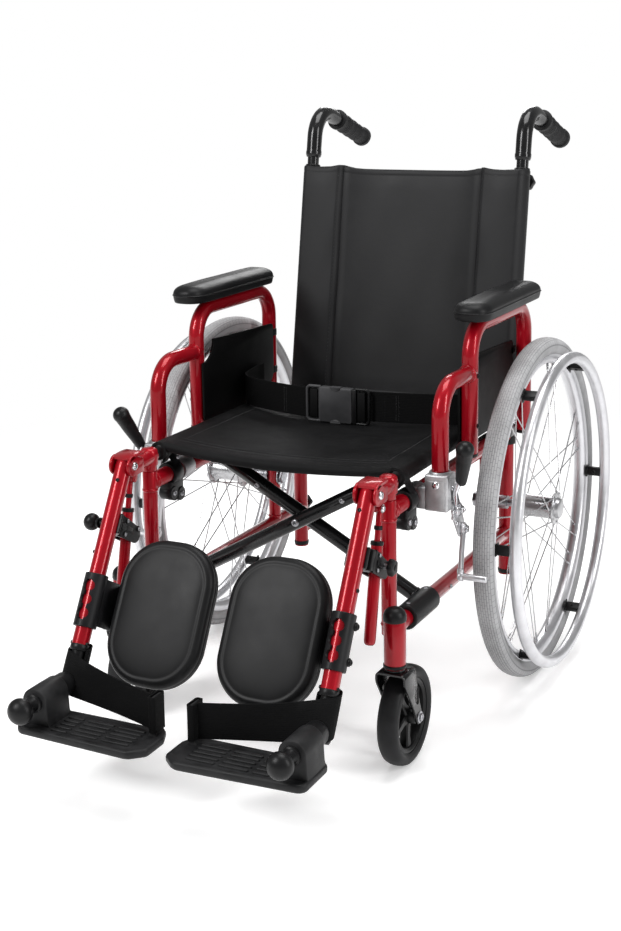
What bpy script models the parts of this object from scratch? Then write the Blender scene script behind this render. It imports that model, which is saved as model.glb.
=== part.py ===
"""Folding pediatric wheelchair with swing-away elevating legrests.

Metres, +Z up. The chair faces -Y, its left side is +X and it stands on Z = 0, with the rear axle above Y = 0.
Left pieces are modelled first and the right ones are their mirror images. Only the two bars of the
cross brace differ, because they pass each other in neighbouring planes.
"""

import math

import bmesh
import bpy
from mathutils import Matrix, Vector

# Clearances
SEAT_GAP = 0.0003
RUN_GAP = 0.0004

# Rear wheels
WHEEL_DIAMETER = 0.559
WHEEL_X = 0.290
TYRE_WIDTH = 0.032
TYRE_HEIGHT = 0.027
RIM_WIDTH = 0.024
RIM_HEIGHT = 0.016
HUB_FLANGE_SPACING = 0.060
HUB_FLANGE_RADIUS = 0.027
HUB_BARREL_RADIUS = 0.0165
SPOKE_COUNT = 28
SPOKE_RADIUS = 0.0013
SPOKE_SWEEP = 62.0
HANDRIM_INSET = 0.0315
HANDRIM_RADIUS = WHEEL_DIAMETER / 2 - HANDRIM_INSET
HANDRIM_TUBE_RADIUS = 0.0095
HANDRIM_X = 0.334
HANDRIM_TABS = 6
AXLE_RADIUS = 0.0065
RING_SEGMENTS = 36

# Side frame
FRAME_X = 0.199
TUBE_RADIUS = 0.0127
FRONT_POST_Y = -0.412
FRONT_POST_RADIUS = 0.0113
FRONT_POST_TOP = 0.390
REAR_POST_Y = 0.105
REAR_POST_BOTTOM = 0.118
UPPER_RAIL_Z = 0.372
LOWER_RAIL_Z = 0.192
CANE_BEND_Z = 0.405
CANE_TOP_Z = 0.812
CANE_LEAN = 9.9
CANE_BORE_DEPTH = 0.150
SADDLE_LENGTH = 0.022
SADDLE_FRONT_Y = -0.350
SADDLE_REAR_Y = 0.010

# Casters
CASTER_RADIUS = 0.0735
CASTER_WIDTH = 0.032
CASTER_TRAIL = 0.035
CASTER_STEM_X = 0.226
CASTER_STEM_Y = -0.455
CASTER_HOUSING_RADIUS = 0.0160
CASTER_HOUSING_BOTTOM = 0.158
CASTER_HOUSING_TOP = 0.230
CASTER_STEM_RADIUS = 0.0060
CASTER_SPOKES = 5
CASTER_SEGMENTS = 24
FORK_PLATE = 0.0040
FORK_TYRE_GAP = 0.0035

# Cross brace and seat
BRACE_RADIUS = 0.0115
BRACE_SLEEVE_RADIUS = 0.0190
BRACE_SLEEVE_FRONT = -0.352
BRACE_SLEEVE_BACK = -0.206
BRACE_FRONT_PLANE = -0.302
BRACE_PLANE_STEP = 0.026
SEAT_RAIL_Z = 0.414
SEAT_RAIL_RADIUS = 0.0110
SEAT_RAIL_FRONT = -0.382
SEAT_RAIL_BACK = 0.048
SEAT_THICKNESS = 0.020
SEAT_SAG = 0.009
SEAT_TONGUE = 0.034

# Back
BACK_TOP_Z = 0.816
BACK_BOTTOM_Z = 0.412
BACK_SKIN = 0.0018
BACK_SEAM_X = 0.130
BACK_PAD_RISE = 0.010
BACK_SAG = 0.016

# Armrests
ARM_X = 0.240
ARM_FRONT_POST_Y = -0.315
ARM_SECOND_POST_Y = -0.190
ARM_REAR_POST_Y = 0.070
ARM_PIVOT_Z = 0.395
ARM_TOP_Z = 0.6035
ARM_TEE_Z = 0.535
ARM_BEND = 0.048
ARM_SECOND_POST_BOTTOM = 0.404
PAD_FRONT_Y = -0.222
PAD_BACK_Y = 0.054
PAD_WIDTH = 0.062
PAD_OFFSET = 0.0065
PAD_HEIGHT = 0.028
PANEL_THICKNESS = 0.0042
PANEL_BOTTOM = 0.415
PANEL_TOP = 0.552
PANEL_TOP_FALL = 0.008
SOCKET_SIZE = 0.036
SOCKET_TOP = 0.412
SOCKET_BOTTOM = 0.354
SOCKET_DEPTH = 0.040

# Wheel lock
LEVER_PIVOT = (0.0, -0.300, 0.352)
SHOE_PIVOT = (0.0, -0.278, 0.316)
LOCK_PLATE_X = 0.2585
LOCK_PLATE_THICKNESS = 0.0035
LEVER_THICKNESS = 0.0045
GRIP_BOTTOM = (0.274, -0.318, 0.402)
GRIP_TOP = (0.292, -0.350, 0.462)
GRIP_RADIUS = 0.0120
SHOE_BAR_RADIUS = 0.0045
SHOE_BAR_Z = 0.246
SHOE_TYRE_GAP = 0.0095

# Legrests
CLEVIS_Y = -0.482
CLEVIS_Z = 0.416
HANGER_TUBE_Z = 0.412
HANGER_PIN_RADIUS = 0.0062
HANGER_PIN_LENGTH = 0.045
LEG_LEAN = 29.4
LEG_TUBE_END = 0.274
EXTENSION_RADIUS = 0.0100
EXTENSION_INSERT = 0.110
EXTENSION_END = 0.338
STRUT_PIVOT_Y = -0.457
STRUT_PIVOT_Z = 0.3895
STRUT_LEAN = 12.0
STRUT_X = 0.2050
STRUT_RADIUS = 0.0085
STRUT_ROD_RADIUS = 0.0045
STRUT_LENGTH = 0.190
LOCK_BLOCK_DISTANCE = 0.087
CALF_SLEEVE_DISTANCE = 0.205
CALF_SLEEVE_LENGTH = 0.078
CALF_SLEEVE_RADIUS = 0.0175
CALF_PAD_X = 0.0905
CALF_PAD_WIDTH = 0.153
CALF_PAD_LENGTH = 0.212
CALF_PAD_DEPTH = 0.026
PAD_FULLNESS = 0.66
CALF_TRAY_DEPTH = 0.008
FOOT_AXIS_X = 0.199
FOOT_AXIS_Z = 0.138
BARREL_RADIUS = 0.0200
BARREL_LENGTH = 0.054
BARREL_BACK = CLEVIS_Y - EXTENSION_END * math.sin(math.radians(LEG_LEAN)) - 0.0265
BARREL_FRONT = BARREL_BACK - BARREL_LENGTH
FOOT_AXIS_Y = BARREL_BACK + 0.014
SPINDLE_RADIUS = 0.0080
PLATE_TOP = FOOT_AXIS_Z - 0.031
PLATE_THICKNESS = 0.012
PLATE_INNER_X = 0.014
PLATE_OUTER_X = 0.224
PLATE_FRONT_Y = BARREL_FRONT - 0.024
PLATE_BACK_Y = BARREL_BACK + 0.006
PLATE_RIBS = 6
POST_INSET = 0.014
STRAP_HEIGHT = 0.052
RIB_HEIGHT = 0.0016

# Push handles
HANDLE_RADIUS = 0.0104
HANDLE_INSERT = 0.100
KNOB_RADIUS = 0.0145
HANDLE_CORNER_Z = 0.925
HANDLE_END_Y = 0.392
HANDLE_END_Z = 0.860
HANDLE_BEND = 0.050
GRIP_SLEEVE_RADIUS = 0.0135
GRIP_SLEEVE_START_Z = 0.832

# Belt
BELT_Z = 0.4540
BELT_Y = -0.130
BELT_WIDTH = 0.038
BELT_THICKNESS = 0.0030
BUCKLE_LEFT_X = 0.048
BUCKLE_RIGHT_X = -0.068
BUCKLE_HEIGHT = 0.062
BUCKLE_DEPTH = 0.018

TUBE_RESOLUTION = 3
SIDES = 10

parts = bpy.data.collections.new("pediatric_wheelchair")
cutters = bpy.data.collections.new("cutters")
materials = {}
placed = {}


def clear_scene():
    for item in list(bpy.data.objects):
        bpy.data.objects.remove(item, do_unlink=True)
    bpy.context.scene.collection.children.link(parts)
    bpy.context.scene.collection.children.link(cutters)


def material(name, colour, roughness, metallic=0.0):
    made = bpy.data.materials.new(name)
    made.use_nodes = True
    shader = made.node_tree.nodes["Principled BSDF"]
    shader.inputs["Base Color"].default_value = (*colour, 1.0)
    shader.inputs["Roughness"].default_value = roughness
    shader.inputs["Metallic"].default_value = metallic
    materials[name] = made


def make_materials():
    material("red_paint", (0.42, 0.010, 0.022), 0.22, 0.35)
    material("black_paint", (0.018, 0.018, 0.019), 0.35)
    material("black_plastic", (0.022, 0.022, 0.023), 0.55)
    material("black_vinyl", (0.020, 0.020, 0.021), 0.60)
    material("black_webbing", (0.012, 0.012, 0.013), 0.85)
    material("grey_tyre", (0.40, 0.40, 0.41), 0.75)
    material("silver", (0.72, 0.72, 0.73), 0.35, 0.85)
    material("cast_grey", (0.55, 0.55, 0.56), 0.40, 0.70)
    material("polished", (0.80, 0.80, 0.81), 0.18, 1.0)
    material("black_rubber", (0.015, 0.015, 0.016), 0.70)


def new_object(name, data):
    made = bpy.data.objects.new(name, data)
    cutters.objects.link(made)
    return made


def mesh_object(name, bm):
    mesh = bpy.data.meshes.new(name)
    bm.to_mesh(mesh)
    bm.free()
    return new_object(name, mesh)


def bake(source, weld=1e-5):
    """Replace an object and its modifiers by the mesh that they make, in world space."""
    bpy.context.view_layer.update()
    evaluated = source.evaluated_get(bpy.context.evaluated_depsgraph_get())
    mesh = bpy.data.meshes.new_from_object(evaluated)
    mesh.transform(source.matrix_world)
    bm = bmesh.new()
    bm.from_mesh(mesh)
    bmesh.ops.remove_doubles(bm, verts=bm.verts, dist=weld)
    bmesh.ops.dissolve_degenerate(bm, edges=bm.edges, dist=weld)
    bm.to_mesh(mesh)
    bm.free()
    name = source.name
    bpy.data.objects.remove(source, do_unlink=True)
    return new_object(name, mesh)


def boolean(target, others, operation):
    for other in others:
        step = target.modifiers.new(operation.lower(), "BOOLEAN")
        step.operation = operation
        step.solver = "EXACT"
        step.object = other
    result = bake(target)
    for other in others:
        bpy.data.objects.remove(other, do_unlink=True)
    return result


def fuse(target, *others):
    return boolean(target, others, "UNION")


def cut(target, *others):
    return boolean(target, others, "DIFFERENCE")


def joined(items):
    """One object from several that don't touch each other."""
    bm = bmesh.new()
    for item in items:
        bm.from_mesh(item.data)
        bpy.data.objects.remove(item, do_unlink=True)
    return mesh_object("joined", bm)


def box(low, high, bevel=0.0, segments=1):
    bm = bmesh.new()
    bmesh.ops.create_cube(bm, size=1.0)
    low, high = Vector(low), Vector(high)
    size = high - low
    bmesh.ops.scale(bm, vec=size, verts=bm.verts)
    bmesh.ops.translate(bm, vec=(low + high) / 2, verts=bm.verts)
    if bevel:
        bmesh.ops.bevel(
            bm, geom=bm.edges[:], offset=bevel, segments=segments, profile=0.5, affect="EDGES", material=-1
        )
    return mesh_object("box", bm)


def rod(start, end, radius, sides=SIDES, end_radius=None, turn=0.0):
    """A solid cylinder or cone between two points."""
    start, end = Vector(start), Vector(end)
    axis = end - start
    bm = bmesh.new()
    bmesh.ops.create_cone(
        bm,
        cap_ends=True,
        segments=sides,
        radius1=radius,
        radius2=radius if end_radius is None else end_radius,
        depth=axis.length,
    )
    spin = Matrix.Rotation(turn, 4, "Z")
    aim = axis.to_track_quat("Z", "Y").to_matrix().to_4x4()
    bm.transform(Matrix.Translation((start + end) / 2) @ aim @ spin)
    return mesh_object("rod", bm)


def ball(centre, radius, sides=12, rings=8, scale=(1, 1, 1)):
    bm = bmesh.new()
    bmesh.ops.create_uvsphere(bm, u_segments=sides, v_segments=rings, radius=radius)
    bmesh.ops.scale(bm, vec=scale, verts=bm.verts)
    bmesh.ops.translate(bm, vec=centre, verts=bm.verts)
    return mesh_object("ball", bm)


def bore(radius, sides=SIDES):
    """Radius of a faceted bore whose flats stay clear of a pin of the given radius."""
    return (radius + RUN_GAP) / math.cos(math.pi / sides)


def rounded(points, radius, steps=5):
    """Round the inner corners of a path with arcs."""
    points = [Vector(p) for p in points]
    path = [points[0]]
    for before, corner, after in zip(points, points[1:], points[2:]):
        into = (before - corner).normalized()
        out = (after - corner).normalized()
        half = into.angle(out) / 2
        centre = corner + (into + out).normalized() * radius / math.sin(half)
        reach = radius / math.tan(half)
        first = corner + into * reach - centre
        axis = into.cross(out)
        sweep = math.pi - 2 * half
        for index in range(steps + 1):
            path.append(centre + Matrix.Rotation(-sweep * index / steps, 3, axis) @ first)
    path.append(points[-1])
    return path


def tube(points, radius, resolution=TUBE_RESOLUTION):
    """A round tube along a path, with flat ends."""
    curve = bpy.data.curves.new("tube", "CURVE")
    curve.dimensions = "3D"
    curve.bevel_depth = radius
    curve.bevel_resolution = resolution
    curve.use_fill_caps = True
    spline = curve.splines.new("POLY")
    spline.points.add(len(points) - 1)
    for slot, point in zip(spline.points, points):
        slot.co = (*point, 1.0)
    return bake(new_object("tube", curve))


def flat(outline, thickness, plane, level):
    """A flat piece from a closed outline. The plane is XY, XZ or YZ and the piece starts at a level on the
    remaining axis and grows along it."""
    curve = bpy.data.curves.new("flat", "CURVE")
    curve.dimensions = "2D"
    curve.fill_mode = "BOTH"
    curve.extrude = thickness / 2
    spline = curve.splines.new("POLY")
    spline.points.add(len(outline) - 1)
    for slot, point in zip(spline.points, outline):
        slot.co = (point[0], point[1], 0.0, 1.0)
    spline.use_cyclic_u = True
    made = new_object("flat", curve)
    centre = level + thickness / 2
    if plane == "XY":
        made.matrix_world = Matrix.Translation((0, 0, centre))
    elif plane == "XZ":
        made.matrix_world = Matrix.Translation((0, centre, 0)) @ Matrix.Rotation(math.radians(90), 4, "X")
    else:
        turn = Matrix(((0, 0, 1, 0), (1, 0, 0, 0), (0, 1, 0, 0), (0, 0, 0, 1)))
        made.matrix_world = Matrix.Translation((centre, 0, 0)) @ turn
    return outward(bake(made))


def arc(centre, radius, start, stop, steps):
    """Points on an arc, in degrees."""
    points = []
    for index in range(steps + 1):
        angle = math.radians(start + (stop - start) * index / steps)
        points.append((centre[0] + radius * math.cos(angle), centre[1] + radius * math.sin(angle)))
    return points


def link_plate(ends, radii, steps=6):
    """Outline of a link: two round ends joined by straight sides."""
    (ax, ay), (bx, by) = ends
    first, second = radii
    heading = math.degrees(math.atan2(by - ay, bx - ax))
    return arc((ax, ay), first, heading + 90, heading + 270, steps) + arc(
        (bx, by), second, heading - 90, heading + 90, steps
    )


def ring(profile, centre, segments):
    """A ring about an X axis: a closed profile of (radius, x) points turned with a Screw modifier."""
    mesh = bpy.data.meshes.new("ring")
    points = [(radius, 0.0, x) for radius, x in profile]
    count = len(points)
    mesh.from_pydata(points, [(i, (i + 1) % count) for i in range(count)], [])
    made = new_object("ring", mesh)
    turned = made.modifiers.new("turn", "SCREW")
    turned.axis = "Z"
    turned.steps = segments
    turned.render_steps = segments
    turned.use_merge_vertices = True
    turned.merge_threshold = 1e-5
    facet_down = Matrix.Rotation(math.pi / segments, 4, "Z")
    made.matrix_world = Matrix.Translation(centre) @ Matrix.Rotation(math.radians(90), 4, "Y") @ facet_down
    return outward(bake(made))


def outward(item):
    bm = bmesh.new()
    bm.from_mesh(item.data)
    bmesh.ops.recalc_face_normals(bm, faces=bm.faces)
    if bm.calc_volume(signed=True) < 0:
        bmesh.ops.reverse_faces(bm, faces=bm.faces)
    bm.to_mesh(item.data)
    bm.free()
    return item


def moved(item, matrix):
    item.data.transform(matrix)
    return item


def leg_point(distance, back=0.0, x=FRAME_X):
    """A point on the leg tube: distance down from the clevis and offset to the back of the tube."""
    lean = math.radians(LEG_LEAN)
    return Vector(
        (
            x,
            CLEVIS_Y - distance * math.sin(lean) + back * math.cos(lean),
            CLEVIS_Z - distance * math.cos(lean) - back * math.sin(lean),
        )
    )


def leg_matrix(distance, x=FRAME_X):
    """Frame on the leg tube: local Z points up along the tube and local Y to its back."""
    lean = math.radians(LEG_LEAN)
    return Matrix.Translation(leg_point(distance, 0.0, x)) @ Matrix.Rotation(-lean, 4, "X")


def cane_point(z):
    return Vector((FRAME_X, REAR_POST_Y + max(z - CANE_BEND_Z, 0.0) * math.tan(math.radians(CANE_LEAN)), z))


def cane_matrix(z):
    """Frame on the cane: local Z points up along the cane and local Y to the back."""
    return Matrix.Translation(cane_point(z)) @ Matrix.Rotation(-math.radians(CANE_LEAN), 4, "X")


def brace_angle():
    return math.atan2(SEAT_RAIL_Z - LOWER_RAIL_Z, 2 * FRAME_X)


def finish(item, name, slot, origin, body):
    """Name a left or central piece, give it its material and set its origin on its body's axis."""
    item.name = name
    item.data.name = name
    item.data.materials.clear()
    item.data.materials.append(materials[slot])
    item.data.transform(Matrix.Translation(-Vector(origin)))
    item.location = origin
    item.data.shade_smooth()
    item.data.set_sharp_from_angle(angle=math.radians(35))
    cutters.objects.unlink(item)
    parts.objects.link(item)
    placed[name] = body
    return item


def mirror_piece(name):
    """Make the right piece of a left one."""
    source = bpy.data.objects["left_" + name]
    mesh = source.data.copy()
    mesh.transform(Matrix.Scale(-1, 4, (1, 0, 0)))
    mesh.flip_normals()
    made = bpy.data.objects.new("right_" + name, mesh)
    mesh.name = made.name
    made.location = (-source.location.x, source.location.y, source.location.z)
    parts.objects.link(made)
    placed[made.name] = placed[source.name].replace("left_", "right_")


def side_frame():
    x = FRAME_X
    frame = rod((x, FRONT_POST_Y, LOWER_RAIL_Z), (x, FRONT_POST_Y, FRONT_POST_TOP), FRONT_POST_RADIUS)
    cane = rounded(
        [(x, REAR_POST_Y, REAR_POST_BOTTOM), (x, REAR_POST_Y, CANE_BEND_Z), cane_point(CANE_TOP_Z)], 0.08, 3
    )
    stem = (CASTER_STEM_X, CASTER_STEM_Y)
    rail_front = CASTER_STEM_Y + CASTER_HOUSING_RADIUS * 0.6
    rail_turn = FRONT_POST_Y + TUBE_RADIUS
    pieces = [
        tube([(x, FRONT_POST_Y, UPPER_RAIL_Z), (x, REAR_POST_Y, UPPER_RAIL_Z)], TUBE_RADIUS),
        tube(
            [
                (CASTER_STEM_X - CASTER_HOUSING_RADIUS * 0.3, rail_front, LOWER_RAIL_Z),
                (x, rail_turn, LOWER_RAIL_Z),
                (x, REAR_POST_Y, LOWER_RAIL_Z),
            ],
            TUBE_RADIUS,
        ),
        tube(cane, TUBE_RADIUS),
        rod((x, 0, LOWER_RAIL_Z), (x, 0, UPPER_RAIL_Z), TUBE_RADIUS * 0.85),
        rod((*stem, CASTER_HOUSING_BOTTOM), (*stem, CASTER_HOUSING_TOP), CASTER_HOUSING_RADIUS, 16),
        ball((*stem, CASTER_HOUSING_TOP), CASTER_HOUSING_RADIUS * 1.03, 16, 8),
        rod((x, 0, axle_z()), (WHEEL_X - HUB_FLANGE_SPACING / 2 - 0.0068, 0, axle_z()), AXLE_RADIUS * 1.7),
        rod((x, 0, axle_z()), (WHEEL_X + HUB_FLANGE_SPACING / 2, 0, axle_z()), AXLE_RADIUS),
        rod((x, REAR_POST_Y, 0.150), (x, REAR_POST_Y + 0.034, 0.150), 0.0100, 10),
    ]
    for y in (SADDLE_FRONT_Y, SADDLE_REAR_Y):
        saddle = box(
            (x - SEAT_RAIL_RADIUS, y - SADDLE_LENGTH / 2, UPPER_RAIL_Z),
            (x + SEAT_RAIL_RADIUS, y + SADDLE_LENGTH / 2, SEAT_RAIL_Z),
            0.001,
        )
        groove = rod(
            (x, y - SADDLE_LENGTH, SEAT_RAIL_Z), (x, y + SADDLE_LENGTH, SEAT_RAIL_Z), SEAT_RAIL_RADIUS + SEAT_GAP, 16
        )
        clear_top = box((x - 0.02, y - 0.04, SEAT_RAIL_Z - 0.003), (x + 0.02, y + 0.04, SEAT_RAIL_Z + 0.01))
        pieces.append(cut(saddle, groove, clear_top))
    pieces.extend(arm_hinge())
    frame = fuse(frame, *pieces)
    post_bore = bore(HANGER_PIN_RADIUS)
    stem_bore = bore(CASTER_STEM_RADIUS)
    cane_bore = bore(HANDLE_RADIUS)
    bore_start = cane_matrix(CANE_TOP_Z) @ Vector((0, 0, 0.002))
    bore_end = cane_matrix(CANE_TOP_Z) @ Vector((0, 0, -CANE_BORE_DEPTH))
    frame = cut(
        frame,
        rod(
            (x, FRONT_POST_Y, FRONT_POST_TOP - HANGER_PIN_LENGTH - 0.002),
            (x, FRONT_POST_Y, FRONT_POST_TOP + 0.002),
            post_bore,
        ),
        rod((*stem, CASTER_HOUSING_BOTTOM - 0.002), (*stem, CASTER_HOUSING_TOP - 0.008), stem_bore),
        rod(bore_start, bore_end, cane_bore),
    )
    finish(frame, "left_side_frame", "red_paint", (x, 0, LOWER_RAIL_Z), "left_frame")


def axle_z():
    """Axle height with the tyre standing on one of its facets."""
    return wheel_radius() * math.cos(math.pi / RING_SEGMENTS)


def wheel_radius():
    return WHEEL_DIAMETER / 2


def arm_hinge():
    """Lug, shoulder and pin that carry the rear post of the flip-back armrest."""
    y, z = ARM_REAR_POST_Y, ARM_PIVOT_Z
    inner = ARM_X - TUBE_RADIUS
    outer = ARM_X + TUBE_RADIUS
    lug = flat(
        [(y - 0.018, UPPER_RAIL_Z)] + arc((y, z), 0.016, 180, 0, 8) + [(y + 0.018, UPPER_RAIL_Z)],
        inner - PANEL_THICKNESS - 0.0012 - (FRAME_X + 0.005),
        "YZ",
        FRAME_X + 0.005,
    )
    shoulder = rod((FRAME_X + 0.010, y, z), (inner - SEAT_GAP, y, z), 0.0080)
    pin = rod((FRAME_X + 0.010, y, z), (outer + 0.002, y, z), 0.0050)
    head = rod((outer + 0.0008, y, z), (outer + 0.0045, y, z), 0.0085)
    return [lug, shoulder, pin, head]


def arm_socket():
    half = SOCKET_SIZE / 2
    y = ARM_FRONT_POST_Y
    body = box((ARM_X - half, y - half, SOCKET_BOTTOM), (ARM_X + half, y + half, SOCKET_TOP), 0.0025, 2)
    clamp = box((FRAME_X, y - half + 0.002, SOCKET_BOTTOM + 0.001), (ARM_X, y + half - 0.002, UPPER_RAIL_Z + 0.016), 0.002)
    lever_eye = (LEVER_PIVOT[1], LEVER_PIVOT[2])
    shoe_eye = (SHOE_PIVOT[1], SHOE_PIVOT[2])
    plate = flat(link_plate((lever_eye, shoe_eye), (0.016, 0.013)), LOCK_PLATE_THICKNESS, "YZ", LOCK_PLATE_X - 0.0015)
    pin_end = LOCK_PLATE_X + LOCK_PLATE_THICKNESS + LEVER_THICKNESS + 0.002
    lever_pin = rod((LOCK_PLATE_X, *lever_eye), (pin_end, *lever_eye), 0.0040)
    shoe_pin = rod((LOCK_PLATE_X, *shoe_eye), (pin_end, *shoe_eye), 0.0040)
    lever_head = rod((pin_end - 0.0012, *lever_eye), (pin_end + 0.0016, *lever_eye), 0.0070, 6)
    shoe_head = rod((pin_end - 0.0012, *shoe_eye), (pin_end + 0.0016, *shoe_eye), 0.0065, 6)
    rivet_z = SOCKET_TOP - SOCKET_SIZE / 2
    rivet = rod((ARM_X, y - half - 0.0012, rivet_z), (ARM_X, y - half + 0.004, rivet_z), 0.0060, 10)
    body = fuse(body, clamp, plate, lever_pin, shoe_pin, lever_head, shoe_head, rivet)
    rail = rod(
        (FRAME_X, y - 0.05, UPPER_RAIL_Z), (FRAME_X, y + 0.05, UPPER_RAIL_Z), TUBE_RADIUS + SEAT_GAP, 20
    )
    pocket = rod(
        (ARM_X, y, SOCKET_TOP - SOCKET_DEPTH), (ARM_X, y, SOCKET_TOP + 0.002), bore(TUBE_RADIUS + 0.0004, 16), 16
    )
    body = cut(body, rail, pocket)
    finish(body, "left_arm_socket", "cast_grey", (ARM_X, y, SOCKET_TOP), "left_frame")


def lever_plane():
    return LOCK_PLATE_X - 0.0015 + LOCK_PLATE_THICKNESS + RUN_GAP


def brake_lever():
    x = lever_plane()
    eye = (LEVER_PIVOT[1], LEVER_PIVOT[2])
    knee = (GRIP_BOTTOM[1] + 0.006, GRIP_BOTTOM[2] - 0.024)
    plate = flat(link_plate((eye, knee), (0.0105, 0.006)), LEVER_THICKNESS, "YZ", x)
    middle = x + LEVER_THICKNESS / 2
    rod_path = rounded([(middle, *eye), (middle, *knee), GRIP_BOTTOM, Vector(GRIP_BOTTOM).lerp(GRIP_TOP, 0.5)], 0.008, 2)
    start = Vector(GRIP_BOTTOM)
    along = (Vector(GRIP_TOP) - start).normalized()
    grip = rod(start, start + along * 0.022, GRIP_RADIUS * 0.62, 10, GRIP_RADIUS * 0.84)
    body = rod(start + along * 0.018, Vector(GRIP_TOP) - along * 0.006, GRIP_RADIUS * 0.90, 10, GRIP_RADIUS)
    crown = ball(Vector(GRIP_TOP) - along * 0.0085, GRIP_RADIUS * 1.02, 10, 6)
    shank = tube(rod_path[1:], 0.0042, 2)
    lever = fuse(plate, shank, grip, body, crown)
    hole = rod((x - 0.01, *eye), (x + 0.02, *eye), bore(0.0040))
    lever = cut(lever, hole)
    finish(lever, "left_brake_lever", "silver", (x, *eye), "left_brake_lever")


def brake_shoe():
    x = lever_plane()
    eye = (SHOE_PIVOT[1], SHOE_PIVOT[2])
    drop = axle_z() - SHOE_BAR_Z
    tyre_front = -math.sqrt(wheel_radius() ** 2 - drop**2)
    bar = (tyre_front - SHOE_TYRE_GAP - SHOE_BAR_RADIUS, SHOE_BAR_Z)
    arm = flat(link_plate((eye, bar), (0.0095, 0.0060)), LEVER_THICKNESS, "YZ", x)
    shoe = rod((x, *bar), (WHEEL_X + 0.014, *bar), SHOE_BAR_RADIUS, 10)
    collar = rod((x, *bar), (x + LEVER_THICKNESS + 0.003, *bar), 0.0072, 10)
    body = fuse(arm, shoe, collar)
    body = cut(body, rod((x - 0.01, *eye), (x + 0.02, *eye), bore(0.0040)))
    finish(body, "left_brake_shoe", "silver", (x, *eye), "left_brake_shoe")


def wheel_centre():
    return Vector((WHEEL_X, 0, axle_z()))


def tyre():
    outer = wheel_radius()
    inner = outer - TYRE_HEIGHT
    half = TYRE_WIDTH / 2
    profile = [
        (outer, 0.005),
        (outer - 0.004, half - 0.004),
        (outer - 0.012, half),
        (inner, RIM_WIDTH / 2 + 0.0005),
        (inner, -RIM_WIDTH / 2 - 0.0005),
        (outer - 0.012, -half),
        (outer - 0.004, -half + 0.004),
        (outer, -0.005),
    ]
    body = ring(profile, wheel_centre(), RING_SEGMENTS)
    finish(body, "left_tyre", "grey_tyre", wheel_centre(), "left_wheel")


def rim_outer():
    return wheel_radius() - TYRE_HEIGHT - SEAT_GAP


def rim_inner():
    return rim_outer() - RIM_HEIGHT


def rim():
    half = RIM_WIDTH / 2
    profile = [
        (rim_outer(), half),
        (rim_inner() + 0.006, half),
        (rim_inner(), half * 0.45),
        (rim_inner(), -half * 0.45),
        (rim_inner() + 0.006, -half),
        (rim_outer(), -half),
    ]
    body = ring(profile, wheel_centre(), RING_SEGMENTS)
    finish(body, "left_rim", "silver", wheel_centre(), "left_wheel")


def spoke(flange_side, foot_angle, sweep):
    """One spoke from a hub flange to the rim, laid off the radius by a sweep angle."""
    layer = math.copysign(SPOKE_RADIUS * 1.35, sweep)
    foot_x = WHEEL_X + flange_side * HUB_FLANGE_SPACING / 2 + layer
    foot_radius = HUB_FLANGE_RADIUS - 0.003
    foot = Vector((foot_x, foot_radius * math.cos(foot_angle), axle_z() + foot_radius * math.sin(foot_angle)))
    reach = rim_inner() * math.cos(math.pi / RING_SEGMENTS) - 0.0006
    top_angle = foot_angle + sweep
    top_x = WHEEL_X + flange_side * 0.001 + layer
    head = Vector((top_x, reach * math.cos(top_angle), axle_z() + reach * math.sin(top_angle)))
    return rod(foot, head, SPOKE_RADIUS, 3)


def hub():
    x, z = WHEEL_X, axle_z()
    half = HUB_FLANGE_SPACING / 2
    body = rod((x - half - 0.006, 0, z), (x + half + 0.010, 0, z), HUB_BARREL_RADIUS, 16)
    pieces = []
    for side in (-1, 1):
        pieces.append(rod((x + side * half - 0.002, 0, z), (x + side * half + 0.002, 0, z), HUB_FLANGE_RADIUS, 16))
    pairs = SPOKE_COUNT // 4
    step = 2 * math.pi / pairs
    spokes = []
    for flange_side in (-1, 1):
        shift = 0.0 if flange_side < 0 else step / 4
        for index in range(pairs):
            angle = index * step + shift
            spokes.append(spoke(flange_side, angle, math.radians(SPOKE_SWEEP)))
            spokes.append(spoke(flange_side, angle + step / 2, -math.radians(SPOKE_SWEEP)))
    body = fuse(body, *pieces, joined(spokes))
    body = cut(body, rod((x - half - 0.02, 0, z), (x + half + 0.002, 0, z), bore(AXLE_RADIUS)))
    finish(body, "left_hub", "polished", wheel_centre(), "left_wheel")


def handrim():
    x, z = HANDRIM_X, axle_z()
    count = 8
    profile = [
        (
            HANDRIM_RADIUS + HANDRIM_TUBE_RADIUS * math.cos(2 * math.pi * i / count),
            HANDRIM_TUBE_RADIUS * math.sin(2 * math.pi * i / count),
        )
        for i in range(count)
    ]
    body = ring(profile, (x, 0, z), RING_SEGMENTS)
    tabs = []
    for index in range(HANDRIM_TABS):
        turn = 2 * math.pi * (index + 0.5) / HANDRIM_TABS
        inner = rim_inner() + 0.004
        low = (WHEEL_X + RIM_WIDTH / 2 + SEAT_GAP, -0.007, inner)
        tab = box(low, (x - 0.004, 0.007, inner + 0.010))
        tab.data.transform(Matrix.Translation((0, 0, z)) @ Matrix.Rotation(turn, 4, "X"))
        tabs.append(tab)
    body = fuse(body, *tabs)
    finish(body, "left_handrim", "silver", wheel_centre(), "left_wheel")


def caster_axle():
    return Vector((CASTER_STEM_X, CASTER_STEM_Y + CASTER_TRAIL, CASTER_RADIUS * math.cos(math.pi / CASTER_SEGMENTS)))


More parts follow.
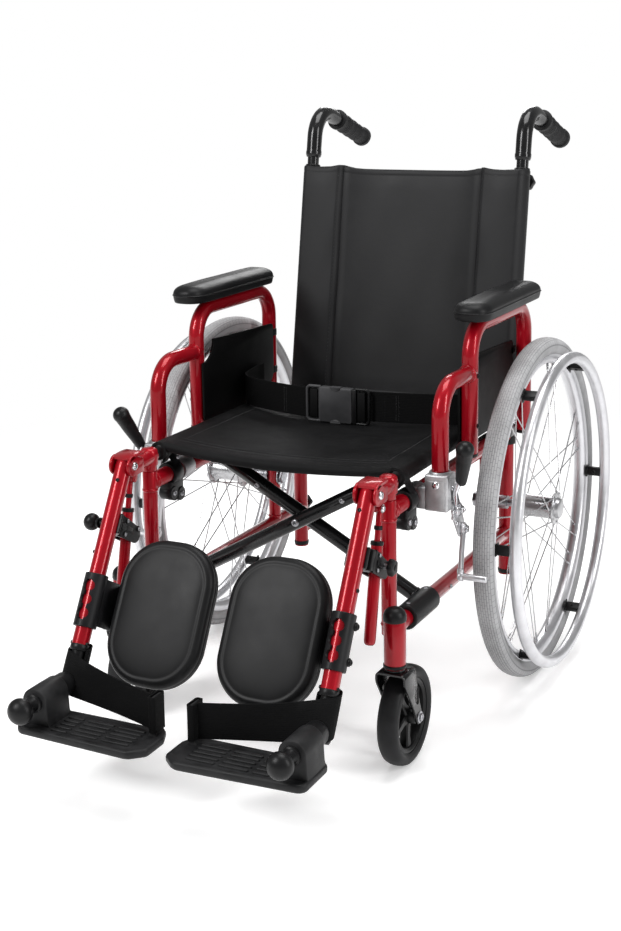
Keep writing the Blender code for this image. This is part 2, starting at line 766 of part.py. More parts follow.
def caster_fork():
    x, y = CASTER_STEM_X, CASTER_STEM_Y
    axle = caster_axle()
    crown_low = 2 * CASTER_RADIUS + FORK_TYRE_GAP
    crown_top = crown_low + FORK_PLATE
    inner = CASTER_WIDTH / 2 + FORK_TYRE_GAP
    outer = inner + FORK_PLATE
    crown = box((x - outer, y - 0.019, crown_low), (x + outer, axle.y + 0.012, crown_top), 0.001)
    pieces = [
        rod((x, y, crown_top - 0.001), (x, y, CASTER_HOUSING_BOTTOM - RUN_GAP), CASTER_HOUSING_RADIUS - 0.001, 16),
        rod((x, y, crown_top), (x, y, CASTER_HOUSING_TOP - 0.010), CASTER_STEM_RADIUS),
    ]
    leg = [(y - 0.019, crown_top - 0.0005), (axle.y - 0.009, axle.z - 0.004)]
    leg += arc((axle.y, axle.z), 0.0100, 205, 335, 5)
    leg += [(axle.y + 0.012, crown_top - 0.0005)]
    for side in (-1, 1):
        level = x + inner if side > 0 else x - outer
        pieces.append(flat(leg, FORK_PLATE, "YZ", level))
        pieces.append(rod((x + side * (outer - 0.001), axle.y, axle.z), (x + side * (outer + 0.005), axle.y, axle.z), 0.0070, 6))
    pieces.append(rod((x - outer, axle.y, axle.z), (x + outer, axle.y, axle.z), 0.0040))
    body = fuse(crown, *pieces)
    finish(body, "left_caster_fork", "black_paint", (x, y, CASTER_HOUSING_BOTTOM), "left_caster_swivel")


def caster_tyre():
    half = CASTER_WIDTH / 2
    outer = CASTER_RADIUS
    profile = [
        (outer, 0.004),
        (outer - 0.004, half - 0.003),
        (outer - 0.012, half),
        (outer - 0.019, half - 0.003),
        (outer - 0.019, -half + 0.003),
        (outer - 0.012, -half),
        (outer - 0.004, -half + 0.003),
        (outer, -0.004),
    ]
    body = ring(profile, caster_axle(), CASTER_SEGMENTS)
    finish(body, "left_caster_tyre", "black_rubber", caster_axle(), "left_caster_wheel")


def caster_hub():
    axle = caster_axle()
    half = CASTER_WIDTH / 2 - 0.004
    outer = CASTER_RADIUS - 0.019 - SEAT_GAP
    inner = outer - 0.007
    body = ring([(outer, half), (inner, half), (inner, -half), (outer, -half)], axle, CASTER_SEGMENTS)
    boss_half = CASTER_WIDTH / 2 + FORK_TYRE_GAP - 0.001
    pieces = [rod(axle - Vector((boss_half, 0, 0)), axle + Vector((boss_half, 0, 0)), 0.0110)]
    for index in range(CASTER_SPOKES):
        web = box((axle.x - 0.004, -0.006, 0.008), (axle.x + 0.004, 0.006, inner + 0.003))
        turn = Matrix.Rotation(2 * math.pi * index / CASTER_SPOKES, 4, "X")
        web.data.transform(Matrix.Translation((0, axle.y, axle.z)) @ turn)
        pieces.append(web)
    body = fuse(body, *pieces)
    reach = Vector((boss_half + 0.002, 0, 0))
    body = cut(body, rod(axle - reach, axle + reach, bore(0.0040)))
    finish(body, "left_caster_hub", "black_plastic", axle, "left_caster_wheel")


def hanger():
    x = FRAME_X
    ear_inner = TUBE_RADIUS + 0.0006
    ear_outer = ear_inner + 0.0042
    tube_end = CLEVIS_Y + 0.027
    body = tube([(x, FRONT_POST_Y, HANGER_TUBE_Z), (x, tube_end, HANGER_TUBE_Z)], TUBE_RADIUS)
    pin_bottom = FRONT_POST_TOP - HANGER_PIN_LENGTH
    pieces = [
        rod((x, FRONT_POST_Y, HANGER_TUBE_Z - 0.0135), (x, FRONT_POST_Y, HANGER_TUBE_Z + 0.0135), TUBE_RADIUS + 0.0008, 16),
        rod((x, FRONT_POST_Y, FRONT_POST_TOP + RUN_GAP), (x, FRONT_POST_Y, HANGER_TUBE_Z), 0.0110, 12),
        rod((x, FRONT_POST_Y, pin_bottom), (x, FRONT_POST_Y, HANGER_TUBE_Z), HANGER_PIN_RADIUS),
        box(
            (x - ear_outer, tube_end - 0.008, HANGER_TUBE_Z - 0.0115),
            (x + ear_outer, tube_end + 0.002, HANGER_TUBE_Z + 0.0125),
            0.001,
        ),
    ]
    ear = arc((CLEVIS_Y, CLEVIS_Z), 0.0140, 90, 270, 8)
    ear += [(tube_end, HANGER_TUBE_Z - 0.0110), (tube_end, HANGER_TUBE_Z + 0.0120)]
    for side in (-1, 1):
        level = x + ear_inner if side > 0 else x - ear_outer
        pieces.append(flat(ear, ear_outer - ear_inner, "YZ", level))
        head = x + side * (ear_outer - 0.001)
        pieces.append(rod((head, CLEVIS_Y, CLEVIS_Z), (head + side * 0.0045, CLEVIS_Y, CLEVIS_Z), 0.0060, 10))
    pieces.append(rod((x - ear_outer, CLEVIS_Y, CLEVIS_Z), (x + ear_outer, CLEVIS_Y, CLEVIS_Z), 0.0040))
    lug_top = HANGER_TUBE_Z - TUBE_RADIUS + 0.004
    lug = flat(
        [(STRUT_PIVOT_Y + 0.0075, lug_top), (STRUT_PIVOT_Y - 0.0005, lug_top)]
        + arc((STRUT_PIVOT_Y, STRUT_PIVOT_Z), 0.0065, 180, 360, 6),
        0.0045,
        "YZ",
        STRUT_X - 0.0040 - RUN_GAP - 0.0045,
    )
    pieces.append(lug)
    pivot = (STRUT_PIVOT_Y, STRUT_PIVOT_Z)
    pieces.append(rod((STRUT_X - 0.008, *pivot), (STRUT_X + 0.0062, *pivot), 0.0028, 10))
    pieces.append(rod((STRUT_X + 0.0046, *pivot), (STRUT_X + 0.0072, *pivot), 0.0050, 10))
    body = fuse(body, *pieces)
    finish(body, "left_hanger", "red_paint", (x, FRONT_POST_Y, FRONT_POST_TOP), "left_legrest_swing")


def leg_tube():
    body = rod(leg_point(0.0), leg_point(LEG_TUBE_END), TUBE_RADIUS, 16)
    knuckle = rod((FRAME_X - TUBE_RADIUS, CLEVIS_Y, CLEVIS_Z), (FRAME_X + TUBE_RADIUS, CLEVIS_Y, CLEVIS_Z), 0.0127, 16)
    body = fuse(body, knuckle)
    hole = rod((FRAME_X - 0.03, CLEVIS_Y, CLEVIS_Z), (FRAME_X + 0.03, CLEVIS_Y, CLEVIS_Z), bore(0.0040))
    socket = rod(leg_point(EXTENSION_END - EXTENSION_INSERT - 0.070), leg_point(LEG_TUBE_END + 0.002), bore(EXTENSION_RADIUS), 12)
    body = cut(body, hole, socket)
    finish(body, "left_leg_tube", "red_paint", (FRAME_X, CLEVIS_Y, CLEVIS_Z), "left_leg")


def strut_lock():
    """Lock block on the back of the leg tube. Its two cheeks stand either side of the sliding strut."""
    centre = STRUT_X - FRAME_X
    half_gap = STRUT_RADIUS + 0.0012
    cheek = 0.0040
    tall = 0.016
    web_back = 0.034
    web_half = half_gap + cheek - 0.0008
    web = box((centre - web_half, 0.004, -tall + 0.0009), (centre + web_half, web_back, tall - 0.0007), 0.0015)
    pieces = []
    for side in (-1, 1):
        level = centre + half_gap if side > 0 else centre - half_gap - cheek
        outline = [(0.020, -tall), (0.074, -tall + 0.004), (0.080, 0.0), (0.076, tall - 0.002), (0.020, tall)]
        pieces.append(flat(outline, cheek, "YZ", level))
    outer = centre + half_gap + cheek
    pieces.append(rod((outer - 0.001, 0.056, 0), (outer + 0.010, 0.056, 0), 0.0050, 10))
    knob = star_outline((0.056, 0.0), 0.0125, 0.0095, 5)
    pieces.append(flat(knob, 0.008, "YZ", outer + 0.0095))
    body = fuse(web, *pieces)
    body.data.transform(leg_matrix(LOCK_BLOCK_DISTANCE))
    top, bottom = leg_point(LOCK_BLOCK_DISTANCE - 0.04), leg_point(LOCK_BLOCK_DISTANCE + 0.04)
    body = cut(body, rod(top, bottom, (TUBE_RADIUS + SEAT_GAP) / math.cos(math.pi / 24), 24))
    finish(body, "left_strut_lock", "black_plastic", (FRAME_X, CLEVIS_Y, CLEVIS_Z), "left_leg")


def star_outline(centre, outer, inner, lobes):
    """Outline of a lobed hand knob."""
    points = []
    count = lobes * 4
    for index in range(count):
        angle = 2 * math.pi * index / count
        swell = 0.5 + 0.5 * math.cos(lobes * angle)
        radius = inner + (outer - inner) * swell
        points.append((centre[0] + radius * math.cos(angle), centre[1] + radius * math.sin(angle)))
    return points


def strut_point(distance):
    lean = math.radians(STRUT_LEAN)
    return Vector((STRUT_X, STRUT_PIVOT_Y - distance * math.sin(lean), STRUT_PIVOT_Z - distance * math.cos(lean)))


def strut():
    eye = rod((STRUT_X - 0.0040, STRUT_PIVOT_Y, STRUT_PIVOT_Z), (STRUT_X + 0.0040, STRUT_PIVOT_Y, STRUT_PIVOT_Z), 0.0065, 12)
    body = fuse(
        eye,
        rod(strut_point(0.003), strut_point(0.060), STRUT_ROD_RADIUS, 10),
        rod(strut_point(0.046), strut_point(STRUT_LENGTH), STRUT_RADIUS, 12),
        ball(strut_point(STRUT_LENGTH), STRUT_RADIUS * 0.99, 12, 6),
    )
    hole = rod((STRUT_X - 0.02, STRUT_PIVOT_Y, STRUT_PIVOT_Z), (STRUT_X + 0.02, STRUT_PIVOT_Y, STRUT_PIVOT_Z), bore(0.0028, 10), 10)
    body = cut(body, hole)
    finish(body, "left_strut", "red_paint", (STRUT_X, STRUT_PIVOT_Y, STRUT_PIVOT_Z), "left_strut")


def calf_pad_offset():
    """Distance from the leg tube's axis back to the front face of the tray."""
    return 0.006 + CALF_PAD_DEPTH


def calf_bracket():
    """Sleeve that slides on the leg tube and the flat plate that carries the calf pad's tray."""
    half = CALF_SLEEVE_LENGTH / 2
    body = rod((0, 0, -half), (0, 0, half), CALF_SLEEVE_RADIUS, 20)
    reach = CALF_PAD_X - FRAME_X
    back = calf_pad_offset() + CALF_TRAY_DEPTH + SEAT_GAP
    plate = flat(
        [(reach - 0.030, -0.016), (reach - 0.030, 0.016), (-0.022, 0.030), (-0.002, 0.030), (-0.002, -0.030), (-0.022, -0.030)],
        0.0040,
        "XZ",
        back,
    )
    web = box((-0.0165, 0.0, -0.030), (-0.0025, back + 0.004, 0.030), 0.001)
    body = fuse(body, plate, web)
    hole = rod((0, 0, -half - 0.002), (0, 0, half + 0.002), (TUBE_RADIUS + 0.0005) / math.cos(math.pi / 24), 24)
    slots = []
    for index in range(3):
        z = (index - 1) * 0.020
        slots.append(rod((-0.002, -0.030, z + 0.004), (-0.002, -0.008, z + 0.004), 0.0052, 8))
    slots.append(box((-0.0062, -0.030, -0.026), (0.0010, -0.008, 0.026)))
    body = cut(body, hole, *slots)
    body.data.transform(leg_matrix(CALF_SLEEVE_DISTANCE))
    finish(body, "left_calf_bracket", "black_paint", leg_point(CALF_SLEEVE_DISTANCE), "left_calf")


def pad_outline(width, length, steps=9):
    """Upright oblong with broad, full corners."""
    points = []
    for index in range(4 * steps):
        angle = 2 * math.pi * (index + 0.5) / (4 * steps)
        across, along = math.cos(angle), math.sin(angle)
        across = math.copysign(abs(across) ** PAD_FULLNESS, across)
        along = math.copysign(abs(along) ** PAD_FULLNESS, along)
        points.append((across * width / 2, along * length / 2))
    return points


def calf_pad():
    """Oblong pad with a crowned face, a raised border roll and a backing tray."""
    bm = bmesh.new()
    layers = [
        (calf_pad_offset() + CALF_TRAY_DEPTH, 0.88),
        (calf_pad_offset(), 1.00),
        (calf_pad_offset() - 0.0015, 0.97),
        (calf_pad_offset() - 0.010, 1.00),
        (calf_pad_offset() - 0.020, 0.965),
        (calf_pad_offset() - 0.0245, 0.90),
        (calf_pad_offset() - 0.0215, 0.84),
        (calf_pad_offset() - CALF_PAD_DEPTH, 0.66),
    ]
    loops = []
    for depth, share in layers:
        inset = (1.0 - share) * CALF_PAD_WIDTH / 2
        outline = pad_outline(CALF_PAD_WIDTH - 2 * inset, CALF_PAD_LENGTH - 2 * inset)
        loops.append([bm.verts.new((px, depth, pz)) for px, pz in outline])
    for first, second in zip(loops, loops[1:]):
        count = len(first)
        for index in range(count):
            nxt = (index + 1) % count
            bm.faces.new((first[index], first[nxt], second[nxt], second[index]))
    bm.faces.new(loops[0])
    bm.faces.new(reversed(loops[-1]))
    bmesh.ops.recalc_face_normals(bm, faces=bm.faces)
    pad = mesh_object("pad", bm)
    pad.data.transform(leg_matrix(CALF_SLEEVE_DISTANCE, CALF_PAD_X))
    finish(pad, "left_calf_pad", "black_vinyl", leg_point(CALF_SLEEVE_DISTANCE), "left_calf")


def foot_extension():
    """Inner tube of the leg with the spindle of the footplate and its round knob."""
    end = leg_point(EXTENSION_END)
    body = rod(leg_point(EXTENSION_END - EXTENSION_INSERT - 0.066), end, EXTENSION_RADIUS, 12)
    x, z = FOOT_AXIS_X, FOOT_AXIS_Z
    pieces = [
        rod((x, BARREL_BACK + RUN_GAP, z), (x, end.y - 0.003, z), 0.0175, 14),
        rod((x, BARREL_FRONT - 0.014, z), (x, end.y, z), SPINDLE_RADIUS),
        rod((x, BARREL_FRONT - 0.020, z), (x, BARREL_FRONT - RUN_GAP, z), 0.0120, 12),
        ball((x, BARREL_FRONT - 0.032, z), 0.0190, 14, 10, (1, 0.86, 1)),
    ]
    body = fuse(body, *pieces)
    finish(body, "left_foot_extension", "black_plastic", (x, FOOT_AXIS_Y, z), "left_foot")


def footplate():
    x, z = FOOT_AXIS_X, FOOT_AXIS_Z
    low = PLATE_TOP - PLATE_THICKNESS
    outline = [
        (PLATE_INNER_X + 0.030, PLATE_FRONT_Y),
        (PLATE_OUTER_X - 0.020, PLATE_FRONT_Y + 0.006),
        (PLATE_OUTER_X, PLATE_FRONT_Y + 0.020),
        (PLATE_OUTER_X, PLATE_BACK_Y - 0.010),
        (PLATE_OUTER_X - 0.010, PLATE_BACK_Y),
        (PLATE_INNER_X + 0.012, PLATE_BACK_Y),
        (PLATE_INNER_X, PLATE_BACK_Y - 0.024),
        (PLATE_INNER_X, PLATE_FRONT_Y + 0.026),
    ]
    plate = flat(outline, PLATE_THICKNESS, "XY", low)
    pieces = []
    span = PLATE_BACK_Y - PLATE_FRONT_Y - 0.044
    for index in range(PLATE_RIBS):
        y = PLATE_FRONT_Y + 0.018 + span * index / (PLATE_RIBS - 1)
        pieces.append(box((PLATE_INNER_X + 0.026, y - 0.0022, PLATE_TOP - 0.001), (x - 0.030, y + 0.0022, PLATE_TOP + RIB_HEIGHT)))
    depth = BARREL_BACK - BARREL_FRONT
    section = [(x - BARREL_RADIUS - 0.003, PLATE_TOP - 0.002)]
    section += arc((x, z), BARREL_RADIUS, 180, 0, 10)
    section += [(x + BARREL_RADIUS + 0.003, PLATE_TOP - 0.002)]
    pieces.append(flat([(px, pz) for px, pz in section], depth, "XZ", BARREL_FRONT))
    post = box(
        (PLATE_INNER_X + POST_INSET, PLATE_BACK_Y - 0.024, PLATE_TOP - 0.002),
        (PLATE_INNER_X + POST_INSET + 0.004, PLATE_BACK_Y - 0.002, PLATE_TOP + 0.054),
        0.001,
    )
    pieces.append(post)
    body = fuse(plate, *pieces)
    body = cut(body, rod((x, BARREL_FRONT - 0.01, z), (x, BARREL_BACK + 0.01, z), bore(SPINDLE_RADIUS)))
    finish(body, "left_footplate", "black_plastic", (x, FOOT_AXIS_Y, z), "left_footplate")


def heel_strap():
    """Webbing looped round the foot tube and led behind the plate to the post at its inner edge."""
    middle = EXTENSION_END - 0.041
    reach = 0.0135
    loop = rod(leg_point(middle - reach), leg_point(middle + reach), EXTENSION_RADIUS + 0.0034, 14)
    centre = leg_point(middle)
    start = Vector((PLATE_INNER_X + POST_INSET + 0.0043, PLATE_BACK_Y - 0.014, PLATE_TOP + 0.0295))
    outline = [
        (start.x, start.y),
        (start.x + 0.042, start.y + 0.016),
        (FOOT_AXIS_X - 0.050, centre.y - 0.014),
        (FOOT_AXIS_X - 0.012, centre.y - 0.001),
    ]
    back = [(px, py + 0.0026) for px, py in reversed(outline)]
    height = STRAP_HEIGHT
    band = flat(outline + back, height, "XY", start.z - height / 2)
    rise = centre.z - 0.009 - start.z
    for vertex in band.data.vertices:
        share = (vertex.co.x - start.x) / (FOOT_AXIS_X - start.x)
        vertex.co.z += rise * share**2
        vertex.co.y += (vertex.co.z - centre.z) * share**4 * math.tan(math.radians(LEG_LEAN))
    strap = fuse(loop, band)
    strap = cut(strap, rod(leg_point(middle - 0.05), leg_point(middle + 0.05), (EXTENSION_RADIUS + SEAT_GAP) / math.cos(math.pi / 14), 14))
    finish(strap, "left_heel_strap", "black_webbing", (FOOT_AXIS_X, FOOT_AXIS_Y, FOOT_AXIS_Z), "left_foot")


def armrest_frame():
    x = ARM_X
    loop = rounded(
        [
            (x, ARM_SECOND_POST_Y, ARM_SECOND_POST_BOTTOM),
            (x, ARM_SECOND_POST_Y, ARM_TOP_Z),
            (x, ARM_REAR_POST_Y, ARM_TOP_Z),
            (x, ARM_REAR_POST_Y, ARM_PIVOT_Z - 0.010),
        ],
        ARM_BEND,
        5,
    )
    front = rounded(
        [
            (x, ARM_SECOND_POST_Y, ARM_TEE_Z),
            (x, ARM_FRONT_POST_Y, ARM_TEE_Z),
            (x, ARM_FRONT_POST_Y, SOCKET_TOP - SOCKET_DEPTH + 0.003),
        ],
        ARM_BEND,
        5,
    )
    body = fuse(tube(loop, TUBE_RADIUS), tube(front, TUBE_RADIUS))
    y, z = ARM_REAR_POST_Y, ARM_PIVOT_Z
    body = cut(body, rod((x - 0.03, y, z), (x + 0.03, y, z), bore(0.0050)))
    finish(body, "left_armrest_frame", "red_paint", (x, y, z), "left_armrest")


def armrest_pad():
    """Padded vinyl top, crowned, with a rounded front and a flat seat on the tube."""
    half = PAD_WIDTH / 2
    low = ARM_TOP_Z + TUBE_RADIUS + SEAT_GAP
    layers = [(0.0, 0.0015), (0.0125, 0.0), (0.0165, 0.0008), (0.0215, 0.0045), (PAD_HEIGHT, 0.0125)]
    bm = bmesh.new()
    loops = []
    for rise, inset in layers:
        w = half - inset
        front = PAD_FRONT_Y + inset
        back = PAD_BACK_Y - inset
        outline = arc((0, front + half * 0.9), half, 180, 360, 8)
        outline = [(px * w / half, front + (py - front) * 1.0) for px, py in outline]
        outline += [(w, back - 0.010), (w - 0.010, back), (-w + 0.010, back), (-w, back - 0.010)]
        loops.append([bm.verts.new((ARM_X + PAD_OFFSET + px, py, low + rise)) for px, py in outline])
    for first, second in zip(loops, loops[1:]):
        count = len(first)
        for index in range(count):
            nxt = (index + 1) % count
            bm.faces.new((first[index], first[nxt], second[nxt], second[index]))
    bm.faces.new(reversed(loops[0]))
    bm.faces.new(loops[-1])
    bmesh.ops.recalc_face_normals(bm, faces=bm.faces)
    pad = mesh_object("pad", bm)
    finish(pad, "left_armrest_pad", "black_vinyl", (ARM_X, ARM_REAR_POST_Y, ARM_PIVOT_Z), "left_armrest")


def side_panel():
    """Guard panel on the inner faces of the armrest's posts, with a notched upper front corner."""
    front = ARM_SECOND_POST_Y - 0.008
    back = ARM_REAR_POST_Y + 0.012
    notch = 0.036
    outline = [(front, PANEL_BOTTOM), (back - 0.030, PANEL_BOTTOM), (back, PANEL_BOTTOM + 0.040), (back, PANEL_TOP - PANEL_TOP_FALL)]
    outline += arc((front, PANEL_TOP), notch, 0, -90, 6)
    body = flat(outline, PANEL_THICKNESS, "YZ", ARM_X - TUBE_RADIUS - SEAT_GAP - PANEL_THICKNESS)
    finish(body, "left_side_panel", "black_plastic", (ARM_X, ARM_REAR_POST_Y, ARM_PIVOT_Z), "left_armrest")


def cross_brace(name, foot_side, plane, body):
    """One bar of the scissor brace. Its foot turns on a lower rail and its head carries a seat rail."""
    foot = Vector((foot_side * FRAME_X, plane, LOWER_RAIL_Z))
    head = Vector((-foot_side * FRAME_X, plane, SEAT_RAIL_Z))
    sleeve = rod((foot.x, BRACE_SLEEVE_FRONT, foot.z), (foot.x, BRACE_SLEEVE_BACK, foot.z), BRACE_SLEEVE_RADIUS, 16)
    rail = rod((head.x, SEAT_RAIL_FRONT, head.z), (head.x, SEAT_RAIL_BACK, head.z), SEAT_RAIL_RADIUS, 16)
    bar = rod(foot, head, BRACE_RADIUS, 12)
    body_mesh = fuse(bar, sleeve, rail)
    hole = rod(
        (foot.x, BRACE_SLEEVE_FRONT - 0.002, foot.z),
        (foot.x, BRACE_SLEEVE_BACK + 0.002, foot.z),
        bore(TUBE_RADIUS, 16),
        16,
    )
    body_mesh = cut(body_mesh, hole)
    centre = (foot + head) / 2
    if body == "brace_front":
        bolt = rod((centre.x, plane - 0.004, centre.z), (centre.x, plane + BRACE_PLANE_STEP + 0.016, centre.z), 0.0045, 10)
        body_mesh = fuse(body_mesh, bolt)
        origin = foot
    else:
        hole = rod((centre.x, plane - 0.03, centre.z), (centre.x, plane + 0.03, centre.z), bore(0.0045, 10), 10)
        body_mesh = cut(body_mesh, hole)
        origin = centre
    finish(body_mesh, name, "black_paint", origin, body)


def handle_path():
    lean = math.tan(math.radians(CANE_LEAN))
    start = cane_matrix(CANE_TOP_Z) @ Vector((0, 0, -HANDLE_INSERT))
    corner = (FRAME_X, REAR_POST_Y + (HANDLE_CORNER_Z - CANE_BEND_Z) * lean, HANDLE_CORNER_Z)
    end = (FRAME_X, HANDLE_END_Y, HANDLE_END_Z)
    return rounded([start, corner, end], HANDLE_BEND, 6)


def push_handle():
    body = tube(handle_path(), HANDLE_RADIUS)
    finish(body, "left_push_handle", "black_paint", cane_point(CANE_TOP_Z), "left_push_handle")


def handle_grip():
    path = handle_path()
    sleeve_start = cane_point(GRIP_SLEEVE_START_Z)
    body = tube([sleeve_start] + path[1:], GRIP_SLEEVE_RADIUS, 3)
    end = path[-1]
    along = (path[-1] - path[-2]).normalized()
    grip = rod(end - along * 0.075, end + along * 0.006, GRIP_SLEEVE_RADIUS + 0.0025, 14)
    collar = rod(end - along * 0.080, end - along * 0.074, GRIP_SLEEVE_RADIUS + 0.0050, 14)
    cap = rod(end + along * 0.0055, end + along * 0.011, GRIP_SLEEVE_RADIUS + 0.0045, 14)
    body = fuse(body, grip, collar, cap)
    core_path = [cane_point(GRIP_SLEEVE_START_Z - 0.004)] + path[1:-1] + [end + along * 0.0006]
    core = tube(core_path, HANDLE_RADIUS + SEAT_GAP)
    body = cut(body, core)
    finish(body, "left_handle_grip", "black_rubber", cane_point(CANE_TOP_Z), "left_push_handle")


def handle_knob_z():
    return CANE_TOP_Z - 0.014


def knob_point(distance):
    """A point behind the cane on the handle knob's axis, this far from the cane's centre line."""
    return cane_matrix(handle_knob_z()) @ Vector((0, distance, 0))


def handle_knob():
    start = TUBE_RADIUS + SEAT_GAP
    body = rod(knob_point(start), knob_point(start + 0.0110), 0.0035, 8)
    head = rod(knob_point(start + 0.0100), knob_point(start + 0.0240), KNOB_RADIUS, 16)
    crown = rod(knob_point(start + 0.0200), knob_point(start + 0.0300), KNOB_RADIUS * 0.92, 16, KNOB_RADIUS * 0.6)
    body = fuse(body, head, crown)
    finish(body, "left_handle_knob", "black_plastic", knob_point(start), "left_handle_knob")


def back_upholstery():
    """Back sling: two padded side panels that wrap the canes and a recessed middle panel."""
    wrap = TUBE_RADIUS + BACK_SKIN
    edge = FRAME_X + wrap
    front = -(TUBE_RADIUS + 0.0045)
    rear = -(TUBE_RADIUS - 0.004)

    def front_depth(x):
        x = abs(x)
        if x >= BACK_SEAM_X:
            share = (x - BACK_SEAM_X) / (edge - BACK_SEAM_X)
            return front - BACK_PAD_RISE * math.sin(math.pi * min(share * 0.88 + 0.12, 1.0)) ** 0.6
        share = x / BACK_SEAM_X
        return front + BACK_SAG * (1 - share**2)

    count = 14
    half = []
    for index in range(count + 1):
        x = edge * 0.985 * (1 - index / count)
        half.append((x, front_depth(x)))
    around = arc((FRAME_X, 0.0), wrap, -52, 128, 7)
    inner = [(FRAME_X - wrap * 1.25, 0.002), (BACK_SEAM_X, rear + 0.002), (BACK_SEAM_X / 2, rear + BACK_SAG * 0.75), (0.0, rear + BACK_SAG)]
    right_side = [(x, d) for x, d in reversed(half)]
    profile = right_side + around[1:] + inner[:-1] + [inner[-1]]
    mirrored = [(-x, d) for x, d in reversed(profile[1:-1])]
    outline = profile + mirrored
    bm = bmesh.new()
    rows = 5
    loops = []
    for row in range(rows + 1):
        share = row / rows
        z = BACK_BOTTOM_Z + (BACK_TOP_Z - BACK_BOTTOM_Z) * share
        base = cane_point(z)
        tilt = cane_matrix(z).to_3x3()
        loop = []
        for x, depth in outline:
            point = base + tilt @ Vector((0, depth, 0))
            point.x = x
            if row == rows:
                point.z += 0.0035 * math.cos(2 * math.pi * x / (2 * BACK_SEAM_X))
            loop.append(bm.verts.new(point))
        loops.append(loop)
    for first, second in zip(loops, loops[1:]):
        size = len(first)
        for index in range(size):
            nxt = (index + 1) % size
            bm.faces.new((first[index], first[nxt], second[nxt], second[index]))
    bm.faces.new(reversed(loops[0]))
    bm.faces.new(loops[-1])
    bmesh.ops.recalc_face_normals(bm, faces=bm.faces)
    bmesh.ops.triangulate(bm, faces=[face for face in bm.faces if len(face.verts) > 4])
    body = mesh_object("back", bm)
    tunnels = []
    for side in (-1, 1):
        low = cane_matrix(BACK_BOTTOM_Z) @ Vector((0, 0, -0.030))
        high = cane_matrix(BACK_TOP_Z) @ Vector((0, 0, 0.030))
        low.x = side * FRAME_X
        high.x = side * FRAME_X
        tunnels.append(rod(low, high, bore(TUBE_RADIUS, 16), 16))
        inner, outer = knob_point(0), knob_point(wrap + 0.01)
        inner.x = side * FRAME_X
        outer.x = side * FRAME_X
        tunnels.append(rod(inner, outer, 0.0042, 8))
    body = cut(body, *tunnels)
    finish(body, "back_upholstery", "black_vinyl", (0, REAR_POST_Y, BACK_BOTTOM_Z), "right_frame")


def seat_upholstery():
    """Seat sling over the two seat rails, padded and sagging a little between them."""
    inner = FRAME_X - SEAT_RAIL_RADIUS
    section = [
        (0.0, 0.0, True),
        (inner * 0.30, 0.0, True),
        (inner * 0.60, 0.0, True),
        (inner * 0.86, 0.0, True),
        (inner - 0.0005, 0.0, False),
        (FRAME_X, 0.0005, False),
        (FRAME_X + SEAT_RAIL_RADIUS, -0.0020, False),
        (FRAME_X + SEAT_RAIL_RADIUS + 0.0035, -0.0085, False),
    ]
    section = [(-x, drop, soft) for x, drop, soft in reversed(section[1:])] + section
    top = SEAT_RAIL_Z + SEAT_RAIL_RADIUS + 0.0040
    front, back = SEAT_RAIL_FRONT - 0.004, SEAT_RAIL_BACK - 0.008
    rows = 4
    bm = bmesh.new()
    tops, bottoms = [], []
    for row in range(rows + 1):
        y = front + (back - front) * row / rows
        line_top, line_bottom = [], []
        for x, drop, soft in section:
            sag = SEAT_SAG * (1 - min(abs(x) / inner, 1.0) ** 2)
            roll = 0.006 if soft and row in (0, rows) else 0.0
            depth = y + SEAT_TONGUE if soft and row == rows else y
            line_top.append(bm.verts.new((x, depth, top + drop - sag - roll)))
            under = top - SEAT_THICKNESS - sag * 0.85 if soft else SEAT_RAIL_Z - 0.0035
            line_bottom.append(bm.verts.new((x, depth, under)))
        tops.append(line_top)
        bottoms.append(line_bottom)
    columns = len(section) - 1
    for row in range(rows):
        for column in range(columns):
            a, b = tops[row][column], tops[row][column + 1]
            c, d = tops[row + 1][column + 1], tops[row + 1][column]
            bm.faces.new((a, b, c, d))
            a, b = bottoms[row][column], bottoms[row][column + 1]
            c, d = bottoms[row + 1][column + 1], bottoms[row + 1][column]
            bm.faces.new((d, c, b, a))
    for row in (0, rows):
        for column in range(columns):
            bm.faces.new((tops[row][column], tops[row][column + 1], bottoms[row][column + 1], bottoms[row][column]))
    for column in (0, columns):
        for row in range(rows):
            bm.faces.new((tops[row][column], tops[row + 1][column], bottoms[row + 1][column], bottoms[row][column]))
    bmesh.ops.recalc_face_normals(bm, faces=bm.faces)
    body = mesh_object("seat", bm)
    rails = []
    for side in (-1, 1):
        x = side * FRAME_X
        rails.append(rod((x, front - 0.02, SEAT_RAIL_Z), (x, back + 0.03, SEAT_RAIL_Z), bore(SEAT_RAIL_RADIUS, 16), 16))
        for plane in (BRACE_FRONT_PLANE, BRACE_FRONT_PLANE + BRACE_PLANE_STEP):
            head = Vector((x, plane, SEAT_RAIL_Z))
            foot = Vector((-x, plane, LOWER_RAIL_Z))
            rails.append(rod(head, head.lerp(foot, 0.35), BRACE_RADIUS + 0.002, 12))
        for y in (SADDLE_FRONT_Y, SADDLE_REAR_Y):
            rails.append(
                box(
                    (x - SEAT_RAIL_RADIUS - 0.0015, y - SADDLE_LENGTH / 2 - 0.001, SEAT_RAIL_Z - 0.03),
                    (x + SEAT_RAIL_RADIUS + 0.0015, y + SADDLE_LENGTH / 2 + 0.001, SEAT_RAIL_Z - 0.0024),
                )
            )
    body = cut(body, *rails)
    finish(body, "seat_upholstery", "black_vinyl", (0, 0, SEAT_RAIL_Z), "brace_front")


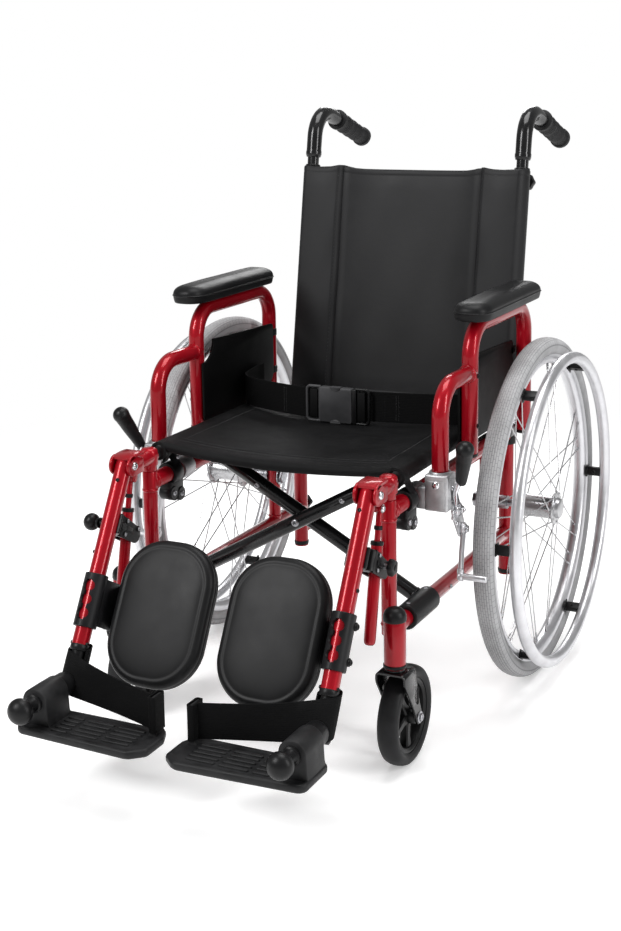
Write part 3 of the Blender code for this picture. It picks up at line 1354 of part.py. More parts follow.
def belt():
    """Lap belt in two lengths of webbing with a side-release buckle between them."""
    half = BELT_WIDTH / 2
    anchor_x = ARM_X - TUBE_RADIUS - PANEL_THICKNESS - 0.0010
    anchor_y = ARM_REAR_POST_Y - 0.060

    def strap(name, buckle_x, side, body):
        outline = [
            (buckle_x, BELT_Y),
            (buckle_x + side * 0.045, BELT_Y + 0.002),
            (side * (anchor_x - 0.030), BELT_Y + 0.028),
            (side * anchor_x, anchor_y),
        ]
        path = rounded([(px, py, 0) for px, py in outline], 0.030, 3)
        front = [(point.x, point.y) for point in path]
        back = [(point.x - side * 0.0012, point.y + BELT_THICKNESS) for point in path]
        back[0] = (path[0].x, path[0].y + BELT_THICKNESS)
        band = flat(front + back[::-1], BELT_WIDTH, "XY", BELT_Z - half)
        finish(band, name, "black_webbing", (side * FRAME_X, BELT_Y, BELT_Z), body)

    strap("belt_left", BUCKLE_LEFT_X + SEAT_GAP, 1, "left_frame")
    strap("belt_right", BUCKLE_RIGHT_X - SEAT_GAP, -1, "right_frame")
    middle = (BUCKLE_LEFT_X + BUCKLE_RIGHT_X) / 2
    y0, y1 = BELT_Y - BUCKLE_DEPTH / 2, BELT_Y + BUCKLE_DEPTH / 2
    h = BUCKLE_HEIGHT / 2
    join = middle + 0.012
    housing = box((BUCKLE_RIGHT_X, y0, BELT_Z - h), (join, y1, BELT_Z + h), 0.003, 2)
    mouth = box((join - 0.034, y0 + 0.004, BELT_Z - h + 0.010), (join + 0.01, y1 - 0.004, BELT_Z + h - 0.010))
    latch_windows = []
    for side in (-1, 1):
        latch_windows.append(
            box(
                (join - 0.022, y0 - 0.01, BELT_Z + side * h - 0.011),
                (join - 0.006, y1 + 0.01, BELT_Z + side * h + 0.011),
            )
        )
    housing = cut(housing, mouth, *latch_windows)
    finish(housing, "buckle_housing", "black_plastic", (middle, BELT_Y, BELT_Z), "buckle")
    insert = box((join + RUN_GAP, y0, BELT_Z - h), (BUCKLE_LEFT_X, y1, BELT_Z + h), 0.003, 2)
    tongue = box(
        (join - 0.032, y0 + 0.0045, BELT_Z - h + 0.0145), (join + 0.004, y1 - 0.0045, BELT_Z + h - 0.0145), 0.001
    )
    insert = fuse(insert, tongue)
    finish(insert, "buckle_insert", "black_plastic", (middle, BELT_Y, BELT_Z), "buckle_insert")


BODIES = {
    "right_frame": (None, (-FRAME_X, 0, LOWER_RAIL_Z)),
    "brace_front": ("right_frame", (-FRAME_X, BRACE_FRONT_PLANE, LOWER_RAIL_Z)),
    "brace_rear": ("brace_front", (0, BRACE_FRONT_PLANE, (LOWER_RAIL_Z + SEAT_RAIL_Z) / 2)),
    "left_frame": ("brace_rear", (FRAME_X, 0, LOWER_RAIL_Z)),
    "buckle": ("right_frame", ((BUCKLE_LEFT_X + BUCKLE_RIGHT_X) / 2, BELT_Y, BELT_Z)),
    "buckle_insert": ("buckle", ((BUCKLE_LEFT_X + BUCKLE_RIGHT_X) / 2, BELT_Y, BELT_Z)),
}

SIDE_BODIES = {
    "armrest": ("frame", (ARM_X, ARM_REAR_POST_Y, ARM_PIVOT_Z)),
    "brake_lever": ("frame", (LOCK_PLATE_X, LEVER_PIVOT[1], LEVER_PIVOT[2])),
    "brake_shoe": ("frame", (LOCK_PLATE_X, SHOE_PIVOT[1], SHOE_PIVOT[2])),
    "wheel": ("frame", (WHEEL_X, 0, axle_z())),
    "caster_swivel": ("frame", (CASTER_STEM_X, CASTER_STEM_Y, CASTER_HOUSING_BOTTOM)),
    "caster_wheel": ("caster_swivel", tuple(caster_axle())),
    "push_handle": ("frame", tuple(cane_point(CANE_TOP_Z))),
    "handle_knob": ("frame", tuple(knob_point(TUBE_RADIUS))),
    "legrest_swing": ("frame", (FRAME_X, FRONT_POST_Y, FRONT_POST_TOP)),
    "leg": ("legrest_swing", (FRAME_X, CLEVIS_Y, CLEVIS_Z)),
    "strut": ("legrest_swing", (STRUT_X, STRUT_PIVOT_Y, STRUT_PIVOT_Z)),
    "calf": ("leg", tuple(leg_point(CALF_SLEEVE_DISTANCE))),
    "foot": ("leg", (FOOT_AXIS_X, FOOT_AXIS_Y, FOOT_AXIS_Z)),
    "footplate": ("foot", (FOOT_AXIS_X, FOOT_AXIS_Y, FOOT_AXIS_Z)),
}

LEFT_BUILDERS = (
    side_frame,
    arm_socket,
    brake_lever,
    brake_shoe,
    tyre,
    rim,
    hub,
    handrim,
    caster_fork,
    caster_tyre,
    caster_hub,
    hanger,
    leg_tube,
    strut_lock,
    strut,
    calf_bracket,
    calf_pad,
    foot_extension,
    footplate,
    heel_strap,
    armrest_frame,
    armrest_pad,
    side_panel,
    push_handle,
    handle_grip,
    handle_knob,
)


def body_table():
    table = dict(BODIES)
    for side, sign in (("left_", 1), ("right_", -1)):
        for name, (parent, point) in SIDE_BODIES.items():
            table[side + name] = (side + parent, (sign * point[0], point[1], point[2]))
    return table


def build_hierarchy():
    """An empty on the axis of each body, with the body's pieces and child bodies under it. The whole chair is
    then centred in depth over the origin."""
    table = body_table()
    empties = {}

    def empty_for(name):
        if name in empties:
            return empties[name]
        parent, point = table[name]
        empty = bpy.data.objects.new(name + "_axis", None)
        empty.empty_display_size = 0.02
        parts.objects.link(empty)
        offset = Vector(point)
        if parent:
            empty.parent = empty_for(parent)
            offset = offset - Vector(table[parent][1])
        empty.location = offset
        empties[name] = empty
        return empty

    for name, body in placed.items():
        piece = bpy.data.objects[name]
        piece.parent = empty_for(body)
        piece.location = piece.location - Vector(table[body][1])
    bpy.context.view_layer.update()
    depths = [(piece.matrix_world @ vertex.co).y for piece in parts.objects if piece.type == "MESH" for vertex in piece.data.vertices]
    empties["right_frame"].location.y -= (min(depths) + max(depths)) / 2


def main():
    clear_scene()
    make_materials()
    for build in LEFT_BUILDERS:
        build()
    for name in [piece.name for piece in parts.objects if piece.name.startswith("left_")]:
        mirror_piece(name.removeprefix("left_"))
    cross_brace("brace_front_bar", -1, BRACE_FRONT_PLANE, "brace_front")
    cross_brace("brace_rear_bar", 1, BRACE_FRONT_PLANE + BRACE_PLANE_STEP, "brace_rear")
    back_upholstery()
    seat_upholstery()
    belt()
    build_hierarchy()
    bpy.context.view_layer.update()
    total = 0
    for piece in sorted(parts.objects, key=lambda item: item.name):
        if piece.type == "MESH":
            piece.data.calc_loop_triangles()
            count = len(piece.data.loop_triangles)
            total += count
            print(f"{piece.name}: {count} triangles")
    print("triangles in all:", total)


main()
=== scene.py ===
# %% [markdown]
# # A child's folding wheelchair
# The chair has two red side frames joined by a black scissor brace, a sling seat and a sling back, flip-back
# armrests, two big spoked wheels, two casters, and legrests with calf pads and footplates. The solids of the
# frame come ready made in one shared frame. This lesson dresses them: each solid gets a finish, and the
# visible pieces, such as tubes, wheels, upholstery and grips, are modelled again in their places.

# %% Load the solids
from math import asin, atan2, copysign, cos, degrees, exp, hypot, pi, radians, sin, sqrt, tan

import bmesh
import bpy
from mathutils import Matrix, Vector


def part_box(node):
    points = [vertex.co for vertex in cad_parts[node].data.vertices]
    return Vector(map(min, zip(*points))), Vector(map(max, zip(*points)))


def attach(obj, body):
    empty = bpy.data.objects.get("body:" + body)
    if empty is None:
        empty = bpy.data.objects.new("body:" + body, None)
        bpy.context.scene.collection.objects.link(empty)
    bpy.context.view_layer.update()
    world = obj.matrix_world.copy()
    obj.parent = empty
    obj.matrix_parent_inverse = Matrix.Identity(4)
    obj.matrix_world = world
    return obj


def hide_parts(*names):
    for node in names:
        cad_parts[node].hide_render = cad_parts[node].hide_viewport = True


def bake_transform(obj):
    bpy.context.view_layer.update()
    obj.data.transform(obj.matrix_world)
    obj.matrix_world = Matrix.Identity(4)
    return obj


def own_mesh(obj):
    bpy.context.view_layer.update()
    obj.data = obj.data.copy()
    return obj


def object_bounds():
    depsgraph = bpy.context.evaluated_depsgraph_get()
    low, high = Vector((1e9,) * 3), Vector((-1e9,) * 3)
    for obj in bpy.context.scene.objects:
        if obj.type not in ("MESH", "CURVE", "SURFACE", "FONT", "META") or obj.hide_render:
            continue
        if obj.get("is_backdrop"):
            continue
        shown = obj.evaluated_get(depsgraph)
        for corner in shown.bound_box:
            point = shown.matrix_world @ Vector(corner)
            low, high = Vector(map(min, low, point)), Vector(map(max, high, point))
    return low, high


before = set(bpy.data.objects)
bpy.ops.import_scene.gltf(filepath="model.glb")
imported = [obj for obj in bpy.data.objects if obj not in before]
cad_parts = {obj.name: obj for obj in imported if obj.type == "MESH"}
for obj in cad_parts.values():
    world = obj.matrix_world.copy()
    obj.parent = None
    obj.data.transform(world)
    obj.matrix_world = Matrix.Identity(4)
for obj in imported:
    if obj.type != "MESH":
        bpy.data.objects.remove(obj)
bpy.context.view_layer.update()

# %% [markdown]
# ## Places
# All places below are counted from the point on the floor under the middle of the rear axle, with the
# chair facing -Y and its left side at +X. The solids were centred in depth, so the axle's own depth is
# read from a wheel rim. Every piece of the left side has a twin on the right, made by a mirror.

# %% A place counted from the rear axle
SIDES = (("left", 1), ("right", -1))


def middle_of(node):
    low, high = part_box(node)
    return [(a + b) / 2 for a, b in zip(low, high)]


WHEEL_X, AXLE_Y, AXLE_Z = middle_of("left_rim")


def spot(x, y, z):
    return Vector((x, y + AXLE_Y, z))


def linked(name, data):
    """A new object in the scene."""
    made = bpy.data.objects.new(name, data)
    bpy.context.scene.collection.objects.link(made)
    return made


print("rear axle at", round(AXLE_Y, 5), round(AXLE_Z, 5), "wheel at", round(WHEEL_X, 4))

# %% [markdown]
# ## Camera
# The view is from the chair's front left, a little above the armrests. The lens is that of a picture
# 621 wide and 931 high, and a shift of the lens keeps the camera's own pitch at ten degrees.

# %% Set the camera
SENSOR, PICTURE_HEIGHT = 24, 931
FOCAL_PIXELS, SHIFT_PIXELS = 1528.6, -124.9
camera_data = bpy.data.cameras.new("view")
camera_data.sensor_fit = "VERTICAL"
camera_data.sensor_height = SENSOR
camera_data.lens = FOCAL_PIXELS * SENSOR / PICTURE_HEIGHT
camera_data.shift_y = SHIFT_PIXELS / PICTURE_HEIGHT
camera_data.clip_end = 50
camera = linked("view", camera_data)
yaw, pitch, roll = radians(-26.15), radians(10.35), radians(-0.88)
ahead = Vector((sin(yaw) * cos(pitch), cos(yaw) * cos(pitch), -sin(pitch)))
aside = ahead.cross(Vector((0, 0, 1))).normalized()
heading = Matrix((aside, aside.cross(ahead), -ahead)).transposed().to_4x4()
camera.matrix_world = Matrix.Translation(spot(1.027, -2.342, 1.004)) @ heading @ Matrix.Rotation(roll, 4, "Z")
bpy.context.scene.camera = camera
print("camera", [round(v, 3) for v in camera.location])

# %% [markdown]
# ## Light
# Studio light for a shiny chair is large and soft. A key lamp and a tall side lamp stand at the front,
# one lamp hangs above, and a weaker one is behind. The world is pure white where the camera sees it. It
# is much dimmer in reflections and as fill, so that enamel and chrome keep dark sides beside their lights.

# %% Lamps and world
WORLD_LIGHT, WORLD_MIRRORED = 0.34, 0.3
CHAIR_MIDDLE = spot(0, -0.15, 0.45)
WHITE = (1, 1, 1, 1)


def lamp(name, place, size, power):
    data = bpy.data.lights.new(name, "AREA")
    data.shape = "RECTANGLE"
    data.size, data.size_y = size
    data.energy = power
    made = linked(name, data)
    made.location = place
    made.rotation_mode = "QUATERNION"
    made.rotation_quaternion = (CHAIR_MIDDLE - place).to_track_quat("-Z", "Y")


def add_node(tree, kind, **inputs):
    added = tree.nodes.new("ShaderNode" + kind)
    for socket, value in inputs.items():
        added.inputs[socket.replace("_", " ")].default_value = value
    return added


def mixed(tree, *sources):
    """A blend of shaders: its share and the first and second shader."""
    blend = add_node(tree, "MixShader")
    for source, socket in zip(sources, blend.inputs):
        tree.links.new(source, socket)
    return blend.outputs[0]


lamp("key", spot(-1.2, -2.4, 2.2), (0.8, 1.4), 62)
lamp("side", spot(2.6, -0.6, 1.5), (0.5, 1.9), 38)
lamp("top", spot(0.2, 0.0, 2.8), (1.5, 1.5), 44)
lamp("rear", spot(-0.8, 2.3, 1.9), (1.2, 1.0), 26)
world = bpy.data.worlds.new("studio")
bpy.context.scene.world = world
world.use_nodes = True
sky = world.node_tree
sky.nodes.clear()
rays = add_node(sky, "LightPath").outputs
strengths = (WORLD_LIGHT, WORLD_MIRRORED, 1)
levels = [add_node(sky, "Background", Color=WHITE, Strength=level).outputs[0] for level in strengths]
unseen = mixed(sky, rays["Is Glossy Ray"], levels[0], levels[1])
surround = mixed(sky, rays["Is Camera Ray"], unseen, levels[2])
sky.links.new(surround, add_node(sky, "OutputWorld").inputs["Surface"])
bpy.context.scene.view_settings.view_transform = "Standard"

# %% [markdown]
# ## Finishes
# A finish is a Principled shader with its fine detail added by noise on Object coordinates, which here
# are the chair's own metres. One helper adds a patchy change of colour and roughness, and one adds
# grain to the surface's normal. A colour of two numbers is a grey with a little more or less blue.

# %% Helpers for finishes
finishes = {}


def rgba(colour):
    return (colour[0], colour[-2], colour[-1], 1)


def place_source(made):
    found = made.node_tree.nodes.get("place")
    if found is None:
        found = add_node(made.node_tree, "TexCoord")
        found.name = "place"
    return found.outputs["Object"]


def patchy(made, scale, dark, light, rough_low, rough_high):
    """Cloudy change between two colours, and between two roughnesses."""
    tree = made.node_tree
    shader = tree.nodes["Principled BSDF"]
    noise = add_node(tree, "TexNoise", Scale=scale, Detail=4, Roughness=0.6)
    tree.links.new(place_source(made), noise.inputs["Vector"])
    ramp = add_node(tree, "ValToRGB")
    for element, position, colour in zip(ramp.color_ramp.elements, (0.32, 0.7), (dark, light)):
        element.position = position
        element.color = rgba(colour)
    tree.links.new(noise.outputs["Fac"], ramp.inputs["Fac"])
    tree.links.new(ramp.outputs["Color"], shader.inputs["Base Color"])
    spread = add_node(tree, "MapRange", To_Min=rough_low, To_Max=rough_high, From_Min=0.3, From_Max=0.7)
    tree.links.new(noise.outputs["Fac"], spread.inputs["Value"])
    tree.links.new(spread.outputs["Result"], shader.inputs["Roughness"])


def bumped(made, source, strength, distance):
    """Adds a height to the finish's normal, on top of what is there already."""
    tree = made.node_tree
    normal = tree.nodes["Principled BSDF"].inputs["Normal"]
    bump = add_node(tree, "Bump", Strength=strength, Distance=distance)
    if normal.links:
        tree.links.new(normal.links[0].from_socket, bump.inputs["Normal"])
    tree.links.new(source, bump.inputs["Height"])
    tree.links.new(bump.outputs["Normal"], normal)


def grained(made, scale, strength, distance, cells=False):
    tree = made.node_tree
    if cells:
        pattern = add_node(tree, "TexVoronoi", Scale=scale)
        pattern.feature = "SMOOTH_F1"
    else:
        pattern = add_node(tree, "TexNoise", Scale=scale, Detail=3, Roughness=0.55)
    tree.links.new(place_source(made), pattern.inputs["Vector"])
    bumped(made, pattern.outputs["Distance" if cells else "Fac"], strength, distance)


def finish(name, colour, roughness, metallic, patches, *grains, **more):
    """A finish with its patches and grains; one that isn't metal has a dull highlight."""
    made = bpy.data.materials.new(name)
    made.use_nodes = True
    highlight = 0.5 if metallic else 0.2
    inputs = {"Roughness": roughness, "Metallic": metallic, "Specular_IOR_Level": highlight, **more}
    shader = made.node_tree.nodes["Principled BSDF"]
    shader.inputs["Base Color"].default_value = rgba(colour)
    for socket, value in inputs.items():
        shader.inputs[socket.replace("_", " ")].default_value = value
    if patches:
        patchy(made, *patches)
    for grain in grains:
        grained(made, *grain)
    finishes[name] = made
    return made


print("helpers ready")

# %% [markdown]
# ### Paint, metal and tyre
# The frame wears a candy red: a clear coat over metallic colour, so it goes from bright to very dark as
# the tube turns away. Bare metals differ in how sharply they mirror: bolts and levers are polished, the rim
# is satin, the hub brushed and the armrest socket a rough casting. The tyre is pale grey rubber.

# %% Paints, metals and rubbers
red = finish("candy_red", (0.3, 0.0014, 0.008), 0.34, 0.3, (9, (0.26, 0.001, 0.006), (0.34, 0.002, 0.01), 0.3,
    0.38), (2600, 0.03, 0.0002), Specular_IOR_Level=0.12, Coat_Weight=1, Coat_Roughness=0.04, Coat_IOR=1.28)
black_gloss = finish("black_enamel", (0.004, 0.0045), 0.25, 0, (22, (0.003, 0.0034), (0.007, 0.0076), 0.2,
    0.32), (600, 0.012, 0.0003), Coat_Weight=0.45, Coat_Roughness=0.1)
enamel_matt = finish("black_enamel_satin", (0.006, 0.0065), 0.42, 0, (26, (0.0045, 0.005), (0.01, 0.011),
    0.36, 0.5), (1300, 0.1, 0.0003))
silver = finish("satin_alloy", (0.62, 0.64), 0.34, 0.85, (30, (0.56, 0.58), (0.68, 0.7), 0.28, 0.4),
    (1500, 0.03, 0.0002))
polished = finish("polished_steel", (0.68, 0.7), 0.16, 1, (60, (0.58, 0.6), (0.76, 0.78), 0.12, 0.26))
hub_alloy = finish("brushed_alloy", (0.44, 0.45), 0.28, 0.95, (50, (0.38, 0.39), (0.5, 0.51), 0.23, 0.34))
cast = finish("cast_alloy", (0.45, 0.46), 0.44, 0.8, (45, (0.36, 0.37), (0.55, 0.56), 0.36, 0.54),
    (700, 0.16, 0.0005))
zinc = finish("zinc_screw", (0.38, 0.4), 0.3, 0.95, (180, (0.24, 0.26), (0.5, 0.52), 0.24, 0.42))
tyre_grey = finish("grey_tyre_rubber", (0.4, 0.41), 0.7, 0, (26, (0.33, 0.335), (0.45, 0.46), 0.6, 0.8),
    (900, 0.1, 0.0004))
rubber = finish("black_rubber", (0.01, 0.011), 0.55, 0, (40, (0.007, 0.0075), (0.016, 0.017), 0.46, 0.64),
    (1400, 0.12, 0.0003))


# %% Tread pattern of the tyre, with painted shade in its grooves and slits
TREAD_X, TREAD_RADIUS = 0.29, 0.2655
GROOVE_PITCH = 0.0036
SLITS = 156


def maths(made, operation, *sides):
    """One arithmetic step; each side is a number or a socket."""
    step = add_node(made.node_tree, "Math")
    step.operation = operation
    for side, socket in zip(sides, step.inputs):
        if isinstance(side, (int, float)):
            socket.default_value = side
        else:
            made.node_tree.links.new(side, socket)
    return step.outputs[0]


def painted_tread_shade(made):
    """Painted shade: darkens the fine grooves round the tread, and short slits across it between them."""

    def step(*how):
        return maths(made, *how)

    tree = made.node_tree
    base = tree.nodes["Principled BSDF"].inputs["Base Color"]
    split = add_node(tree, "SeparateXYZ")
    tree.links.new(place_source(made), split.inputs[0])
    across = step("ABSOLUTE", step("SUBTRACT", step("ABSOLUTE", split.outputs["X"]), TREAD_X))
    back = step("SUBTRACT", split.outputs["Y"], AXLE_Y)
    up = step("SUBTRACT", split.outputs["Z"], AXLE_Z)
    turn = step("MULTIPLY", step("ARCTAN2", up, back), SLITS / (2 * pi))
    far_out = step("POWER", step("ADD", step("MULTIPLY", back, back), step("MULTIPLY", up, up)), 0.5)
    on_tread = step("GREATER_THAN", far_out, TREAD_RADIUS)
    band = step("FRACT", step("DIVIDE", across, GROOVE_PITCH))
    groove = step("LESS_THAN", step("ABSOLUTE", step("SUBTRACT", band, 0.5)), 0.11)
    row = step("FLOOR", step("DIVIDE", step("ADD", across, GROOVE_PITCH / 2), GROOVE_PITCH))
    slit = step("LESS_THAN", step("FRACT", step("ADD", turn, step("MULTIPLY", row, 0.5))), 0.09)
    shaded_marks = step("MULTIPLY", step("MAXIMUM", groove, slit), on_tread)
    # painted shade: grooves and slits are darkened in the tyre's base colour
    shade_dim = add_node(tree, "MixRGB", Color2=(0.1, 0.1, 0.1, 1))
    shade_dim.blend_type = "MULTIPLY"
    tree.links.new(step("MULTIPLY", shaded_marks, 0.42), shade_dim.inputs["Fac"])
    tree.links.new(base.links[0].from_socket, shade_dim.inputs["Color1"])
    tree.links.new(shade_dim.outputs["Color"], base)


painted_tread_shade(tyre_grey)
print("finishes so far:", sorted(finishes))

# %% [markdown]
# ### Plastic, vinyl and webbing
# Moulded plastic has a fine etched texture. The pads are coated fabric with a leather-like grain made
# of small cells. Webbing is woven: two waves at right angles make its ribs, one along its length and
# one across it, and the belt and straps get them from their own UV map so that the weave follows them.

# %% Plastics, vinyl and woven finishes
plastic = finish("black_moulding", (0.005, 0.0053), 0.38, 0, (30, (0.004, 0.0043), (0.008, 0.0085), 0.3,
    0.44), (1700, 0.12, 0.0003))
tread_plastic = finish("black_moulding_worn", (0.01, 0.011), 0.48, 0, (42, (0.007, 0.0075), (0.018, 0.0188),
    0.38, 0.6), (1500, 0.16, 0.0003))
buckle_grey = finish("dark_grey_moulding", (0.045, 0.048), 0.42, 0, (34, (0.038, 0.04), (0.054, 0.057), 0.36,
    0.5), (1900, 0.1, 0.0002))
# painted shade: a near-black matt finish for the plates that stand in for the fork's slots
painted_slot_shade = finish("painted_shade_in_slots", (0.002, 0.002), 0.8, 0, (80, (0.001, 0.001), (0.004, 0.004), 0.7, 0.9))
vinyl = finish("black_vinyl", (0.012, 0.013), 0.52, 0, (14, (0.01, 0.0107), (0.015, 0.0158), 0.46, 0.58),
    (620, 0.16, 0.0004, True), (95, 0.05, 0.002))
pad_vinyl = finish("black_pad_vinyl", (0.007, 0.0075), 0.42, 0, (20, (0.006, 0.0064), (0.01, 0.0105), 0.37,
    0.47), (900, 0.1, 0.0003, True), Specular_IOR_Level=0.15)
quiet = {"Specular_IOR_Level": 0.11}
nylon = finish("black_nylon", (0.004, 0.0043), 0.56, 0, (18, (0.003, 0.0032), (0.006, 0.0064), 0.5, 0.64),
    **quiet)
board_black = finish("black_board", (0.002, 0.0021), 0.5, 0, (12, (0.0014, 0.0015), (0.003, 0.0032), 0.44,
    0.56), (1100, 0.08, 0.0003), **quiet)
webbing = finish("black_webbing", (0.003, 0.0032), 0.75, 0, None, **quiet)
webbing_plain = finish("black_webbing_fold", (0.003, 0.0032), 0.75, 0,
    (60, (0.0024, 0.0026), (0.0045, 0.0048), 0.68, 0.8), (1300, 0.3, 0.0004), **quiet)
thread = finish("black_thread", (0.02, 0.022), 0.7, 0, (300, (0.012, 0.0128), (0.03, 0.032), 0.6, 0.8),
    Sheen_Weight=0.2, **quiet)


def woven(made, coordinates, along, across, strength, distance):
    """Ribs of thread from two waves at right angles."""
    heights = []
    for direction, scale in (("X", along), ("Y", across)):
        wave = add_node(made.node_tree, "TexWave", Scale=scale, Distortion=0.4, Detail=1, Detail_Scale=2)
        wave.bands_direction = direction
        made.node_tree.links.new(coordinates, wave.inputs["Vector"])
        heights.append(wave.outputs["Fac"])
    bumped(made, maths(made, "MULTIPLY", *heights), strength, distance)


woven(nylon, place_source(nylon), 420, 420, 0.35, 0.0004)
web_map = add_node(webbing.node_tree, "UVMap")
web_map.uv_map = "weave"
woven(webbing, web_map.outputs["UV"], 300, 120, 0.6, 0.0006)
print("finishes:", len(finishes))

# %% [markdown]
# ## Finishes on the solids
# Every solid gets a finer piece in its place further down. Each takes a finish here all the same, so
# that none is ever seen bare.

# %% Give every solid its finish
for name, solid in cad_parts.items():
    solid.data.materials.clear()
    solid.data.materials.append(red if name.endswith(("side_frame", "armrest_frame")) else plastic)
print("solids with a finish:", len(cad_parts))

# %% [markdown]
# ## Ways to make a shape
# Three moves make nearly all of the pieces. A loft grows a closed outline through a row of sections by
# extruding its edges and moving them. A lathe spins a profile about an axis. A plate extrudes a flat
# outline and bevels its edges. Each adds to one mesh, so that a piece can hold many small parts.


# %% Loft, lathe, plate and block
def loft(mesh, sections):
    """Extrudes the first section's edges through the rest and closes both ends."""
    ring = [mesh.verts.new(point) for point in sections[0]]
    edges = [mesh.edges.new(pair) for pair in zip(ring, ring[1:] + ring[:1])]
    bmesh.ops.contextual_create(mesh, geom=edges)
    for section in sections[1:]:
        grown = bmesh.ops.extrude_edge_only(mesh, edges=edges)["geom"]
        fresh = {item for item in grown if isinstance(item, bmesh.types.BMVert)}
        ring = [next(e.other_vert(v) for e in v.link_edges if e.other_vert(v) in fresh) for v in ring]
        for vert, point in zip(ring, section):
            vert.co = point
        edges = [e for e in grown if isinstance(e, bmesh.types.BMEdge) and set(e.verts) <= fresh]
    bmesh.ops.contextual_create(mesh, geom=edges)


def around(centre, radius, start, stop, steps):
    """Points of an arc between two angles in degrees."""
    angles = [radians(start + (stop - start) * index / steps) for index in range(steps + 1)]
    return [(centre[0] + radius * cos(a), centre[1] + radius * sin(a)) for a in angles]


def circle_points(radius, count):
    angles = [2 * pi * i / count for i in range(count)]
    return [(radius * cos(a), radius * sin(a)) for a in angles]


def fuller(value, power):
    """Makes a circle's cosine or sine that of a squarer round."""
    return copysign(abs(value) ** power, value)


def way_at(path, index):
    return path[min(index + 1, len(path) - 1)] - path[max(index - 1, 0)]


def pipe(mesh, path, radii, count=16):
    """A round loft along a path, with one radius for all points or one each."""
    path = [Vector(p) for p in path]
    if not isinstance(radii, (list, tuple)):
        radii = [radii] * len(path)
    sections, side = [], None
    for index, point in enumerate(path):
        ahead_of = way_at(path, index)
        ahead_of.normalize()
        if side is None:
            side = ahead_of.orthogonal().normalized()
        side = (side - ahead_of * side.dot(ahead_of)).normalized()
        over = ahead_of.cross(side)
        sections.append([point + side * a + over * b for a, b in circle_points(radii[index], count)])
    loft(mesh, sections)


def both_ends(half):
    """A profile from one half of it, mirrored in its own middle."""
    return [(radius, -height) for radius, height in half] + half[::-1]


def hoop_of(half):
    whole = both_ends(half)
    return whole + whole[:1]


def lathe(mesh, profile, place, steps=32):
    """Spins (radius, height) points about the local Z of a matrix."""
    verts = [mesh.verts.new((radius, 0, height)) for radius, height in profile]
    edges = [mesh.edges.new(pair) for pair in zip(verts, verts[1:])]
    known = set(mesh.verts)
    bmesh.ops.spin(mesh, geom=verts + edges, cent=(0, 0, 0), axis=(0, 0, 1), angle=2 * pi, steps=steps,
        use_merge=True)
    made = [v for v in mesh.verts if v not in known or v in verts]
    bmesh.ops.transform(mesh, matrix=place, verts=made)
    bmesh.ops.remove_doubles(mesh, verts=made, dist=1e-6)


def softened(mesh, edges, bevel, segments):
    return bmesh.ops.bevel(mesh, geom=edges, offset=bevel, segments=segments, profile=0.5, affect="EDGES",
        material=-1)["verts"]


def plate(mesh, outline, thickness, place, bevel):
    """A flat outline in the local XY plane of a matrix, grown along local Z."""
    face = bmesh.ops.contextual_create(mesh, geom=[mesh.verts.new((x, y, 0)) for x, y in outline])["faces"]
    grown = bmesh.ops.extrude_face_region(mesh, geom=face)["geom"]
    top = [item for item in grown if isinstance(item, bmesh.types.BMVert)]
    bmesh.ops.translate(mesh, vec=(0, 0, thickness), verts=top)
    made = list(face[0].verts) + top
    rims = [e for v in made for e in v.link_edges if abs(e.verts[0].co.z - e.verts[1].co.z) < thickness / 2]
    fresh = softened(mesh, list(set(rims)), bevel, 2)
    made = [v for v in made if v.is_valid] + fresh
    bmesh.ops.transform(mesh, matrix=place, verts=list(set(made)))


def block(mesh, low, high, bevel=0.001, segments=2):
    low, high = Vector(low), Vector(high)
    made = bmesh.ops.create_cube(mesh, size=1.0)["verts"]
    bmesh.ops.scale(mesh, vec=high - low, verts=made)
    bmesh.ops.translate(mesh, vec=(low + high) / 2, verts=made)
    softened(mesh, list({e for v in made for e in v.link_edges}), bevel, segments)


def merge_in(mesh, part, matrix):
    """Moves a small mesh and adds it to a larger one."""
    bmesh.ops.transform(part, matrix=matrix, verts=part.verts)
    data = bpy.data.meshes.new("part")
    part.to_mesh(data)
    part.free()
    mesh.from_mesh(data)
    bpy.data.meshes.remove(data)


def stood_plate(mesh, outline, thickness, bevel, matrix):
    part = bmesh.new()
    plate(part, outline, thickness, Matrix.Identity(4), bevel)
    merge_in(mesh, part, matrix)


print("loft, lathe, plate and block ready")


# %% Tubes with rounded corners
def rounded(points, radius, steps=8):
    """A path whose inner corners are arcs."""
    points = [Vector(p) for p in points]
    path = [points[0]]
    for before, corner, after in zip(points, points[1:], points[2:]):
        into, out = (before - corner).normalized(), (after - corner).normalized()
        half = into.angle(out) / 2
        centre = corner + (into + out).normalized() * radius / sin(half)
        first = corner + into * radius / tan(half) - centre
        for index in range(steps + 1):
            turn = Matrix.Rotation(-(pi - 2 * half) * index / steps, 3, into.cross(out))
            path.append(centre + turn @ first)
    return path + [points[-1]]


def resampled(path, step):
    """Points a fixed distance apart along a path."""
    out, carried = [path[0].copy()], 0.0
    for a, b in zip(path, path[1:]):
        length = (b - a).length
        along = step - carried
        while along <= length:
            out.append(a.lerp(b, along / length))
            along += step
        carried = length - (along - step)
    out.append(path[-1].copy())
    return out


def lengths_along(path):
    lengths = [0.0]
    for a, b in zip(path, path[1:]):
        lengths.append(lengths[-1] + (b - a).length)
    return lengths


def soft_pipe(mesh, points, radius, count=28, edge=0.001):
    """A tube along a path whose two ends have a small rounded edge."""
    points = [Vector(p) for p in points]
    first = (points[1] - points[0]).normalized()
    last = (points[-1] - points[-2]).normalized()
    path = [points[0], points[0] + first * edge * 0.35, points[0] + first * edge]
    path += points[1:-1] + [points[-1] - last * edge, points[-1] - last * edge * 0.35, points[-1]]
    ends = [radius - edge, radius - edge * 0.3, radius]
    pipe(mesh, path, ends + [radius] * (len(points) - 2) + ends[::-1], count)


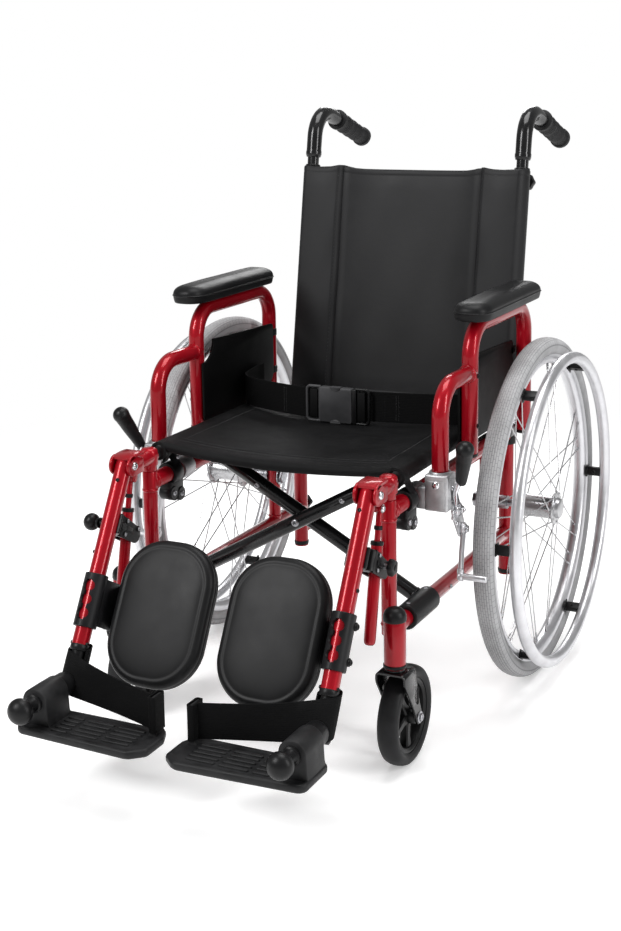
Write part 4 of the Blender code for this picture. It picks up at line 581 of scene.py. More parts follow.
def shift(x, y, z):
    return Matrix.Translation((x, y, z))


def turned(angle, axis):
    return Matrix.Rotation(radians(angle), 4, axis)


def at(x, y, z):
    """A matrix that moves to a place on the chair."""
    return Matrix.Translation(spot(x, y, z))


def along_x(x, y, z):
    """A matrix whose local Z points along X, away from the chair's middle."""
    return at(x, y, z) @ turned(90, "Y")


def frame_of(place, direction):
    """A matrix at a place whose local Z points in a direction."""
    return Matrix.Translation(place) @ Vector(direction).to_track_quat("Z", "Y").to_matrix().to_4x4()


def facing(x, y, z, *direction):
    return frame_of(spot(x, y, z), direction)


def weld(mesh, place, way, tube_radius, bead=0.0022):
    """A low bead of weld metal round a tube."""
    angles = (1.57, 0.8, 0, -0.8, -1.57)
    ring = [(tube_radius - 0.0008 + bead * cos(a), bead * 1.3 * sin(a)) for a in angles]
    lathe(mesh, ring, frame_of(place, way), 32)


# %% Screws, bolts and knobs
def rod(mesh, place, radius, low, high, steps):
    lathe(mesh, [(0, low), (radius, low), (radius, high), (0, high)], place, steps)


def button_head(mesh, place, radius, height=None):
    """A domed head with a socket in its middle; local Z of the place points out of the head."""
    shape = ((0, 0.42), (0.4, 0.42), (0.46, 0.96), (0.62, 1), (0.84, 0.82), (0.97, 0.48), (1, 0.2), (1, 0),
        (0, 0))
    lathe(mesh, [(radius * a, (height or radius * 0.62) * b) for a, b in shape], place, 20)


def hex_head(mesh, place, radius, height):
    plate(mesh, circle_points(radius, 6), height, place, min(radius * 0.14, height * 0.3))
    rod(mesh, place, radius * 1.25, 0, -radius * 0.16, 24)


def lobed_knob(mesh, place, radius, height, lobes=5, depth=0.16):
    """A hand knob: lobes round its edge, a rounded rim and a raised boss."""
    count = lobes * 10
    sections = []
    rows = ((0.6, 0), (0.92, 0.02), (1, 0.2), (1, 0.66), (0.96, 0.82), (0.86, 0.93), (0.64, 0.97))
    for share, rise in rows:
        ring = []
        for index in range(count):
            angle = 2 * pi * index / count
            reach = radius * share * (1 - depth * (0.5 - 0.5 * cos(lobes * angle)) ** 0.8)
            ring.append(place @ Vector((reach * cos(angle), reach * sin(angle), rise * height)))
        sections.append(ring)
    loft(mesh, sections)
    boss = ((0, 1.16), (0.26, 1.14), (0.34, 1.04), (0.36, 0.9))
    lathe(mesh, [(radius * a, height * b) for a, b in boss], place, 24)


def ball_profile(radius, tall, centre, steps):
    """The round of a ball from near its foot to its top."""
    ball = around((0, 0), 1, -90 + 540 / steps, 90, steps - 3)
    ball = [(radius * a, centre + tall * b) for a, b in ball]
    return ball[:-1] + [(0, ball[-1][1])]


print("tubes, screws and knobs ready")

# %% [markdown]
# ## Finishing a piece
# A finished mesh has its doubles merged and its faces turned outward, and is shaded smooth except at
# real edges. The twin for the other side is the same mesh with X mirrored, and its normals are turned
# right again. Each piece then rides on the body of the chair that carries it.


# %% Turn a mesh into a piece that rides
def settle(name, mesh, finish, body, slot, replaced=(), sharp=40, mirror=False, levels=0):
    if mirror:
        bmesh.ops.scale(mesh, vec=(-1, 1, 1), verts=mesh.verts)
    bmesh.ops.remove_doubles(mesh, verts=mesh.verts, dist=1e-6)
    bmesh.ops.recalc_face_normals(mesh, faces=mesh.faces)
    data = bpy.data.meshes.new(name)
    mesh.to_mesh(data)
    mesh.free()
    made = linked(name, data)
    data.materials.append(finish)
    data.shade_smooth()
    if sharp:
        data.set_sharp_from_angle(angle=radians(sharp))
    if levels:
        smooth = made.modifiers.new("smooth", "SUBSURF")
        smooth.levels = smooth.render_levels = levels
    if body:
        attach(made, body)
    if replaced:
        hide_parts(*replaced)
    return made


def both_sides(shape, name, finish, body, slot, replaced=(), **how):
    """Makes a piece from the left side's shape and its mirror image for the right."""
    pair = []
    for side, sign in SIDES:
        mesh = bmesh.new()
        shape(mesh)
        nodes = [f"{side}_{node}" for node in replaced]
        pair.append(settle(f"{side}_{name}", mesh, finish, f"{side}_{body}", slot, nodes, mirror=sign < 0,
            **how))
    print(name, "x2,", len(pair[0].data.polygons), "faces each")
    return pair


# %% [markdown]
# ## Rear wheels
# The wheel turns about the X axis through its hub, so nearly all of it is lathe work. The tyre is solid
# grey rubber with fine grooves round its middle and short notches on its shoulders, and the satin alloy rim
# is a hollow box with a rounded inner wall. The tyre stands on the floor with its own radius.

# %% Tyre
BEAD_RADIUS = 0.2795
TYRE_INNER = BEAD_RADIUS - 0.027
TYRE_HALF = 0.016
GROOVES = (-0.009, -0.0054, -0.0018, 0.0018, 0.0054, 0.009)
NOTCHES = 96


def tyre_shape(mesh):
    """A round tread with fine grooves round its middle, and short notches along both shoulders."""
    crown = []
    for index in range(45):
        a = radians(-86 + 172 * index / 44)
        across = TYRE_HALF * sin(a) * (1 if abs(sin(a)) < 0.98 else 0.995)
        down = 0.0125 * (1 - cos(a)) ** 1.25
        groove = max(0.0007 * exp(-(((across - line) / 0.0006) ** 2)) for line in GROOVES)
        crown.append((AXLE_Z - down - groove, across))
    low, foot = (TYRE_INNER, 0.0125), (AXLE_Z - 0.0175, TYRE_HALF - 0.0004)
    profile = [(low[0], -low[1]), (foot[0], -foot[1])] + crown + [foot, low, (low[0], -low[1])]
    lathe(mesh, profile, Matrix.Identity(4), 288)
    for vert in mesh.verts:
        reach = hypot(vert.co.x, vert.co.y)
        if reach < 0.2:
            continue
        turn = atan2(vert.co.y, vert.co.x) / (2 * pi) * NOTCHES
        notch = max(0.0, 1 - abs((turn % 1.0) - 0.5) * 9)
        shoulder = max(0.0, 1 - abs(abs(vert.co.z) - 0.0118) / 0.0034)
        vert.co.xy *= (reach - 0.0011 * notch * shoulder) / reach
    bmesh.ops.transform(mesh, matrix=along_x(WHEEL_X, 0, AXLE_Z), verts=mesh.verts)


both_sides(tyre_shape, "tyre_rubber", tyre_grey, "wheel", "grey_tyre", ["tyre"], sharp=0)

# %% Rim
RIM_OUTER = TYRE_INNER - 0.0003
RIM_INNER = RIM_OUTER - 0.016


def rim_shape(mesh):
    wall = [(RIM_OUTER - 0.0015, 0.01), (RIM_OUTER, 0.0112), (RIM_OUTER, 0.0122),
        (RIM_OUTER - 0.0015, 0.0128)]
    wall += [(RIM_OUTER - 0.0075, 0.012), (RIM_INNER + 0.0045, 0.0095), (RIM_INNER + 0.001, 0.006),
        (RIM_INNER, 0.002)]
    lathe(mesh, hoop_of(wall), along_x(WHEEL_X, 0, AXLE_Z), 160)


both_sides(rim_shape, "rim_alloy", silver, "wheel", "silver", ["rim"], sharp=35)

# %% [markdown]
# ### Hub and spokes
# Twenty-eight steel spokes leave two hub flanges at a slant and cross each other on their way to the
# rim, where each ends in a small nipple. They are made one at a time as slim tapered rods from the
# same rule, so their angles follow from the count. The barrel has a waist and a domed axle cap.

# %% Hub and spokes
SPOKES = 28
FLANGE_REACH = 0.03
FLANGE_RADIUS = 0.027
SPOKE_SWEEP = radians(62)
SPOKE_LAYER = 0.0016


def wheel_point(x, radius, angle):
    return spot(x, radius * cos(angle), AXLE_Z + radius * sin(angle))


def hub_shape(mesh):
    waist = [(0.0262, 0.0318), (0.027, 0.0308), (0.027, 0.0292), (0.0262, 0.0282)]
    waist += [(0.0205, 0.027), (0.0192, 0.023), (0.0186, 0.008)]
    barrel = [(0.007, -0.0365), (0.015, -0.0365), (0.0158, -0.035), (0.016, -0.0325)] + both_ends(waist)
    barrel += [(0.0172, 0.0326), (0.0168, 0.0345), (0.016, 0.038), (0.013, 0.0396), (0.008, 0.0402),
        (0, 0.0404)]
    lathe(mesh, barrel, along_x(WHEEL_X, 0, AXLE_Z), 48)
    pairs = SPOKES // 4
    step = 2 * pi / pairs
    for flange in (-1, 1):
        for index in range(pairs):
            for way in (1, -1):
                foot = (index + (0 if flange < 0 else 0.25) + (0 if way > 0 else 0.5)) * step
                x, layer = WHEEL_X + flange * FLANGE_REACH, way * SPOKE_LAYER
                start = wheel_point(x + layer, FLANGE_RADIUS - 0.004, foot)
                end = wheel_point(WHEEL_X + flange * 0.001 + layer, RIM_INNER + 0.0008,
                    foot + way * SPOKE_SWEEP)
                pipe(mesh, [start, start.lerp(end, 0.5), end], 0.0011, 6)
                pipe(mesh, [start.lerp(end, 0.945), end], [0.0018, 0.0022], 8)
                button = frame_of(start + Vector((way * 0.0012, 0, 0)), (way, 0, 0))
                lathe(mesh, [(0, 0.0012), (0.0014, 0.0009), (0.0021, 0), (0, 0)], button, 8)


both_sides(hub_shape, "hub_steel", hub_alloy, "wheel", "polished", ["hub"], sharp=45)

# %% [markdown]
# ### Handrim
# The handrim is a satin tube bent to a hoop, held off the rim by six short tabs with a domed screw head in
# each; tabs and heads are one black moulded piece. The hoop is a lathe of a small circle, and the tabs are
# bevelled blocks turned round the axle.

# %% Handrim
HANDRIM_RADIUS = 0.248
HANDRIM_X = 0.334
TABS = 6


def handrim_shape(mesh):
    hoop = [(HANDRIM_RADIUS + a, b) for a, b in circle_points(0.0095, 20)]
    lathe(mesh, hoop + hoop[:1], along_x(HANDRIM_X, 0, AXLE_Z), 200)


def handrim_tabs_shape(mesh):
    x, inner = WHEEL_X + 0.0123, RIM_INNER + 0.0042
    for index in range(TABS):
        part = bmesh.new()
        block(part, (x, -0.0075, inner), (HANDRIM_X - 0.006, 0.0075, inner + 0.0095), 0.0014)
        block(part, (x, -0.0095, inner - 0.0035), (x + 0.0027, 0.0095, inner + 0.011))
        dome = [(0, 0.0022), (0.0022, 0.0018), (0.0034, 0.0004), (0.0036, 0), (0, 0)]
        lathe(part, dome, shift(WHEEL_X + 0.026, 0, inner) @ turned(180, "X"), 12)
        merge_in(mesh, part, at(0, 0, AXLE_Z) @ turned(360 * (index + 0.5) / TABS, "X"))


both_sides(handrim_shape, "handrim_tube", silver, "wheel", "silver", ["handrim"])
both_sides(handrim_tabs_shape, "handrim_tabs", plastic, "wheel", "silver", sharp=35)

# %% [markdown]
# ## Casters
# The caster's solid black tyre has a rounded tread, and its moulded centre has a rim, a boss and five
# stout spokes with hollows between them.

# %% Caster tyre and centre
CASTER_RADIUS = 0.0735
CASTER_HALF = 0.016
CASTER_SPOKES = 5
CASTER_X, CASTER_Y, CASTER_Z = middle_of("left_caster_tyre")
CASTER_Y -= AXLE_Y


def caster_tyre_shape(mesh):
    r = CASTER_Z
    side = [(CASTER_RADIUS - 0.019, 0.0128), (r - 0.0165, 0.0136), (r - 0.015, 0.0151),
        (r - 0.0105, CASTER_HALF)]
    side += [(r - 0.006, 0.015), (r - 0.0025, 0.012), (r - 0.0006, 0.0072), (r, 0.0022)]
    lathe(mesh, hoop_of(side), along_x(CASTER_X, CASTER_Y, CASTER_Z), 96)


def caster_centre_shape(mesh):
    place = along_x(CASTER_X, CASTER_Y, CASTER_Z)
    outer = CASTER_RADIUS - 0.0195
    rim = [(outer, 0.0118), (outer - 0.003, 0.0122), (outer - 0.0065, 0.0098), (outer - 0.008, 0.003)]
    lathe(mesh, hoop_of(rim), place, 96)
    boss = [(0, 0.0185), (0.009, 0.0185), (0.0105, 0.017), (0.012, 0.009)]
    lathe(mesh, both_ends(boss), place, 36)
    arm = [(0.009, 0.0085, 0.0086), (0.02, 0.0058, 0.007), (0.034, 0.0052, 0.0066),
        (outer - 0.004, 0.009, 0.0082)]
    for index in range(CASTER_SPOKES):
        turn = place @ turned(360 * index / CASTER_SPOKES, "Z")
        sections = []
        for reach, wide, deep in arm:
            corner = [(wide, deep * 0.7), (wide * 0.7, deep), (-wide * 0.7, deep), (-wide, deep * 0.7)]
            corner += [(-a, -b) for a, b in corner]
            sections.append([turn @ Vector((reach, a, b)) for a, b in corner])
        loft(mesh, sections)


both_sides(caster_tyre_shape, "caster_rubber", rubber, "caster_wheel", "black_rubber", ["caster_tyre"])
both_sides(caster_centre_shape, "caster_centre", plastic, "caster_wheel", "black_plastic", ["caster_hub"],
    sharp=35)

# %% [markdown]
# ## Side frames
# Each side frame is welded from round tube: a slim front post, an upper and a lower rail, a rear post
# that bends into the cane of the back, a sleeve for the caster's stem and a short tube for the axle. The
# lower rail turns outward to the sleeve. Low weld beads lie where tubes meet, and black caps close ends.

# %% Side frame measures
TUBE = 0.0127
FRAME_X = 0.199
POST_Y, POST_RADIUS, POST_TOP = -0.412, 0.0113, 0.39
REAR_Y, REAR_LOW = 0.105, 0.118
UPPER_Z, LOWER_Z = 0.372, 0.192
STEM_X, STEM_Y = 0.226, -0.455
HOUSING_RADIUS, HOUSING_LOW, HOUSING_TOP = 0.016, 0.158, 0.23
AXLE_TUBE = 0.0108
STUB_Z, STUB_R = 0.15, 0.01
BEND_Z = 0.405
LEAN = radians(9.9)
CANE_TOP = 0.812
ARM_X = 0.24
ARM_TOP = 0.6035
ARM_FRONT, ARM_SECOND, ARM_REAR = -0.315, -0.19, 0.07
ARM_PIVOT = 0.395


def cane_spot(z, depth=0.0, x=FRAME_X):
    """A point on the leaning cane at a height, or behind it by a depth."""
    rise = max(z - BEND_Z, 0.0)
    return spot(x, REAR_Y + rise * tan(LEAN) + depth * cos(LEAN), z - depth * sin(LEAN))


# %% Side frame tubes
def side_frame_shape(mesh):
    x = FRAME_X
    low_rail = [spot(STEM_X - 0.005, STEM_Y + 0.01, LOWER_Z), spot(x, POST_Y + TUBE, LOWER_Z),
        spot(x, REAR_Y, LOWER_Z)]
    cane = [spot(x, REAR_Y, REAR_LOW), spot(x, REAR_Y, BEND_Z), cane_spot(CANE_TOP)]
    tubes = [([spot(x, POST_Y, LOWER_Z - 0.004), spot(x, POST_Y, POST_TOP)], POST_RADIUS, 32)]
    tubes.append(([spot(x, POST_Y + 0.002, UPPER_Z), spot(x, REAR_Y, UPPER_Z)], TUBE, 32))
    tubes += [(rounded(low_rail, 0.02), TUBE, 32), (rounded(cane, 0.08), TUBE, 32)]
    tubes.append(([spot(x, 0, LOWER_Z), spot(x, 0, UPPER_Z)], AXLE_TUBE, 28))
    tubes.append(([spot(STEM_X, STEM_Y, HOUSING_LOW), spot(STEM_X, STEM_Y, HOUSING_TOP)], HOUSING_RADIUS, 40))
    tubes.append(([spot(x, REAR_Y + 0.006, STUB_Z), spot(x, REAR_Y + 0.034, STUB_Z)], STUB_R, 24))
    for path, radius, count in tubes:
        soft_pipe(mesh, path, radius, count)
    for y, z, radius in ((POST_Y, UPPER_Z - 0.0118, POST_RADIUS), (0, LOWER_Z + 0.0122, AXLE_TUBE),
            (0, UPPER_Z - 0.0122, AXLE_TUBE), (POST_Y, LOWER_Z + 0.012, POST_RADIUS)):
        weld(mesh, spot(x, y, z), (0, 0, 1), radius)
    for y, z, radius in ((POST_Y + 0.0118, UPPER_Z, TUBE), (REAR_Y - TUBE, UPPER_Z, TUBE),
            (REAR_Y - TUBE, LOWER_Z, TUBE), (REAR_Y + TUBE, STUB_Z, STUB_R)):
        weld(mesh, spot(x, y, z), (0, 1, 0), radius)


both_sides(side_frame_shape, "frame_tubes", red, "frame", "red_paint", ["side_frame"], sharp=50)

# %% Caps, collars and clamps of the side frame
CLAMPS = (-0.35, 0.01)
CASTING_BOLTS = ((-0.36, UPPER_Z - 0.03), (-0.338, UPPER_Z - 0.036))
UPRIGHT = Matrix(((0, 0, 1, 0), (1, 0, 0, 0), (0, 1, 0, 0), (0, 0, 0, 1)))


def frame_black_shape(mesh):
    x = FRAME_X
    dome = [(0, 0.0178), (0.006, 0.0172), (0.011, 0.015), (0.0148, 0.0112), (0.0166, 0.0062), (0.017, 0.001)]
    dome += [(0.017, -0.001), (0.0163, -0.0022), (0, -0.0022)]
    lathe(mesh, dome, at(STEM_X, STEM_Y, HOUSING_TOP), 40)
    collar = [(0.0128, 0), (0.0164, 0), (0.017, -0.0012), (0.017, -0.004), (0.016, -0.0052),
        (0.0128, -0.0052)]
    lathe(mesh, collar + collar[:1], at(STEM_X, STEM_Y, HOUSING_LOW + 0.0062), 40)
    foot = [(0, -0.006), (0.0095, -0.006), (0.0125, -0.0044), (0.0135, -0.001), (0.0135, 0.003),
        (0.0128, 0.0036)]
    lathe(mesh, foot + [(0, 0.0036)], at(x, REAR_Y, REAR_LOW + 0.0062), 36)
    tip = [(0, 0), (0.0102, 0), (0.011, 0.001), (0.011, 0.006), (0.0098, 0.0086), (0, 0.0092)]
    lathe(mesh, tip, facing(x, REAR_Y + 0.0262, STUB_Z, 0, 1, 0), 28)
    # a clamp round the upper rail, and above it the cup for the seat rail
    cup = [(-0.0136, 0.4105)] + around((0, 0.414), 0.0114, 200, 340, 10)
    cup += [(0.0136, 0.4105), (0.0124, 0.386), (-0.0124, 0.386)]
    for y in CLAMPS:
        clamp = [(TUBE + 0.0002, 0.013), (TUBE + 0.004, 0.013), (TUBE + 0.0048, 0.0115)]
        lathe(mesh, hoop_of(clamp), facing(x, y, UPPER_Z, 0, 1, 0), 36)
        stood_plate(mesh, cup, 0.022, 0.001, at(x, y + 0.011, 0) @ turned(90, "X"))
    # the black casting under the front of the upper rail, with two bolted lobes
    r = 0.0115
    lobe = [(0, -0.001), (r - 0.0015, -0.001), (r, 0.0008), (r, 0.02), (r - 0.0015, 0.0218), (0, 0.0218)]
    for y, z in CASTING_BOLTS:
        lathe(mesh, lobe, facing(x - 0.011, y, z, 1, 0, 0), 28)
    block(mesh, spot(x - 0.0105, -0.369, UPPER_Z - 0.031), spot(x + 0.0105, -0.329, UPPER_Z - 0.01), 0.003, 3)
    block(mesh, spot(x - 0.0075, -0.352, UPPER_Z - 0.046), spot(x + 0.0075, -0.333, UPPER_Z - 0.026), 0.0025,
        3)
    for z in (0.366, 0.196):
        lobed_knob(mesh, facing(x, REAR_Y + TUBE - 0.0005, z, 0, 1, 0), 0.0135, 0.014)
    guard = [(TUBE + 0.0002, 0.014), (TUBE + 0.003, 0.014), (TUBE + 0.0036, 0.012)]
    lathe(mesh, hoop_of(guard), at(x, REAR_Y, 0.366), 36)


def frame_bright_shape(mesh):
    x = FRAME_X
    for y, z in CASTING_BOLTS:
        for side in (-1, 1):
            button_head(mesh, facing(x + side * 0.0108, y, z, side, 0, 0), 0.0048, 0.003)
    for y in CLAMPS:
        button_head(mesh, facing(x - 0.0128, y, 0.398, -1, 0, 0), 0.0036)
    button_head(mesh, facing(x + TUBE - 0.0004, -0.196, LOWER_Z, 1, 0, 0), 0.0038)
    # the axle: the receiver's nut on the inner side, the washer and the bare axle up to the hub
    hex_head(mesh, facing(x - 0.0135, 0, AXLE_Z, -1, 0, 0), 0.0125, 0.007)
    sleeve = [(0, 0), (0.0128, 0), (0.0135, 0.0008), (0.0135, 0.0046), (0.011, 0.0052), (0.011, 0.03),
        (0, 0.03)]
    lathe(mesh, sleeve, facing(x + 0.0088, 0, AXLE_Z, 1, 0, 0), 32)
    rod(mesh, facing(x, 0, AXLE_Z, 1, 0, 0), 0.0066, 0, 0.08, 24)
    # the pin on which the armrest flips
    cap = [(0, 0.0046), (0.005, 0.0045), (0.0078, 0.0034), (0.0086, 0.0016), (0.0086, 0), (0, 0)]
    lathe(mesh, cap, facing(ARM_X + TUBE + 0.0006, ARM_REAR, ARM_PIVOT, 1, 0, 0), 24)
    rod(mesh, facing(ARM_X - TUBE - 0.018, ARM_REAR, ARM_PIVOT, 1, 0, 0), 0.0078, 0, 0.018, 24)


def arm_lug_shape(mesh):
    y = ARM_REAR
    outline = [(y - 0.018, UPPER_Z), (y - 0.0165, ARM_PIVOT)] + around((y, ARM_PIVOT), 0.016, 170, 0, 10)
    stood_plate(mesh, outline + [(y + 0.018, UPPER_Z)], 0.016, 0.0014, at(FRAME_X + 0.005, 0, 0) @ UPRIGHT)


both_sides(frame_black_shape, "frame_fittings", plastic, "frame", "black_plastic")
both_sides(frame_bright_shape, "frame_screws", zinc, "frame", "silver")
both_sides(arm_lug_shape, "armrest_lug", black_gloss, "frame", "red_paint")

# %% [markdown]
# ## Armrests
# The armrest is one bent tube with a second, lower bow welded to its front post. It flips back about
# the pin at its rear post, and its front foot drops into the cast socket on the side frame.

# %% Armrest tubes
SOCKET_TOP = 0.412
BOW_Z = 0.535
ARM_BEND = 0.048


def armrest_tube_shape(mesh):
    x = ARM_X
    loop = [spot(x, ARM_SECOND, 0.404), spot(x, ARM_SECOND, ARM_TOP)]
    loop += [spot(x, ARM_REAR, ARM_TOP), spot(x, ARM_REAR, ARM_PIVOT - 0.01)]
    bow = [spot(x, ARM_SECOND + 0.002, BOW_Z), spot(x, ARM_FRONT, BOW_Z),
        spot(x, ARM_FRONT, SOCKET_TOP - 0.037)]
    for path in (loop, bow):
        soft_pipe(mesh, rounded(path, ARM_BEND, 14), TUBE, 36)
    weld(mesh, spot(x, ARM_SECOND - TUBE + 0.001, BOW_Z), (0, 1, 0), TUBE, 0.0026)


def armrest_fittings_shape(mesh):
    plug = [(0, -0.004), (0.01, -0.004), (0.0124, -0.0026), (0.0131, 0), (0.0131, 0.0024), (0, 0.0024)]
    lathe(mesh, plug, at(ARM_X, ARM_SECOND, 0.4065), 32)
    lathe(mesh, plug, at(ARM_X, ARM_REAR, ARM_PIVOT - 0.0085), 32)
    for y, z in ((ARM_SECOND + 0.0005, 0.452), (ARM_SECOND + 0.0005, 0.53), (ARM_REAR, 0.44),
            (ARM_REAR, 0.528)):
        button_head(mesh, facing(ARM_X + TUBE - 0.0006, y, z, 1, 0, 0), 0.004, 0.0022)


both_sides(armrest_tube_shape, "armrest_tube", red, "armrest", "red_paint", ["armrest_frame"], sharp=50)
both_sides(armrest_fittings_shape, "armrest_fittings", plastic, "armrest", "black_plastic")

# %% [markdown]
# ### Side panels
# A thin black board closes the armrest towards the wheel. Its front upper corner is scooped out, and a
# narrow rolled edge runs round it.

# %% Side panels
PANEL_LOW, PANEL_TOP, PANEL_FALL = 0.415, 0.552, 0.008
BOARD_BACK = ARM_REAR - 0.0165
BOARD_THICK = 0.0042


def panel_outline(inset):
    front, back = ARM_SECOND - 0.008 + inset, BOARD_BACK - inset
    low, top = PANEL_LOW + inset, PANEL_TOP - inset
    points = around((front + 0.01, low + 0.01), 0.01, 180, 270, 6)
    points += [(back - 0.034, low), (back - 0.026, low + 0.006), (back - 0.004, low + 0.032),
        (back, low + 0.042)]
    points += around((back - 0.008, top - PANEL_FALL - 0.008), 0.008, 0, 90, 5)
    return points + around((front - inset, top + inset * 0.2), 0.036 + inset * 0.4, 0, -90, 6)


def side_panel_shape(mesh):
    x = ARM_X - TUBE - 0.0003 - BOARD_THICK
    layers = [(0.0012, 0), (0.0003, 0.0004), (0, 0.0012), (0, 0.003), (0.0003, 0.0038), (0.0012, BOARD_THICK)]
    loft(mesh, [[spot(x + rise, y, z) for y, z in panel_outline(inset)] for inset, rise in layers])
    for z in (0.452, 0.52):
        block(mesh, spot(x + 0.0008, BOARD_BACK - 0.01, z), spot(x + BOARD_THICK, ARM_REAR - 0.002,
            z + 0.012), 0.0008)


both_sides(side_panel_shape, "side_board", board_black, "armrest", "black_plastic", ["side_panel"])

# %% [markdown]
# ## Armrest sockets and wheel locks
# The socket is a rough casting on the upper rail. A lock plate hangs beside it and holds two pivots. The
# bright lever bends from the upper pivot up to a tapered black grip, and the arm on the lower pivot
# carries a round bar that presses on the tyre. Both are made here with their bolts and washers.

# %% Socket casting and lock plate
SOCKET = 0.036
SOCKET_LOW = 0.354
LOCK_X = 0.2585
BOLT_X = LOCK_X + 0.0088
PIVOT_LEVER = (-0.3, 0.352)
PIVOT_SHOE = (-0.278, 0.316)


def link_outline(first, second, r1, r2, steps=8):
    """The outline of a strap with a round end about each of two points."""
    a, b = Vector(first), Vector(second)
    course = degrees(atan2(b.y - a.y, b.x - a.x))
    lean = degrees(asin((r1 - r2) / (b - a).length))
    points = around(first, r1, course + 90 - lean + 0.01, course + 270 + lean, steps)
    return points + around(second, r2, course - 90 + lean, course + 90 - lean, steps)


def upright_plate(mesh, outline, thickness, x, bevel):
    """Puts a flat outline drawn in (y, z) upright at a distance x, growing outward."""
    stood_plate(mesh, outline, thickness, bevel, at(x, 0, 0) @ UPRIGHT)


def socket_shape(mesh):
    half, y = SOCKET / 2, ARM_FRONT
    low, high = SOCKET_LOW, SOCKET_TOP
    inner, outer = ARM_X - half, ARM_X + half
    block(mesh, spot(inner, y - half, low), spot(outer, y + half, high - 0.003), 0.003, 3)
    rim = [(TUBE + 0.0006, 0), (TUBE + 0.0028, 0), (TUBE + 0.0036, -0.0012), (TUBE + 0.004, -0.006)]
    lathe(mesh, rim + [(TUBE + 0.0006, -0.006), rim[0]], at(ARM_X, y, high), 40)
    near = spot(FRAME_X + 0.0095, y - half + 0.002, low + 0.001)
    far = spot(inner + 0.002, y + half - 0.002, 0.388)
    block(mesh, near, far, 0.0024, 3)
    ring = [(TUBE + 0.0004, 0.015), (TUBE + 0.0034, 0.015), (TUBE + 0.0042, 0.0135)]
    lathe(mesh, hoop_of(ring), facing(FRAME_X, y, UPPER_Z, 0, 1, 0), 40)
    for face in (y - half, y + half):
        block(mesh, spot(inner + 0.004, face - 0.0012, low + 0.006), spot(outer - 0.004, face + 0.0012,
            high - 0.012), 0.0009)
    block(mesh, spot(outer - 0.001, y - 0.01, 0.372), spot(outer + 0.001, y + 0.012, 0.402), 0.0008)


def lock_plate_shape(mesh):
    upright_plate(mesh, link_outline(PIVOT_LEVER, PIVOT_SHOE, 0.016, 0.013, 12), 0.0035, LOCK_X - 0.0015,
        0.0006)
    for centre, r in ((PIVOT_LEVER, 0.0085), (PIVOT_SHOE, 0.0075)):
        washer = [(0, 0), (r, 0), (r, 0.001), (r - 0.0006, 0.0014), (0, 0.0014)]
        lathe(mesh, washer, facing(LOCK_X + 0.007, *centre, 1, 0, 0), 28)
    block(mesh, spot(LOCK_X - 0.002, -0.314, 0.338), spot(LOCK_X + 0.0026, -0.29, 0.344), 0.0008)


def lock_bolts_shape(mesh):
    hex_head(mesh, facing(BOLT_X, *PIVOT_LEVER, 1, 0, 0), 0.006, 0.0036)
    hex_head(mesh, facing(BOLT_X, *PIVOT_SHOE, 1, 0, 0), 0.0056, 0.0034)
    end = [(0, 0), (0.003, 0), (0.003, 0.0058), (0.0024, 0.0064), (0, 0.0064)]
    lathe(mesh, end, facing(BOLT_X, *PIVOT_LEVER, 1, 0, 0), 16)
    rivet = [(0, 0.0022), (0.003, 0.002), (0.0052, 0.0013), (0.006, 0.0002), (0.006, -0.0006), (0, -0.0006)]
    lathe(mesh, rivet, facing(ARM_X, ARM_FRONT - SOCKET / 2 - 0.0008, 0.394, 0, -1, 0), 28)
    for y, z in ((-0.3155, 0.352), (-0.3, 0.33)):
        button_head(mesh, facing(LOCK_X + 0.0019, y, z, 1, 0, 0), 0.0038, 0.0024)
    button_head(mesh, facing(ARM_X + SOCKET / 2 + 0.0008, ARM_FRONT + 0.001, 0.387, 1, 0, 0), 0.0042, 0.0024)


both_sides(socket_shape, "socket_casting", cast, "frame", "cast_grey", ["arm_socket"])
both_sides(lock_plate_shape, "lock_plate", silver, "frame", "cast_grey")
both_sides(lock_bolts_shape, "lock_bolts", polished, "frame", "cast_grey")

# %% Lever, its grip and the shoe
GRIP_LOW, GRIP_HIGH = spot(0.274, -0.318, 0.402), spot(0.292, -0.35, 0.462)
LEVER_HALF = 0.00225
LEVER_X = LOCK_X + 0.0024 + LEVER_HALF
SHOE_Z, SHOE_R = 0.246, 0.005
SHOE_Y = -sqrt(BEAD_RADIUS**2 - (AXLE_Z - SHOE_Z) ** 2) - 0.0095 - 0.0045


def flattened(mesh, path, widths, thickness):
    """A bar of rounded oblong section along a path in one upright plane."""
    rim = [(fuller(a, 0.55), fuller(b, 0.55)) for a, b in circle_points(1, 12)]
    sections = []
    for index, point in enumerate(path):
        way = way_at(path, index).normalized()
        over = way.cross(Vector((1, 0, 0))).normalized()
        out = over.cross(way).normalized()
        wide, thick = widths[index] / 2, thickness[index] / 2
        sections.append([point + over * wide * a + out * thick * b for a, b in rim])
    loft(mesh, sections)


def eye_ring(mesh, eye, radius):
    half = LEVER_HALF
    lathe(mesh, hoop_of([(0.0044, half), (radius - 0.0007, half), (radius, 0.0016)]),
        frame_of(eye, (1, 0, 0)), 36)


def lever_shape(mesh):
    eye = spot(LEVER_X, *PIVOT_LEVER)
    eye_ring(mesh, eye, 0.0105)
    knee = spot(LEVER_X + 0.0004, -0.315, 0.38)
    path = rounded([eye + (knee - eye).normalized() * 0.0085, knee, GRIP_LOW.lerp(GRIP_HIGH, 0.25)], 0.014,
        10)
    path = resampled(path, 0.0022)
    shares = [min(i / (len(path) - 1) * 2.2, 1.0) for i in range(len(path))]
    flattened(mesh, path, [0.015 - 0.007 * share for share in shares],
        [0.0045 + 0.0034 * share for share in shares])


